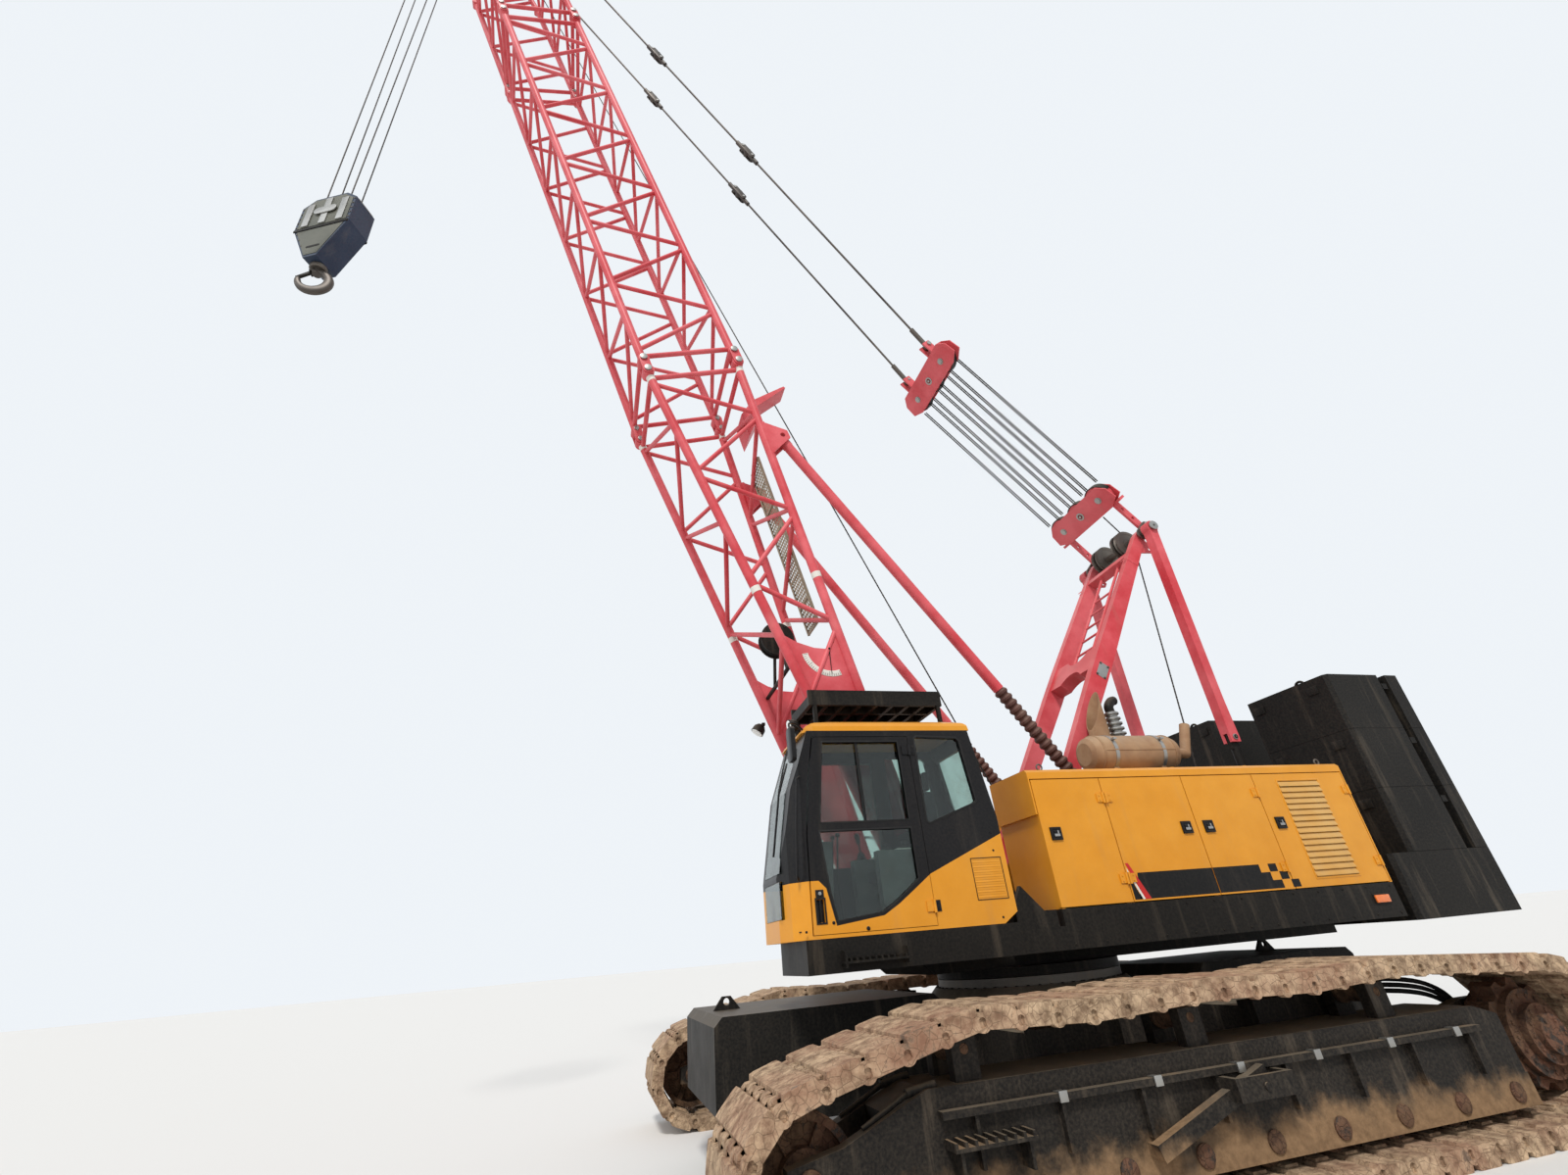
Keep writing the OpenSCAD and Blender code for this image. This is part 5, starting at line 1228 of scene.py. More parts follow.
@dataclass
class Undercarriage:
    """The chassis between the tracks and the frames with their rollers."""

    shop: Workshop
    track_y: float = 2.415
    frame_half: float = 0.26
    idler: tuple[float, float] = (3.27, 0.5)
    sprocket: tuple[float, float] = (-2.95, 0.59)
    roller_z: float = 0.297

    def build(self) -> None:
        """Finishes the solids and adds bolts, caps and hoses."""
        self.shop.coat(CHASSIS_PAINT, "carbody", "track_frames")
        self.shop.coat(WEIGHT_PAINT, "carbody_weights")
        self.shop.coat(BARE_STEEL, "slew_ring")
        self.shop.coat(WHEEL_MUD, "track_rollers", "idler_wheels", "drive_sprockets")
        self.hub_bolts()
        self.roller_caps()
        self.motor_hoses()
        self.frame_trim()

    def hub_bolts(self) -> None:
        """Sets the bolt circles of the idlers, the final drives and the slewing bearing."""
        heads = []
        for side in (-1, 1):
            for (x, z), out, radius, count in (
                    (self.idler, 0.156, 0.118, 8), (self.sprocket, 0.15, 0.262, 18),
                    (self.sprocket, 0.21, 0.175, 12), (self.sprocket, 0.26, 0.105, 6)):
                heads += ring((x, side * (self.track_y + out), z), (0, side, 0), radius, count)
        self.shop.bolts("hub_bolts", 0.015, heads, "root", WHEEL_MUD, Slot.TRACK)
        self.shop.bolts(
            "slewing_bolts", 0.014, ring((0, 0, 1.19), (0, 0, 1), 0.95, 56), "root", CHASSIS_PAINT,
            Slot.BLACK)

    def roller_caps(self) -> None:
        """Caps the ends of the lower rollers' axles on both faces of the frames."""
        cap = Shape()
        cap.lathe(
            [(0.0, -0.004), (0.066, -0.004), (0.066, 0.012), (0.044, 0.02), (0.0, 0.02)], (0, 0, 0),
            (0, 0, 1), 16)
        for x in (-0.045, 0.045):
            cap.bolt((x, 0, 0.014), (0, 0, 1), 0.01)
        places = [
            Place(
                (-2.24 + 0.58 * k, side * (self.track_y + face * self.frame_half), self.roller_z),
                facing((0, side * face, 0))) for k in range(9) for side in (-1, 1) for face in (-1, 1)]
        self.shop.spread("roller_caps", cap, places, WHEEL_MUD, "root", Slot.TRACK)

    def motor_hoses(self) -> None:
        """Leads three hoses from the carbody to each drive motor."""
        hoses = Shape()
        for k in range(3):
            lift = 0.045 * k
            hoses.tube(
                smooth_line([
                    (-0.66, 0.8 + lift, 1.05), (-1.02, 0.98 + lift, 1.12), (-1.48, 1.18, 1.02 + lift),
                    (-1.92, 1.62, 0.94 + lift), (-2.4, 2.02, 0.92 + lift), (-2.72, 2.1, 0.82 + lift),
                    (-2.84, 2.16, 0.62 + lift)]), 0.019, 10)
        for x, y, z in ((-2.84, 2.15, 0.62), (-2.84, 2.15, 0.665), (-2.84, 2.15, 0.71)):
            hoses.rod((x, y - 0.05, z), (x, y + 0.012, z), 0.026, 12)
        self.shop.make("motor_hoses", hoses.both_sides(), RUBBER, "root", Slot.BLACK)
        motor = Shape()
        motor.lathe(
            [(0.0, 0.0), (0.15, 0.0), (0.15, 0.05), (0.105, 0.07), (0.105, 0.19), (0.07, 0.21), (0.0, 0.21)],
            (self.sprocket[0] - 0.02, 2.157, self.sprocket[1]), (0, -1, 0), 28)
        self.shop.make("drive_motors", motor.both_sides(), CHASSIS_PAINT, "root", Slot.BLACK)

    def frame_trim(self) -> None:
        """Adds the clips on the frames' ledges and the grease pipes behind the idlers."""
        clips, pipes = Shape(), Shape()
        face = self.track_y + self.frame_half
        for x in (1.62, 0.9, 0.22, -0.46, -1.16, -1.84):
            clips.box((x - 0.03, face + 0.044, 0.692), (x + 0.03, face + 0.068, 0.752))
            clips.box((x - 0.03, face - 0.001, 0.74), (x + 0.03, face + 0.06, 0.748))
        self.shop.make("ledge_clips", clips.both_sides(), GALVANISED, "root", Slot.STEEL, bevel=0.003)
        for y in (self.track_y - 0.205, self.track_y + 0.205):
            pipes.rod((2.42, y, 0.862), (2.62, y, 0.836), 0.026, 12)
            pipes.rod((2.6, y, 0.838), (2.92, y, 0.7), 0.016, 12)
        self.shop.make("grease_pipes", pipes.both_sides(), CHASSIS_PAINT, "root", Slot.BLACK)


@dataclass
class UpperWorks:
    """The revolving frame, its housings, doors, muffler and winches."""

    shop: Workshop
    side_y: float = 1.57
    film: float = 0.0015
    roof_z: float = 3.02
    slabs_z: float = 2.066
    slab_h: float = 0.69
    # Columns: door, side of the crane, end with the latch (1 front, -1 rear)
    doors: tuple[tuple[str, int, int], ...] = (
        ("side_door_l1", 1, 1), ("side_door_l2", 1, -1), ("side_door_l3", 1, 1), ("side_door_l4", 1, 1),
        ("side_door_r1", -1, 1), ("side_door_r2", -1, -1), ("side_door_r3", -1, 1))
    # Columns: x and height of a winch's shaft, radius of the rope on it
    winches: tuple[Point, ...] = ((-0.8, 2.18, 0.236), (-1.76, 2.18, 0.246), (-2.64, 2.14, 0.262))

    def build(self) -> None:
        """Finishes the solids and adds the small parts."""
        coat = self.shop.coat
        coat(BLACK_PAINT, "revolving_frame", "roof_guard", "gantry_cylinders")
        coat(YELLOW_PAINT, "housing_left", "housing_right", "fuel_tank", *(name for name, _, _ in self.doors))
        coat(BARE_STEEL, "engine_block", "winch_drums", "gantry_sheaves")
        coat(MUFFLER_PAINT, "muffler")
        coat(WEIGHT_PAINT, "counterweight_base", "counterweight_slabs")
        coat(RED_PAINT, "gantry_front_legs", "gantry_rear_legs")
        self.band()
        self.latches()
        self.louvres()
        self.markers()
        self.exhaust()
        self.roofs()
        self.winch_trim()
        self.tank_trim()
        self.skirt_bolts()
        self.weight_trim()

    def latches(self) -> None:
        """Puts a black latch with a steel pull and the hinge screws on each door."""
        for name, side, end in self.doors:
            low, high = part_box(name)
            x = high.x - 0.132 if end > 0 else low.x + 0.132
            face = side * self.side_y
            case, pull = Shape(), Shape()
            case.rim(
                [(x - 0.058, 2.362), (x + 0.058, 2.362), (x + 0.058, 2.478), (x - 0.058, 2.478)], 0.02,
                face - side * 0.001, face + side * 0.017)
            case.box((x - 0.04, face - side * 0.001, 2.38), (x + 0.04, face + side * 0.011, 2.46))
            case.rod((x + 0.018, face, 2.438), (x + 0.018, face + side * 0.019, 2.438), 0.01, 14)
            pull.box((x - 0.03, face + side * 0.009, 2.393), (x + 0.03, face + side * 0.026, 2.417))
            pull.box((x - 0.03, face + side * 0.009, 2.417), (x - 0.014, face + side * 0.016, 2.448))
            self.shop.make("latch_" + name[-2:], case, CAB_BLACK, name, Slot.BLACK, bevel=0.003)
            self.shop.make("latch_pull_" + name[-2:], pull, ROD_STEEL, name, Slot.STEEL, bevel=0.003)
            hinge, ahead = (low.x + 0.012, 1) if end > 0 else (high.x - 0.012, -1)
            screws = [
                ((hinge + ahead * 0.045, face + side * 0.013, z + dz), (0, side, 0)) for z in (1.95, 2.68)
                for dz in (0.028, 0.072)]
            self.shop.bolts("hinge_screws_" + name[-2:], 0.0075, screws, name, YELLOW_PAINT, Slot.YELLOW)

    def louvres(self) -> None:
        """Folds the lips of the rear doors' louvres and the frame round them."""
        x0, x1, z0, z1, slats = -3.118, -2.552, 1.89, 2.84, 16
        pitch = (z1 - z0) / slats
        section = (
            (0.049, -0.006), (0.049, -0.002), (0.03, 0.003), (0.008, 0.0115), (0.0, 0.0105), (0.026, -0.002))
        for name, side in (("side_door_l4", 1), ("side_door_r3", -1)):
            face = side * self.side_y
            lip = Shape()
            lip.slab([(-(x1 - x0) / 2, *point) for point in section], (x1 - x0, 0, 0))
            places = [
                Place(((x0 + x1) / 2, face, z0 + pitch * k + 0.004), facing((0, side, 0)))
                for k in range(slats)]
            self.shop.spread("louvres_" + name[-2:], lip, places, LOUVRE_PAINT, name, Slot.YELLOW)
            frame = Shape()
            frame.rim(
                [(x0, z0 - 0.006), (x1, z0 - 0.006), (x1, z1 + 0.006), (x0, z1 + 0.006)], -0.016,
                face - side * 0.001, face + side * 0.004)
            self.shop.make("louvre_frame_" + name[-2:], frame, YELLOW_PAINT, name, Slot.YELLOW, bevel=0.002)

    def markers(self) -> None:
        """Adds the orange side lamps and the red tail lamps."""
        case, lens, tail = Shape(), Shape(), Shape()
        case.box((-3.372, self.side_y - 0.002, 1.6), (-3.164, self.side_y + 0.01, 1.691))
        lens.box((-3.362, self.side_y + 0.006, 1.61), (-3.174, self.side_y + 0.024, 1.681))
        for y in (1.02, 0.84):
            case.box((-5.56, y - 0.085, 1.56), (-5.548, y + 0.085, 1.68))
            tail.box((-5.572, y - 0.075, 1.57), (-5.556, y + 0.075, 1.67))
        lamp = self.shop.library.lamp
        self.shop.make("marker_cases", case.both_sides(), BLACK_PAINT, "upper", Slot.BLACK, bevel=0.003)
        self.shop.make(
            "marker_lenses", lens.both_sides(), lamp("orange_lens", srgb(226, 112, 34)), "upper", Slot.YELLOW,
            bevel=0.006)
        self.shop.make(
            "tail_lenses", tail.both_sides(), lamp("red_lens", srgb(168, 26, 22)), "upper", Slot.RED,
            bevel=0.006)

    def exhaust(self) -> None:
        """Adds the muffler's straps and seams, the slashed stack and the pleated pipe beside it."""
        y, z, r = 1.1, 3.28, 0.2
        straps, seams = Shape(), Shape()
        for x in (-1.5, -0.88):
            straps.band((x - 0.022, y, z), (x + 0.022, y, z), r - 0.004, r + 0.005, 40)
            straps.box((x - 0.02, y + 0.172, z + 0.11), (x + 0.02, y + 0.222, z + 0.128))
            straps.bolt((x, y + 0.205, z + 0.128), (0, 0, 1), 0.01)
        for x, grow in ((-0.722, 0.007), (-0.742, 0.004), (-1.655, 0.005)):
            seams.band((x - 0.006, y, z), (x + 0.006, y, z), r - 0.01, r + grow, 40)
        for side in (-1, 1):
            seams.box(
                (-1.655, y + side * (r - 0.003), z - 0.006), (-0.725, y + side * (r + 0.006), z + 0.006))
        self.shop.make("muffler_straps", straps, GALVANISED, "upper", Slot.STEEL)
        self.shop.make("muffler_seams", seams, MUFFLER_PAINT, "upper", Slot.MUFFLER)
        stack = Shape()
        x, y, bore, r, low, high, slope = -1.22, 0.72, 0.106, 0.115, 3.04, 3.9, 2.15
        stack.lathe([(bore, 0.0), (r, 0.0), (r, high - low), (bore, high - low)], (x, y, low), (0, 0, 1), 36)
        for vert in stack.mesh.verts:
            if vert.co.z > high - 0.01:
                vert.co.z -= (vert.co.x - x) * slope
        stack.rod((x, y + 0.1, 3.28), (x, y + 0.26, 3.28), 0.08, 24)
        stack.band((x, y, 3.42), (x, y, 3.45), r - 0.002, r + 0.014, 32)
        stack.box((x - 0.36, 0.6, self.roof_z), (x + 0.18, 0.96, self.roof_z + 0.024))
        self.shop.make("exhaust_stack", stack, MUFFLER_PAINT, "upper", Slot.MUFFLER)
        pleats = Shape()
        outline = [(0.04, 0.0)]
        for k in range(6):
            outline += [
                (0.062, 0.062 * k + 0.006), (0.108 - 0.004 * k, 0.062 * k + 0.026),
                (0.108 - 0.004 * k, 0.062 * k + 0.042), (0.062, 0.062 * k + 0.06)]
        outline += [(0.04, 0.378)]
        pleats.lathe(outline, (-1.47, 0.72, 3.52), (0, 0, 1), 28)
        self.shop.make("pleated_pipe", pleats, GALVANISED, "upper", Slot.STEEL)
        foot = Shape()
        foot.rod((-1.47, 0.72, 3.04), (-1.47, 0.72, 3.53), 0.058, 20)
        foot.tube(
            smooth_line([(-1.47, 0.72, 3.88), (-1.47, 0.72, 3.96), (-1.54, 0.7, 4.03), (-1.6, 0.69, 4.05)]),
            0.055, 16)
        self.shop.make("pleated_pipe_ends", foot, BLACK_PAINT, "upper", Slot.BLACK)

    def roofs(self) -> None:
        """Lays grip panels on the housings' roofs, with seams and lifting eyes."""
        mats, seams, eyes = Shape(), Shape(), Shape()
        for x0, x1 in ((-3.42, -2.3), (-2.2, -1.34), (-0.54, 0.42)):
            mats.box((x0, 0.96, self.roof_z - 0.001), (x1, 1.47, self.roof_z + 0.005))
        for x in (-2.25, -1.29, -0.59):
            seams.box((x - 0.02, 0.884, self.roof_z - 0.001), (x + 0.02, 1.53, self.roof_z + 0.007))
        for x in (-3.3, 0.3):
            for y in (0.915, 1.515):
                eyes.hoop((x, y, self.roof_z + 0.03), (0, 1, 0), 0.03, 0.008)
        self.shop.make("roof_mats", mats.both_sides(), RUBBER, "upper", Slot.BLACK, bevel=0.002)
        self.shop.make("roof_seams", seams.both_sides(), YELLOW_PAINT, "upper", Slot.YELLOW, bevel=0.003)
        self.shop.make("roof_eyes", eyes.both_sides(), BARE_STEEL, "upper", Slot.STEEL)

    def winch_trim(self) -> None:
        """Winds rope on the drums and adds the winches' motors, bolts and hoses."""
        rope, motors, hoses, heads = Shape(), Shape(), Shape(), []
        turns, pitch = 26, 0.0244
        for x, z, r in self.winches:
            wound = [(0.206, 0.0)]
            for k in range(turns):
                wound += [
                    (r - 0.008, pitch * (k + 0.06)), (r + 0.003, pitch * (k + 0.5)),
                    (r - 0.008, pitch * (k + 0.94))]
            wound += [(0.206, turns * pitch)]
            rope.lathe(wound, (x, -turns * pitch / 2, z), (0, 1, 0), 36)
            motors.lathe([
                (0.0, 0.0), (0.115, 0.0), (0.115, 0.11), (0.078, 0.13), (0.078, 0.3), (0.05, 0.32),
                (0.0, 0.32)], (x, -0.392, z), (0, -1, 0), 28)
            motors.lathe(
                [(0.0, 0.0), (0.105, 0.0), (0.105, 0.03), (0.06, 0.05), (0.0, 0.05)], (x, 0.392, z),
                (0, 1, 0), 24)
            heads += ring((x, -0.502, z), (0, -1, 0), 0.096, 10) + ring((x, 0.422, z), (0, 1, 0), 0.082, 8)
            for k in range(2):
                hoses.tube(
                    smooth_line([
                        (x + 0.05 * k, -0.69, z + 0.045), (x + 0.04, -0.76, z + 0.1),
                        (x + 0.22, -0.8 + 0.05 * k, z - 0.1), (x + 0.4, -0.8 + 0.05 * k, 1.845),
                        (0.3, -0.8 + 0.05 * k, 1.835), (0.55, -0.52 + 0.05 * k, 1.835)]), 0.017, 8)
        self.shop.make("drum_ropes", rope, ROPE_STEEL, "upper", Slot.ROPE)
        self.shop.make("winch_motors", motors, BLACK_PAINT, "upper", Slot.BLACK)
        self.shop.make("winch_hoses", hoses, RUBBER, "upper", Slot.BLACK)
        self.shop.bolts("winch_bolts", 0.011, heads, "upper")

    def tank_trim(self) -> None:
        """Adds the fuel tank's cap, level tube, rungs and handrail."""
        y, top = -1.55, 2.46
        fitting, rail = Shape(), Shape()
        fitting.lathe(
            [(0.0, 0.0), (0.06, 0.0), (0.06, 0.03), (0.052, 0.046), (0.0, 0.046)], (1.62, -1.24, top),
            (0, 0, 1), 24)
        fitting.rod((0.76, y - 0.018, 1.86), (0.76, y - 0.018, 2.3), 0.011, 12)
        for z in (1.86, 2.3):
            fitting.box((0.742, y - 0.03, z - 0.02), (0.778, y + 0.002, z + 0.02))
        for z in (1.8, 2.06, 2.3):
            rail.tube(
                [(1.15, y + 0.002, z), (1.15, y - 0.08, z), (1.52, y - 0.08, z), (1.52, y + 0.002, z)], 0.013,
                10)
        rail.tube([
            (0.7, -1.5, top - 0.01), (0.7, -1.5, 2.86), (1.0, -1.5, 2.9), (1.82, -1.5, 2.9),
            (1.82, -1.5, top - 0.01)], 0.016, 10)
        self.shop.make("tank_fittings", fitting, BLACK_PAINT, "upper", Slot.BLACK)
        self.shop.make("tank_rail", rail, BLACK_PAINT, "upper", Slot.BLACK)

    def skirt_bolts(self) -> None:
        """Sets the screws along the skirts."""
        heads = []
        for side in (-1, 1):
            face = side * self.side_y
            heads += [
                (at, (0, side, 0)) for z in (1.505, 1.755)
                for at in row((-3.46, face, z), (0.42, face, z), 13)]
        self.shop.bolts("skirt_screws", 0.009, heads, "upper", BLACK_PAINT, Slot.BLACK)

    def weight_trim(self) -> None:
        """Adds lifting eyes, tie rod nuts and corner irons to the counterweight."""
        eyes, irons, nuts = Shape(), Shape(), []
        top = self.slabs_z + 3 * self.slab_h
        for x in (-4.42, -5.18):
            eyes.hoop((x, 0.92, top + 0.055), (1, 0, 0), 0.062, 0.017)
            nuts += [((x, side * y, top), (0, 0, 1)) for y in (0.48, 1.3) for side in (-1, 1)]
        for k in range(3):
            z = self.slabs_z + self.slab_h * k
            irons.box((-4.098, 0.42, z + 0.5), (-4.086, 0.56, z + 0.6))
            irons.box((-4.098, 1.2, z + 0.5), (-4.086, 1.34, z + 0.6))
            for y in (0.7, 1.1):
                irons.hoop((-5.556, y - 0.15, z + 0.56), (0, 1, 0), 0.04, 0.01)
        self.shop.make("weight_eyes", eyes.both_sides(), WEIGHT_PAINT, "upper", Slot.BLACK)
        self.shop.make("weight_irons", irons.both_sides(), WEIGHT_PAINT, "upper", Slot.BLACK, bevel=0.002)
        self.shop.bolts("weight_nuts", 0.036, nuts, "upper")

    def film_plate(self, outline: Sequence[tuple[float, float]], lift: int = 1) -> Shape:
        """Draws a thin film on the left housing's side."""
        shape = Shape()
        shape.side_plate(outline, self.side_y - 0.0005, self.side_y + self.film * lift)
        return shape

    def band(self) -> None:
        """Lays the black band with its slash and steps over two doors."""
        z0, z1 = 1.815, 2.04
        split = (-1.295, -1.305)
        black_l2 = [(-0.375, z0), (-0.425, z1), (split[0], z1), (split[0], z0)]
        self.shop.make("band_front", self.film_plate(black_l2), BAND_BLACK, "side_door_l2", Slot.YELLOW)
        black_l3 = [
            (split[1], z0), (split[1], z1), (-1.875, z1), (-1.875, 1.965), (-1.985, 1.965), (-1.985, 1.89),
            (-2.095, 1.89), (-2.095, z0)]
        self.shop.make("band_rear", self.film_plate(black_l3), BAND_BLACK, "side_door_l3", Slot.YELLOW)
        squares = Shape()
        for x0, za in ((-1.985, 1.968), (-2.095, 1.893), (-2.205, z0)):
            squares.box(
                (x0 - 0.105, self.side_y - 0.0005, za), (x0 - 0.005, self.side_y + self.film, za + 0.072))
        self.shop.make("band_squares", squares, BAND_BLACK, "side_door_l3", Slot.YELLOW)
        red = [(-0.318, 2.128), (-0.35, 2.128), (-0.498, z0), (-0.43, z0)]
        self.shop.make("band_slash_red", self.film_plate(red, 2), BAND_RED, "side_door_l2", Slot.YELLOW)
        white = [(-0.318, 2.085), (-0.318, 2.05), (-0.405, z0), (-0.432, z0)]
        self.shop.make(
            "band_slash_white", self.film_plate(white, 2), WHITE_PAINT, "side_door_l2", Slot.YELLOW)
        corner = [(-0.318, 2.035), (-0.318, z0), (-0.398, z0)]
        self.shop.make("band_corner", self.film_plate(corner), BAND_BLACK, "side_door_l2", Slot.YELLOW)


@dataclass
class Cab:
    """The driver's cab with its glass, seat and controls."""

    shop: Workshop
    face: float = 1.61
    inner: float = 0.81
    floor: float = 1.775
    lamp_at: Point = (2.655, 1.2, 3.58)
    lamp_way: Point = (1, 0, -0.22)

    def build(self) -> None:
        """Finishes the solids and adds the small parts."""
        coat = self.shop.coat
        coat(YELLOW_PAINT, "cab_lower", "cab_roof", "cab_door_panel")
        coat(CAB_BLACK, "cab_frame", "cab_door")
        coat(GREY_PLASTIC, "control_console")
        glass = self.shop.library.glass("cab_glass_tint", srgb(196, 214, 208))
        self.shop.skin(glass, "cab_glass")
        self.shop.skin(glass, "cab_door_glass")
        self.seals()
        self.door_fittings()
        self.outside()
        self.inside()
        self.seat()

    def seals(self) -> None:
        """Lays rubber round the side windows, and a frame and blades in the vent."""
        fixed, moving, vent = Shape(), Shape(), Shape()
        quarter = [
            (1.134, 2.74), (1.15, 2.725), (1.63, 2.565), (1.65, 2.58), (1.64, 3.316), (1.62, 3.334),
            (1.215, 3.318), (1.19, 3.296)]
        fixed.rim(quarter, -0.018, self.face - 0.006, self.face + 0.004)
        fixed.rim(quarter, -0.018, self.inner + 0.006, self.inner - 0.004)
        fixed.rim(
            [(1.8, 2.3), (1.8, 3.28), (2.64, 3.28), (2.76, 2.3)], -0.018, self.inner + 0.006,
            self.inner - 0.004)
        moving.rim(
            [(1.83, 2.6), (1.83, 3.29), (2.56, 3.29), (2.65, 2.6)], -0.014, self.face - 0.03,
            self.face + 0.003)
        moving.rim([
            (1.83, 2.52), (1.83, 2.11), (2.04, 1.96), (2.19, 1.88), (2.58, 1.84), (2.62, 2.06),
            (2.665, 2.52)], -0.014, self.face - 0.018, self.face + 0.003)
        vent.rim(
            [(1.01, 1.912), (1.3, 1.912), (1.3, 2.24), (1.01, 2.24)], -0.006, self.face - 0.001,
            self.face + 0.005)
        self.shop.make("window_seals", fixed, RUBBER, "upper", Slot.BLACK, bevel=0.002)
        self.shop.make("door_seals", moving, RUBBER, "cab_door", Slot.BLACK, bevel=0.002)
        self.shop.make("vent_frame", vent, CAB_BLACK, "upper", Slot.BLACK, bevel=0.002)
        blades = Shape()
        for k in range(8):
            z = 1.925 + 0.04 * k
            blades.slab([
                (1.016, self.face - 0.012, z - 0.004), (1.016, self.face + 0.003, z + 0.001),
                (1.016, self.face - 0.004, z + 0.024), (1.016, self.face - 0.014, z + 0.026)], (0.278, 0, 0))
        self.shop.make("vent_blades", blades, YELLOW_PAINT, "upper", Slot.YELLOW, bevel=0.001)

    def door_fittings(self) -> None:
        """Adds the door's pull, lock, knobs and hinge leaves."""
        y = self.face
        pull, lock, leaves = Shape(), Shape(), Shape()
        pull.rim([(2.69, 1.83), (2.756, 1.83), (2.756, 2.0), (2.69, 2.0)], -0.013, y - 0.001, y + 0.005)
        pull.box((2.691, y - 0.0238, 1.831), (2.755, y - 0.022, 1.999))
        pull.rod((2.723, y - 0.011, 1.832), (2.723, y - 0.011, 1.998), 0.0092, 14)
        pull.box((2.688, y - 0.001, 2.014), (2.758, y + 0.006, 2.072))
        lock.rod((2.723, y, 2.044), (2.723, y + 0.012, 2.044), 0.014, 20)
        lock.box((2.717, y + 0.01, 2.032), (2.729, y + 0.02, 2.056))
        for x, z, r in ((2.337, 1.764, 0.016), (2.626, 1.824, 0.013)):
            pull.lathe(
                [(0.0, -0.001), (r, -0.001), (r, 0.004), (r * 0.7, 0.009), (0.0, 0.01)], (x, y, z), (0, 1, 0),
                16)
        self.shop.make("door_pull", pull, CAB_BLACK, "cab_door", Slot.BLACK, bevel=0.002)
        self.shop.make("door_lock", lock, ROD_STEEL, "cab_door", Slot.STEEL, bevel=0.001)
        heads = []
        for z in (1.84, 3.16):
            leaves.box((1.662, y - 0.001, z + 0.006), (1.711, y + 0.006, z + 0.094))
            heads += [((1.686, y + 0.006, z + dz), (0, 1, 0)) for dz in (0.026, 0.074)]
        self.shop.make("hinge_leaves", leaves, CAB_BLACK, "upper", Slot.BLACK, bevel=0.002)
        heads += [((x, y, z), (0, 1, 0)) for x, z in ((1.098, 1.763), (1.059, 2.3), (2.86, 1.772))]
        self.shop.bolts("cab_screws", 0.0075, heads, "upper", CAB_BLACK, Slot.BLACK)

    def outside(self) -> None:
        """Adds the wiper, grab rail, mirror, work lamp and roof beading."""
        black, mirror = Shape(), Shape()
        black.rod((2.716, 1.18, 3.345), (2.762, 1.18, 3.361), 0.02, 12)
        black.tube([(2.772, 1.18, 3.338), (2.842, 1.215, 3.135), (2.908, 1.25, 2.925)], 0.008, 8)
        black.tube([(2.812, 1.268, 3.19), (2.912, 1.268, 2.905), (3.0, 1.268, 2.38)], 0.01, 8)
        black.tube([
            (2.806, 1.625, 2.985), (2.838, 1.64, 2.965), (2.878, 1.64, 2.56), (2.902, 1.632, 2.18),
            (2.882, 1.59, 2.15)], 0.011, 10)
        black.tube(
            smooth_line([(2.69, 1.5, 3.43), (2.78, 1.57, 3.475), (2.868, 1.65, 3.455), (2.884, 1.7, 3.39)]),
            0.01, 8)
        case = (
            (1.635, 3.12), (1.655, 3.095), (1.765, 3.095), (1.785, 3.12), (1.785, 3.37), (1.76, 3.395),
            (1.66, 3.395), (1.635, 3.37))
        pane = ((1.65, 3.112), (1.77, 3.112), (1.77, 3.378), (1.65, 3.378))
        black.slab([(2.862, *point) for point in case], (0.04, 0, 0))
        mirror.slab([(2.858, *point) for point in pane], (0.006, 0, 0))
        black.lathe(
            [(0.0, 0.0), (0.045, 0.0), (0.066, 0.03), (0.072, 0.085), (0.0, 0.085)], self.lamp_at,
            self.lamp_way, 24)
        black.box((2.655, 1.17, 3.44), (2.685, 1.23, 3.53))
        lens = Shape()
        lens.lathe(
            [(0.0, 0.084), (0.064, 0.084), (0.062, 0.09), (0.0, 0.096)], self.lamp_at, self.lamp_way, 24)
        self.shop.make("cab_trim", black, CAB_BLACK, "upper", Slot.BLACK, bevel=0.002)
        self.shop.make("mirror_face", mirror, ROD_STEEL, "upper", Slot.STEEL)
        self.shop.make("work_lens", lens, self.shop.library.lamp(*CLEAR_LENS), "upper", Slot.GLASS)

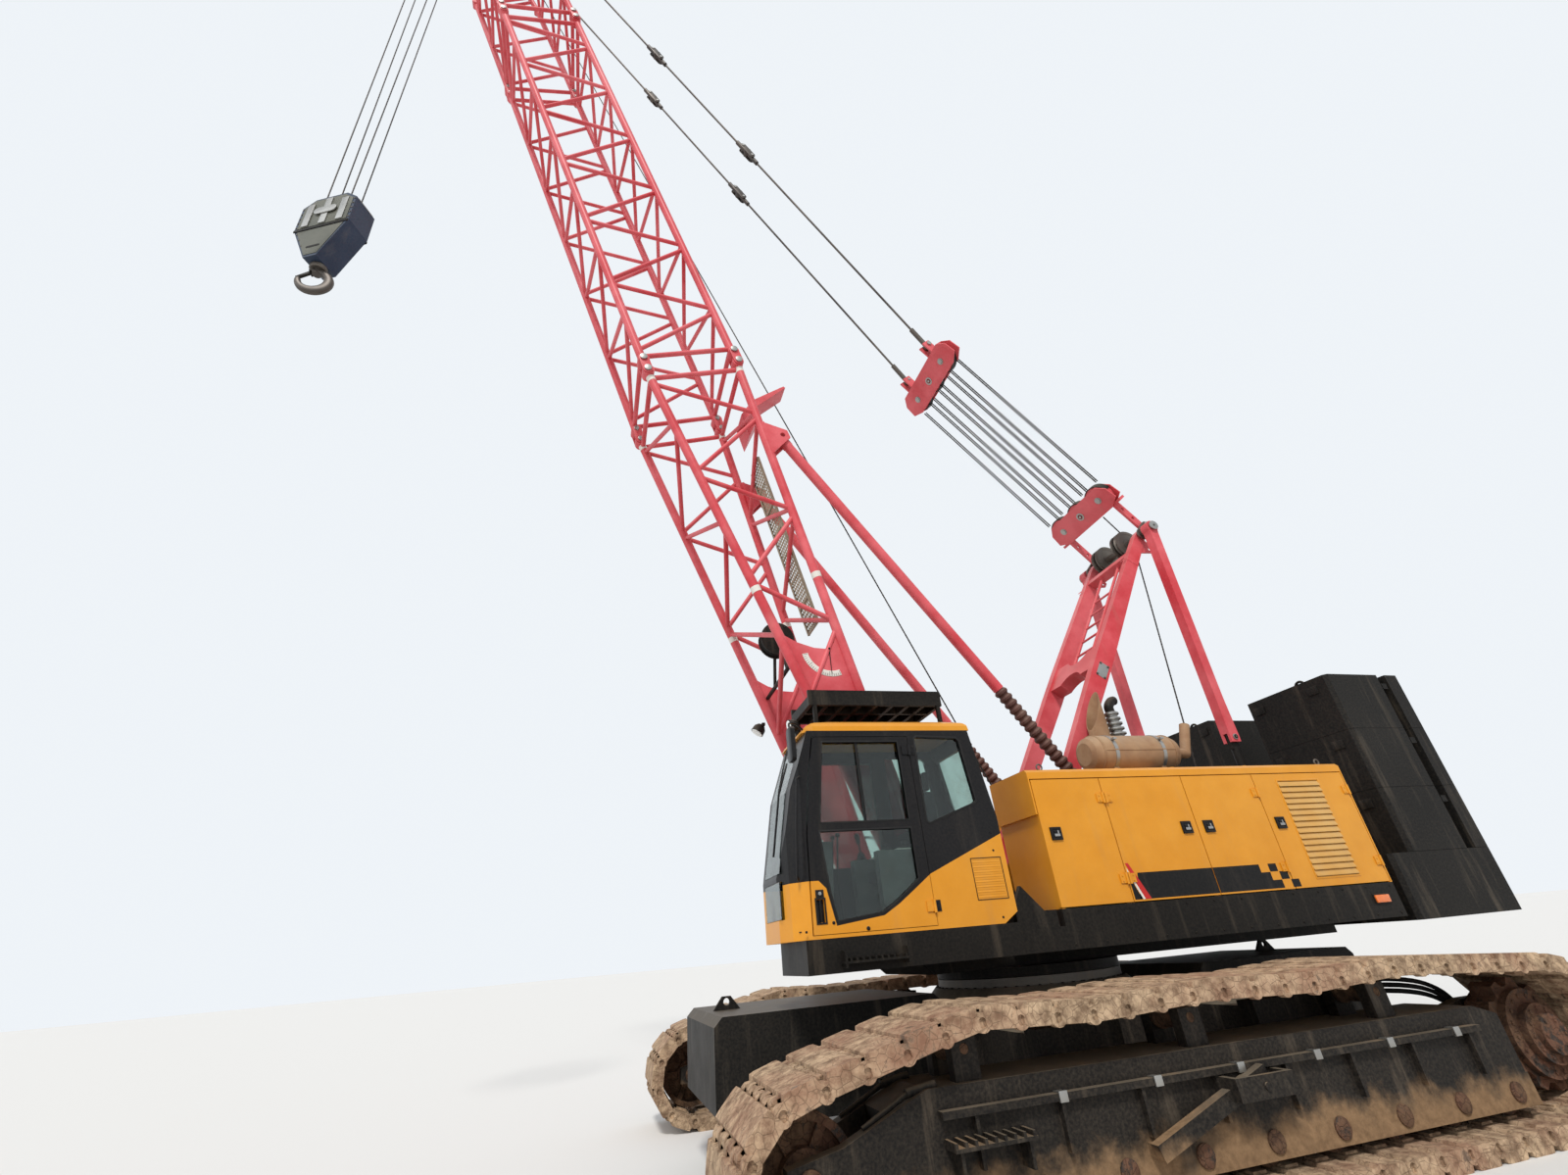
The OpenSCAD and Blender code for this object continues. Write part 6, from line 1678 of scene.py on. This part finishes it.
    def inside(self) -> None:
        """Adds levers, pedals, the monitor, the seat's base and the floor mat."""
        dark, pale, mid = Shape(), Shape(), 0.5 * (self.face + self.inner)
        dark.box((1.48, 0.87, self.floor - 0.002), (2.9, 1.55, self.floor + 0.006))
        for side in (-1, 1):
            y = mid + side * 0.305
            dark.lathe([
                (0.0, 0.0), (0.045, 0.0), (0.05, 0.012), (0.034, 0.03), (0.038, 0.044), (0.02, 0.072),
                (0.01, 0.076), (0.0, 0.076)], (2.05, y, 2.354), (0, 0, 1), 20)
            dark.rod((2.05, y, 2.42), (2.062, y, 2.52), 0.009, 10)
            dark.lathe(
                [(0.0, 0.0), (0.017, 0.0), (0.023, 0.03), (0.026, 0.075), (0.018, 0.098), (0.0, 0.104)],
                (2.06, y, 2.5), (0.12, 0, 1), 16)
            pale.box((1.68, y - 0.04, 2.354), (1.96, y + 0.04, 2.366))
            for k in range(5):
                dark.rod((1.72 + 0.05 * k, y, 2.362), (1.72 + 0.05 * k, y, 2.378), 0.01, 10)
            dark.tube([
                (2.42, mid + side * 0.07, 1.79), (2.44, mid + side * 0.07, 2.18),
                (2.4, mid + side * 0.07, 2.52)], 0.009, 8)
            dark.ball((2.398, mid + side * 0.07, 2.535), 0.022, 14)
            pedal = ((2.4, 0.01), (2.54, 0.075), (2.534, 0.085), (2.394, 0.022))
            dark.slab([(x, mid + side * 0.07 - 0.04, self.floor + z) for x, z in pedal], (0, 0.08, 0))
            dark.box((1.56, mid + side * 0.235 - 0.03, 2.4), (1.86, mid + side * 0.235 + 0.03, 2.44))
        dark.slab([
            (1.5, mid - 0.13, 2.9), (1.44, mid - 0.13, 2.9), (1.418, mid - 0.13, 3.06),
            (1.47, mid - 0.13, 3.07)], (0, 0.26, 0))
        for k in range(4):
            dark.box(
                (1.62 - 0.01 * (k % 2), mid - 0.17 - 0.01 * (k % 2), self.floor + 0.07 * k),
                (1.98 + 0.01 * (k % 2), mid + 0.17 + 0.01 * (k % 2), self.floor + 0.07 * (k + 1)))
        pale.slab([(2.64, 0.9, 2.47), (2.69, 0.9, 2.48), (2.65, 0.9, 2.69), (2.6, 0.9, 2.68)], (0, 0.23, 0))
        dark.rod((2.66, 1.015, 2.3), (2.66, 1.015, 2.48), 0.014, 10)
        dark.slab(
            [(2.637, 0.915, 2.485), (2.634, 0.915, 2.485), (2.599, 0.915, 2.668), (2.602, 0.915, 2.668)],
            (0, 0.2, 0))
        self.shop.make("cab_controls", dark, RUBBER, "upper", Slot.BLACK, bevel=0.002)
        self.shop.make("cab_panels", pale, WHITE_PLASTIC, "upper", Slot.PLASTIC, bevel=0.004)

    def seat(self) -> None:
        """Makes the padded seat in place of its plain solid."""
        low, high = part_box("operator_seat")
        floor, pads = low.z, Shape()
        pads.box((low.x + 0.1, low.y + 0.01, floor + 0.36), (high.x - 0.01, high.y - 0.01, floor + 0.47))
        pads.box((low.x + 0.02, low.y + 0.02, floor + 0.47), (low.x + 0.15, high.y - 0.02, high.z - 0.02))
        made = pads.obj("seat_pads", self.shop.library.get(SEAT_CLOTH), bevel=0.03, smooth=180)
        soft = made.modifiers.new("soft", "SUBSURF")
        soft.levels = soft.render_levels = 2
        plain(made)
        shade(made)
        dress(made, "upper", Slot.SEAT, "operator_seat")


@dataclass
class Boom:
    """The lattice boom with its joints, walkway, reel, scale and rope."""

    shop: Workshop
    side: float = 0.7
    depth: float = 0.65
    butt: float = 7.45
    insert: float = 9.0
    foot: float = 0.12
    taper: float = 0.53
    lamp_at: Point = (2.52, -0.79, 4.2)
    lamp_way: Point = (0.55, 0, -0.8)

    def build(self) -> None:
        """Finishes the solids and adds the small parts."""
        coat = self.shop.coat
        coat(RED_PAINT, "boom_butt", "boom_insert", "boom_tip", "rope_guard")
        coat(BARE_STEEL, "tip_sheaves")
        coat(BLACK_PAINT, "cable_reel")
        self.connections()
        self.markings()
        self.walkway()
        self.reel()
        self.head()
        self.hoist_rope()

    def chord(self, s: float) -> float:
        """Returns how far a chord of the butt is from its centre line."""
        return self.foot + self.taper * min(1.0, s / self.butt)

    def connections(self) -> None:
        """Pins the sections together with link plates and pins."""
        plates, pins = Shape(), Shape()
        for s in (self.butt, self.butt + self.insert):
            for d in (-self.depth, self.depth):
                for out in (-0.094, 0.079):
                    plates.link(s - 0.1, s + 0.1, d, 0.066, self.side + out, self.side + out + 0.015)
                for at in (s - 0.1, s + 0.1):
                    pins.rod((at, self.side - 0.112, d), (at, self.side + 0.104, d), 0.036, 20)
                    pins.rod((at, self.side + 0.1, d), (at, self.side + 0.118, d), 0.048, 20)
                    pins.rod((at - 0.052, self.side - 0.104, d), (at + 0.052, self.side - 0.104, d), 0.006, 8)
        pins.rod((0, self.side - 0.12, 0), (0, self.side + 0.112, 0), 0.052, 28)
        pins.rod((0, self.side + 0.1, 0), (0, self.side + 0.118, 0), 0.086, 28)
        self.shop.make(
            "joint_links", plates.both_sides().set_on(BOOM), RED_PAINT, "boom", Slot.RED, bevel=0.003)
        self.shop.make(
            "joint_pins", pins.both_sides().set_on(BOOM), GALVANISED, "boom", Slot.STEEL, bevel=0.002)

    def markings(self) -> None:
        """Adds the white bands, the boom angle scale with its pointer and the work lamp."""
        white, dark = Shape(), Shape()
        for s in (3.86, 7.19):
            for d in (-1, 1):
                white.band(
                    (s, self.side, d * self.chord(s)), (s + 0.075, self.side, d * self.chord(s + 0.075)),
                    0.057, 0.0592, 32)
        self.shop.make("chord_bands", white.both_sides().set_on(BOOM), WHITE_PAINT, "boom", Slot.RED)
        x, z, y = 2.05, 4.62, self.side + 0.011
        scale = Shape()
        scale.side_plate(arc(x, z, 0.33, -12, -111, 20) + arc(x, z, 0.262, -111, -12, 20), y, y + 0.005)
        for k in range(21):
            a = math.radians(-14 - 4.75 * k)
            r0, half = (0.272 if k % 5 == 0 else 0.296), 0.0016
            c, n = math.cos(a), math.sin(a)
            dark.side_plate([
                (x + r0 * c - half * n, z + r0 * n + half * c),
                (x + 0.326 * c - half * n, z + 0.326 * n + half * c),
                (x + 0.326 * c + half * n, z + 0.326 * n - half * c),
                (x + r0 * c + half * n, z + r0 * n - half * c)], y + 0.004, y + 0.0062)
        dark.side_plate(
            [(x - 0.006, z), (x + 0.006, z), (x + 0.003, z - 0.3), (x - 0.003, z - 0.3)], y + 0.01, y + 0.014)
        dark.rod((x, y, z), (x, y + 0.02, z), 0.014, 14)
        self.shop.make("angle_scale", scale, WHITE_PAINT, "boom", Slot.RED, bevel=0.001)
        lamp = [(0.0, 0.0), (0.05, 0.0), (0.078, 0.04), (0.084, 0.11), (0.0, 0.11)]
        dark.lathe(lamp, self.lamp_at, self.lamp_way, 24)
        dark.box((2.49, -0.8, 4.18), (2.53, -0.7, 4.215))
        self.shop.make("boom_fittings", dark, BLACK_PAINT, "boom", Slot.BLACK)
        lens = Shape()
        lens.lathe(
            [(0.0, 0.109), (0.076, 0.109), (0.072, 0.116), (0.0, 0.122)], self.lamp_at, self.lamp_way, 24)
        self.shop.make("boom_lens", lens, self.shop.library.lamp(*CLEAR_LENS), "boom", Slot.GLASS)

    def walkway(self) -> None:
        """Replaces the walkway's plain plate by pierced sheet on angle irons."""
        start = BOOM.at(3.5, self.chord(3.5) + 0.0305)
        deck = Member(start[0], start[2], BOOM.angle + math.degrees(math.atan2(self.taper, self.butt)))
        length, half, rows, columns = 2.606, 0.21, 44, 7
        irons = Shape()
        for side in (-1, 1):
            irons.box((0.0, side * half - 0.004, 0.0), (length, side * half + 0.004, 0.03))
            irons.box((0.0, side * (half - 0.02) - 0.02, 0.0), (length, side * (half - 0.02) + 0.02, 0.005))
        for k in range(8):
            s = 0.012 + (length - 0.024) * k / 7
            irons.box((s - 0.012, -half, 0.002), (s + 0.012, half, 0.02))
        self.shop.make(
            "walkway_irons", irons.set_on(deck), WALKWAY_PAINT, "boom", Slot.WALKWAY, "boom_walkway")
        pitch, across = length / rows, 2 * (half - 0.004) / columns
        tile, corner = Shape(), [math.radians(45 * k) for k in range(8)]
        reach = [max(abs(math.cos(a)), abs(math.sin(a))) for a in corner]
        outer = [
            Vector((across / 2 * math.cos(a) / m, pitch / 2 * math.sin(a) / m))
            for a, m in zip(corner, reach)]
        tile.frame(outer, [Vector((0.019 * math.cos(a), 0.019 * math.sin(a))) for a in corner], -0.002, 0.002)
        turn = facing(deck.way(1.0), deck.way(0.0, 1.0))
        places = [
            Place(deck.at(pitch * (i + 0.5), 0.0225, across * (k - (columns - 1) / 2)), turn)
            for i in range(rows) for k in range(columns)]
        self.shop.spread("walkway_sheet", tile, places, WALKWAY_PAINT, "boom", Slot.WALKWAY)

    def reel(self) -> None:
        """Winds the cable on its reel."""
        wound = [(0.15, -0.058)] + [
            (r, -0.058 + 0.0145 * (k + h)) for k in range(8)
            for h, r in ((0.08, 0.178), (0.5, 0.186), (0.92, 0.178))] + [(0.15, 0.058)]
        cable = Shape()
        cable.lathe(wound, (3.48, 0, -0.12), (0, 1, 0), 32)
        self.shop.make("reel_cable", cable.set_on(BOOM), RUBBER, "boom", Slot.BLACK)

    def head(self) -> None:
        """Adds the guide sheave behind the boom's head and the ends of the head's shafts."""
        guide, ends = Shape(), []
        guide.rod((21.9, -0.462, 0.3), (21.9, 0.462, 0.3), 0.04, 20)
        guide.lathe([
            (0.04, -0.026), (0.17, -0.026), (0.17, -0.018), (0.14, -0.004), (0.14, 0.004), (0.17, 0.018),
            (0.17, 0.026), (0.04, 0.026)], (21.9, -0.15, 0.3), (0, 1, 0), 40)
        self.shop.make("guide_sheave", guide.set_on(BOOM), BARE_STEEL, "boom", Slot.STEEL)
        for side in (-1, 1):
            ends += ring(BOOM.at(22.34, -0.56, side * 0.52), (0, side, 0), 0.036, 4)
            for s, d in ((21.3, 0.2), (21.3, -0.2), (21.8, -0.45), (22.1, 0.3)):
                ends.append((BOOM.at(s, d, side * 0.491), (0, side, 0)))
        self.shop.bolts("head_bolts", 0.014, ends, "boom")

    def hoist_rope(self) -> None:
        """Leads the hoist rope from the front winch to the boom's head."""
        start, guard, top = (-0.585, -0.2, 2.29), (2.039, -0.2, 8.1), BOOM.at(21.88, 0.445, -0.15)
        down = [
            BOOM.at(21.9 + 0.146 * math.cos(a), 0.3 + 0.146 * math.sin(a), -0.15)
            for a in (math.radians(80 - 15 * k) for k in range(8))]
        path = row(start, top, 60) + down + [BOOM.at(22.15, -0.34, -0.15)]
        rope = self.shop.lay("hoist_lead", [path], 0.011, None)
        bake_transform(rope)


@dataclass
class Rigging:
    """Gantry, spreaders, pendants, backstops, ropes, block and hook."""

    shop: Workshop
    head: tuple[float, float] = (-3.18, 6.71)
    sheaves: tuple[float, float, float] = (-0.44, 0.0, 0.44)
    tip: tuple[float, float] = (8.5787, 22.875)
    block_z: float = 11.475
    block_turn: float = -25.0

    def build(self) -> None:
        """Finishes the solids, lays the ropes and adds the small parts."""
        coat = self.shop.coat
        coat(RED_PAINT, "lower_spreader", "upper_spreader", "backstop_tubes")
        coat(PENDANT_STEEL, "pendant_lines")
        coat(ROD_STEEL, "backstop_rods")
        coat(SPRING_PAINT, "backstop_springs")
        coat(BLOCK_NAVY, "hook_block")
        self.luffing()
        self.hoist()
        self.gantry()
        self.spreaders()
        self.pendants()
        self.block()
        self.forging()

    def luffing(self) -> None:
        """Lays the ropes between the spreaders and the one from the rear winch to the gantry's head."""
        across = (-0.62, -0.38, -0.26, -0.06, 0.06, 0.26, 0.38, 0.62)
        paths = [
            [LOWER_LINK.at(0.96, d, y), LOWER_LINK.at(3.881, d, y)] for y in across for d in (-0.022, 0.022)]
        ropes = self.shop.lay("luffing_strands", paths, ROPE_R, None, "luffing_ropes")
        LOWER_LINK.at(0.96)
        LOWER_LINK.at(3.881)
        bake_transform(ropes)
        over = [(x, 0.18, z) for x, z in arc(*self.head, 0.206, 186, 140.28)]
        self.shop.lay(
            "luffing_lead", [[(-2.895, 0.18, 2.18)] + over + [LOWER_LINK.at(0.5, -0.01, 0.23)]], ROPE_R,
            "upper")

    def hoist(self) -> None:
        """Lays the falls of the hoist rope."""
        c, n = math.cos(math.radians(self.block_turn)), math.sin(math.radians(self.block_turn))
        paths = [
            [
                (self.tip[0] + s * 0.201 * c - t * 0.09 * n, s * 0.201 * n + t * 0.09 * c, 11.48),
                (self.tip[0] + s * 0.201, t * 0.15, self.tip[1])] for s in (-1, 1) for t in (-1, 1)]
        ropes = self.shop.lay("hoist_falls", paths, ROPE_R, None, "hoist_ropes")
        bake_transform(ropes)

    def gantry(self) -> None:
        """Adds the gantry's blank plate, the ends of its pins, bolts and seams."""
        plate, pins, seams = Shape(), Shape(), Shape()
        plate.box((2.75, 0.555, -0.055), (2.96, 0.559, 0.085))
        self.shop.make("leg_plate", plate.set_on(GANTRY_LEG), GALVANISED, "upper", Slot.STEEL, bevel=0.002)
        heads = [(GANTRY_LEG.at(s, d, 0.559), (0, 1, 0)) for s in (2.765, 2.945) for d in (-0.04, 0.07)]
        for x, z, r, y0, y1 in (
                (-0.1, 2.15, 0.04, 0.594, 0.612), (-1.05, 2.7, 0.044, 0.753, 0.77),
                (-3.14, 3.56, 0.036, 0.794, 0.808), (-3.18, 6.71, 0.072, 0.818, 0.834),
                (-3.28, 6.86, 0.042, 0.638, 0.652)):
            pins.rod((x, y0, z), (x, y1, z), r, 24)
            heads.append(((x, y1, z), (0, 1, 0)))
        self.shop.make("gantry_pins", pins.both_sides(), GALVANISED, "upper", Slot.STEEL, bevel=0.002)
        self.shop.bolts(
            "gantry_bolts", 0.013, heads + [((x, -y, z), (0, -1, 0)) for (x, y, z), _ in heads[4:]], "upper")
        for s in (1.2, 4.9):
            seams.box((s - 0.012, 0.443, -0.122), (s + 0.012, 0.557, -0.118))
            seams.box((s - 0.012, 0.554, -0.095), (s + 0.012, 0.56, 0.095))
        self.shop.make(
            "leg_seams", seams.both_sides().set_on(GANTRY_LEG), RED_PAINT, "upper", Slot.RED, bevel=0.002)

    def spreaders(self) -> None:
        """Adds the spreaders' pins and the black guards round their sheaves."""
        for name, member, t, body, turn in (
                ("lower", LOWER_LINK, 0.74, "lower_spreader", -80),
                ("upper", UPPER_LINK, -0.28, "pendants", 100)):
            pins, guards = Shape(), Shape()
            for y in self.sheaves:
                r = 0.038 if y else 0.02
                pins.rod((t, y, -0.092), (t, y, 0.092), r, 20)
                pins.band((t, y, -0.086), (t, y, 0.086), 0.041, 0.054 if y else 0.064, 24)
                ring_out = arc(t, y, 0.226, turn, turn + 160, 20) + arc(t, y, 0.213, turn + 160, turn, 20)
                guards.slab([(a, b, -0.056) for a, b in ring_out], (0, 0, 0.112))
            self.shop.make(name + "_spreader_pins", pins.set_on(member), GALVANISED, body, Slot.STEEL)
            self.shop.make(name + "_spreader_guards", guards.set_on(member), BLACK_PAINT, body, Slot.BLACK)

    def pendants(self) -> None:
        """Adds the forks and pins of the pendants' couplings."""
        forks, pins = Shape(), Shape()
        for s in (5.3865, 8.6523):
            for out in (-0.058, 0.044):
                forks.link(s - 0.15, s + 0.15, 0.0, 0.056, 0.4 + out, 0.4 + out + 0.014)
            for at in (s - 0.15, s + 0.15):
                pins.rod((at, 0.33, 0), (at, 0.47, 0), 0.026, 16)
        for s in (0.0, 14.8716):
            pins.rod((s, 0.312 if s else 0.322, 0), (s, 0.488 if s else 0.478, 0), 0.024, 16)
            pins.rod((s, 0.484 if s else 0.478, 0), (s, 0.498 if s else 0.492, 0), 0.038, 16)
        self.shop.make(
            "pendant_forks", forks.both_sides().set_on(PENDANT), PENDANT_STEEL, "pendants", Slot.PENDANT,
            bevel=0.002)
        self.shop.make("pendant_pins", pins.both_sides().set_on(PENDANT), GALVANISED, "pendants", Slot.STEEL)

    def block(self) -> None:
        """Dresses the hook block's cheeks and adds the hook's nut and latch."""
        place = (
            Matrix.Translation((self.tip[0], 0, self.block_z))
            @ Matrix.Rotation(math.radians(self.block_turn), 4, "Z"))
        panels, ribs, dark, heads = Shape(), Shape(), Shape(), []
        for side in (-1, 1):
            y = side * 0.18
            panels.side_plate([
                (-0.385, -0.3), (0.385, -0.3), (0.385, 0.185), (0.232, 0.312), (-0.232, 0.312),
                (-0.385, 0.185)], y - side * 0.001, y + side * 0.008)
            panels.side_plate(
                [(-0.1, -0.955), (0.1, -0.955), (0.362, -0.38), (-0.362, -0.38)], y - side * 0.001,
                y + side * 0.006)
            # Three raised ribs on each cheek. Their pale zinc finish is partly a painted highlight: it stands
            # in for light strips along the cheeks.
            for x in (-0.27, 0.0, 0.27):
                ribs.side_plate([
                    (x - 0.052, -0.285), (x + 0.052, -0.285), (x + 0.052, 0.21 + 0.075 * (x == 0)),
                    (x - 0.052, 0.21 + 0.075 * (x == 0))], y + side * 0.007, y + side * 0.022)
            ribs.link(-0.11, 0.11, 0.0, 0.07, y + side * 0.021, y + side * 0.036)
            dark.side_plate(
                [(-0.425, -0.365), (0.425, -0.365), (0.425, -0.322), (-0.425, -0.322)], y - side * 0.001,
                y + side * 0.012)
            dark.link(-0.085, 0.085, -0.79, 0.022, y + side * 0.005, y + side * 0.009)
            edge = row((0.408, 0, -0.26), (0.408, 0, 0.16), 5) + row((0.41, 0, -0.345), (-0.41, 0, -0.345), 7)
            edge += row((-0.408, 0, -0.26), (-0.408, 0, 0.16), 5) + row((0.2, 0, -0.72), (0.35, 0, -0.42), 3)
            heads += [
                (tuple(place @ Vector((p[0], y, p[2]))), tuple(place.to_3x3() @ Vector((0, side, 0))))
                for p in edge]
        for side in (-1, 1):
            ribs.box((side * 0.43 - 0.006, -0.142, 0.188), (side * 0.43 + 0.006, 0.142, 0.204))
            dark.rod((side * 0.3, -0.142, 0.25), (side * 0.3, 0.142, 0.25), 0.018, 12)
        for name, shape, finish, slot in (
                ("block_panels", panels, BLOCK_OLIVE, Slot.BLACK),
                ("block_ribs", ribs, GALVANISED, Slot.STEEL), ("block_bands", dark, BLACK_PAINT, Slot.BLACK)):
            self.shop.make(name, shape.moved(place), finish, "hook_block", slot, bevel=0.002)
        self.shop.bolts("block_bolts", 0.013, heads, "hook_block")
        nut, latch, x = Shape(), Shape(), self.tip[0]
        nut.lathe(
            [(0.0, 0.0), (0.1, 0.0), (0.11, -0.012), (0.11, -0.05), (0.094, -0.066), (0.0, -0.066)],
            (x, 0, 10.468), (0, 0, 1), 28)
        latch.side_plate(
            [(x + 0.052, 10.338), (x + 0.088, 10.352), (x + 0.226, 10.215), (x + 0.206, 10.19)], -0.02, 0.02)
        latch.rod((x + 0.068, -0.052, 10.34), (x + 0.068, 0.052, 10.34), 0.014, 12)
        self.shop.make("hook_nut", nut, BARE_STEEL, "hook", Slot.STEEL)
        self.shop.make("hook_latch", latch, BLACK_PAINT, "hook", Slot.BLACK, bevel=0.002)

    def forging(self) -> None:
        """Forges the hook, thick at its bow and thin at its tip, in place of its flat solid."""
        bow, throat, thick, steps, sides = 0.238, 0.129, 0.0465, 48, 20
        x, z, offset = self.tip[0], 10.174, Vector((0.015, 0.022))
        rings = []
        for k in range(steps + 1):
            share = k / steps
            a = math.radians(76 + 300 * share)
            way = Vector((math.cos(a), math.sin(a)))
            inner = offset.dot(way) + math.sqrt(throat ** 2 - offset.length_squared + offset.dot(way) ** 2)
            slim = 1.0 - 0.25 * max(0.0, share - 0.6) / 0.4
            nose = math.sqrt(max(0.1, 1.0 - (max(0.0, share - 0.93) / 0.072) ** 2))
            half, deep, middle = (bow - inner) / 2 * slim * nose, thick * slim * nose, (bow + inner) / 2
            points = []
            for n in range(sides):
                c, s = math.cos(math.tau * n / sides), math.sin(math.tau * n / sides)
                out = middle + half * math.copysign(abs(c) ** 0.75, c)
                points.append((x + out * way.x, deep * math.copysign(abs(s) ** 0.75, s), z + out * way.y))
            rings.append(points)
        hook = Shape()
        hook.loft(rings)
        hook.lathe([
            (0.0, 0.0), (0.055, 0.0), (0.055, -0.06), (0.047, -0.072), (0.047, -0.1), (0.056, -0.15),
            (0.0, -0.15)], (x, 0, 10.469), (0, 0, 1), 28)
        self.shop.make("hook_forging", hook, PENDANT_STEEL, "hook", Slot.BLACK, "hook", smooth=60)


@dataclass
class Studio:
    """Camera, floor, lamps and background."""

    eye: Point = (4.545, 7.351, 1.642)
    yaw: float = -17.02
    pitch: float = 28.36
    roll: float = -5.19
    lens: float = 15.49
    floor_r: float = 260.0

    def camera(self) -> None:
        """Sets the camera where the photograph was taken from."""
        yaw, pitch, roll = (math.radians(v) for v in (self.yaw, self.pitch, self.roll))
        ahead = Vector((math.sin(yaw) * math.cos(pitch), -math.cos(yaw) * math.cos(pitch), math.sin(pitch)))
        right = ahead.cross(Vector((0, 0, 1))).normalized()
        up = right.cross(ahead)
        r = math.cos(roll) * right + math.sin(roll) * up
        u = -math.sin(roll) * right + math.cos(roll) * up
        data = bpy.data.cameras.new("eye")
        data.lens, data.sensor_width = self.lens, 36.0
        data.clip_start, data.clip_end = 0.05, 1500.0
        eye = linked("eye", data)
        turn = Matrix((r, u, -ahead)).transposed().to_4x4()
        eye.matrix_world = Matrix.Translation(self.eye) @ turn
        bpy.context.scene.camera = eye

    def floor(self) -> None:
        """Lays the pale floor."""
        mesh = bmesh.new()
        bmesh.ops.create_circle(mesh, cap_ends=True, segments=96, radius=self.floor_r)
        data = bpy.data.meshes.new("floor")
        mesh.to_mesh(data)
        mesh.free()
        made = linked("floor", data)
        material = bpy.data.materials.new("pale_floor")
        material.use_nodes = True
        inputs = material.node_tree.nodes["Principled BSDF"].inputs
        inputs["Base Color"].default_value, inputs["Roughness"].default_value = (0.74, 0.73, 0.71, 1), 0.9
        data.materials.append(material)

    def lamp(self, name: str, towards: Point, strength: float, angle: float, colour: RGB = (1, 1, 1)) -> None:
        """Adds a sun lamp that stands in a direction."""
        data = bpy.data.lights.new(name, "SUN")
        data.energy, data.angle, data.color = strength, math.radians(angle), colour
        linked(name, data).rotation_euler = Vector(towards).to_track_quat("Z", "Y").to_euler()

    def world(self) -> None:
        """Sets the soft ambient light and a pale background."""
        world = bpy.data.worlds.new("studio")
        bpy.context.scene.world = world
        world.use_nodes = True
        world.node_tree.nodes.clear()
        g = Graph(world.node_tree)
        path = g.add("ShaderNodeLightPath").outputs
        seen = g.math(
            "MAXIMUM", g.math("MAXIMUM", path["Is Camera Ray"], path["Is Glossy Ray"]),
            path["Is Transmission Ray"])
        light = g.add("ShaderNodeBackground", {"Color": (0.93, 0.96, 1.0), "Strength": 0.62})
        back = g.add("ShaderNodeBackground", {"Color": (0.86, 0.9, 0.94), "Strength": 1.0})
        mix = g.add("ShaderNodeMixShader", {0: seen, 1: light.outputs[0], 2: back.outputs[0]})
        g.add("ShaderNodeOutputWorld", {"Surface": mix.outputs[0]})

    def build(self) -> None:
        """Builds the studio."""
        self.camera()
        self.floor()
        self.world()
        self.lamp("key", (0.3, 0.75, 0.95), 2.1, 9.0, (1.0, 0.98, 0.94))
        self.lamp("fill", (0.85, 0.35, 0.45), 0.55, 40.0, (0.94, 0.97, 1.0))
        bpy.context.scene.view_settings.view_transform = "Standard"


def main() -> None:
    """Builds the studio and every sub-assembly in order."""
    logging.basicConfig(level=logging.INFO, format="%(name)s: %(message)s")
    shop = Workshop()
    Studio().build()
    for assembly in (Tracks, Undercarriage, UpperWorks, Cab, Boom, Rigging):
        assembly(shop).build()
    bpy.context.view_layer.update()


if __name__ == "__main__":
    main()
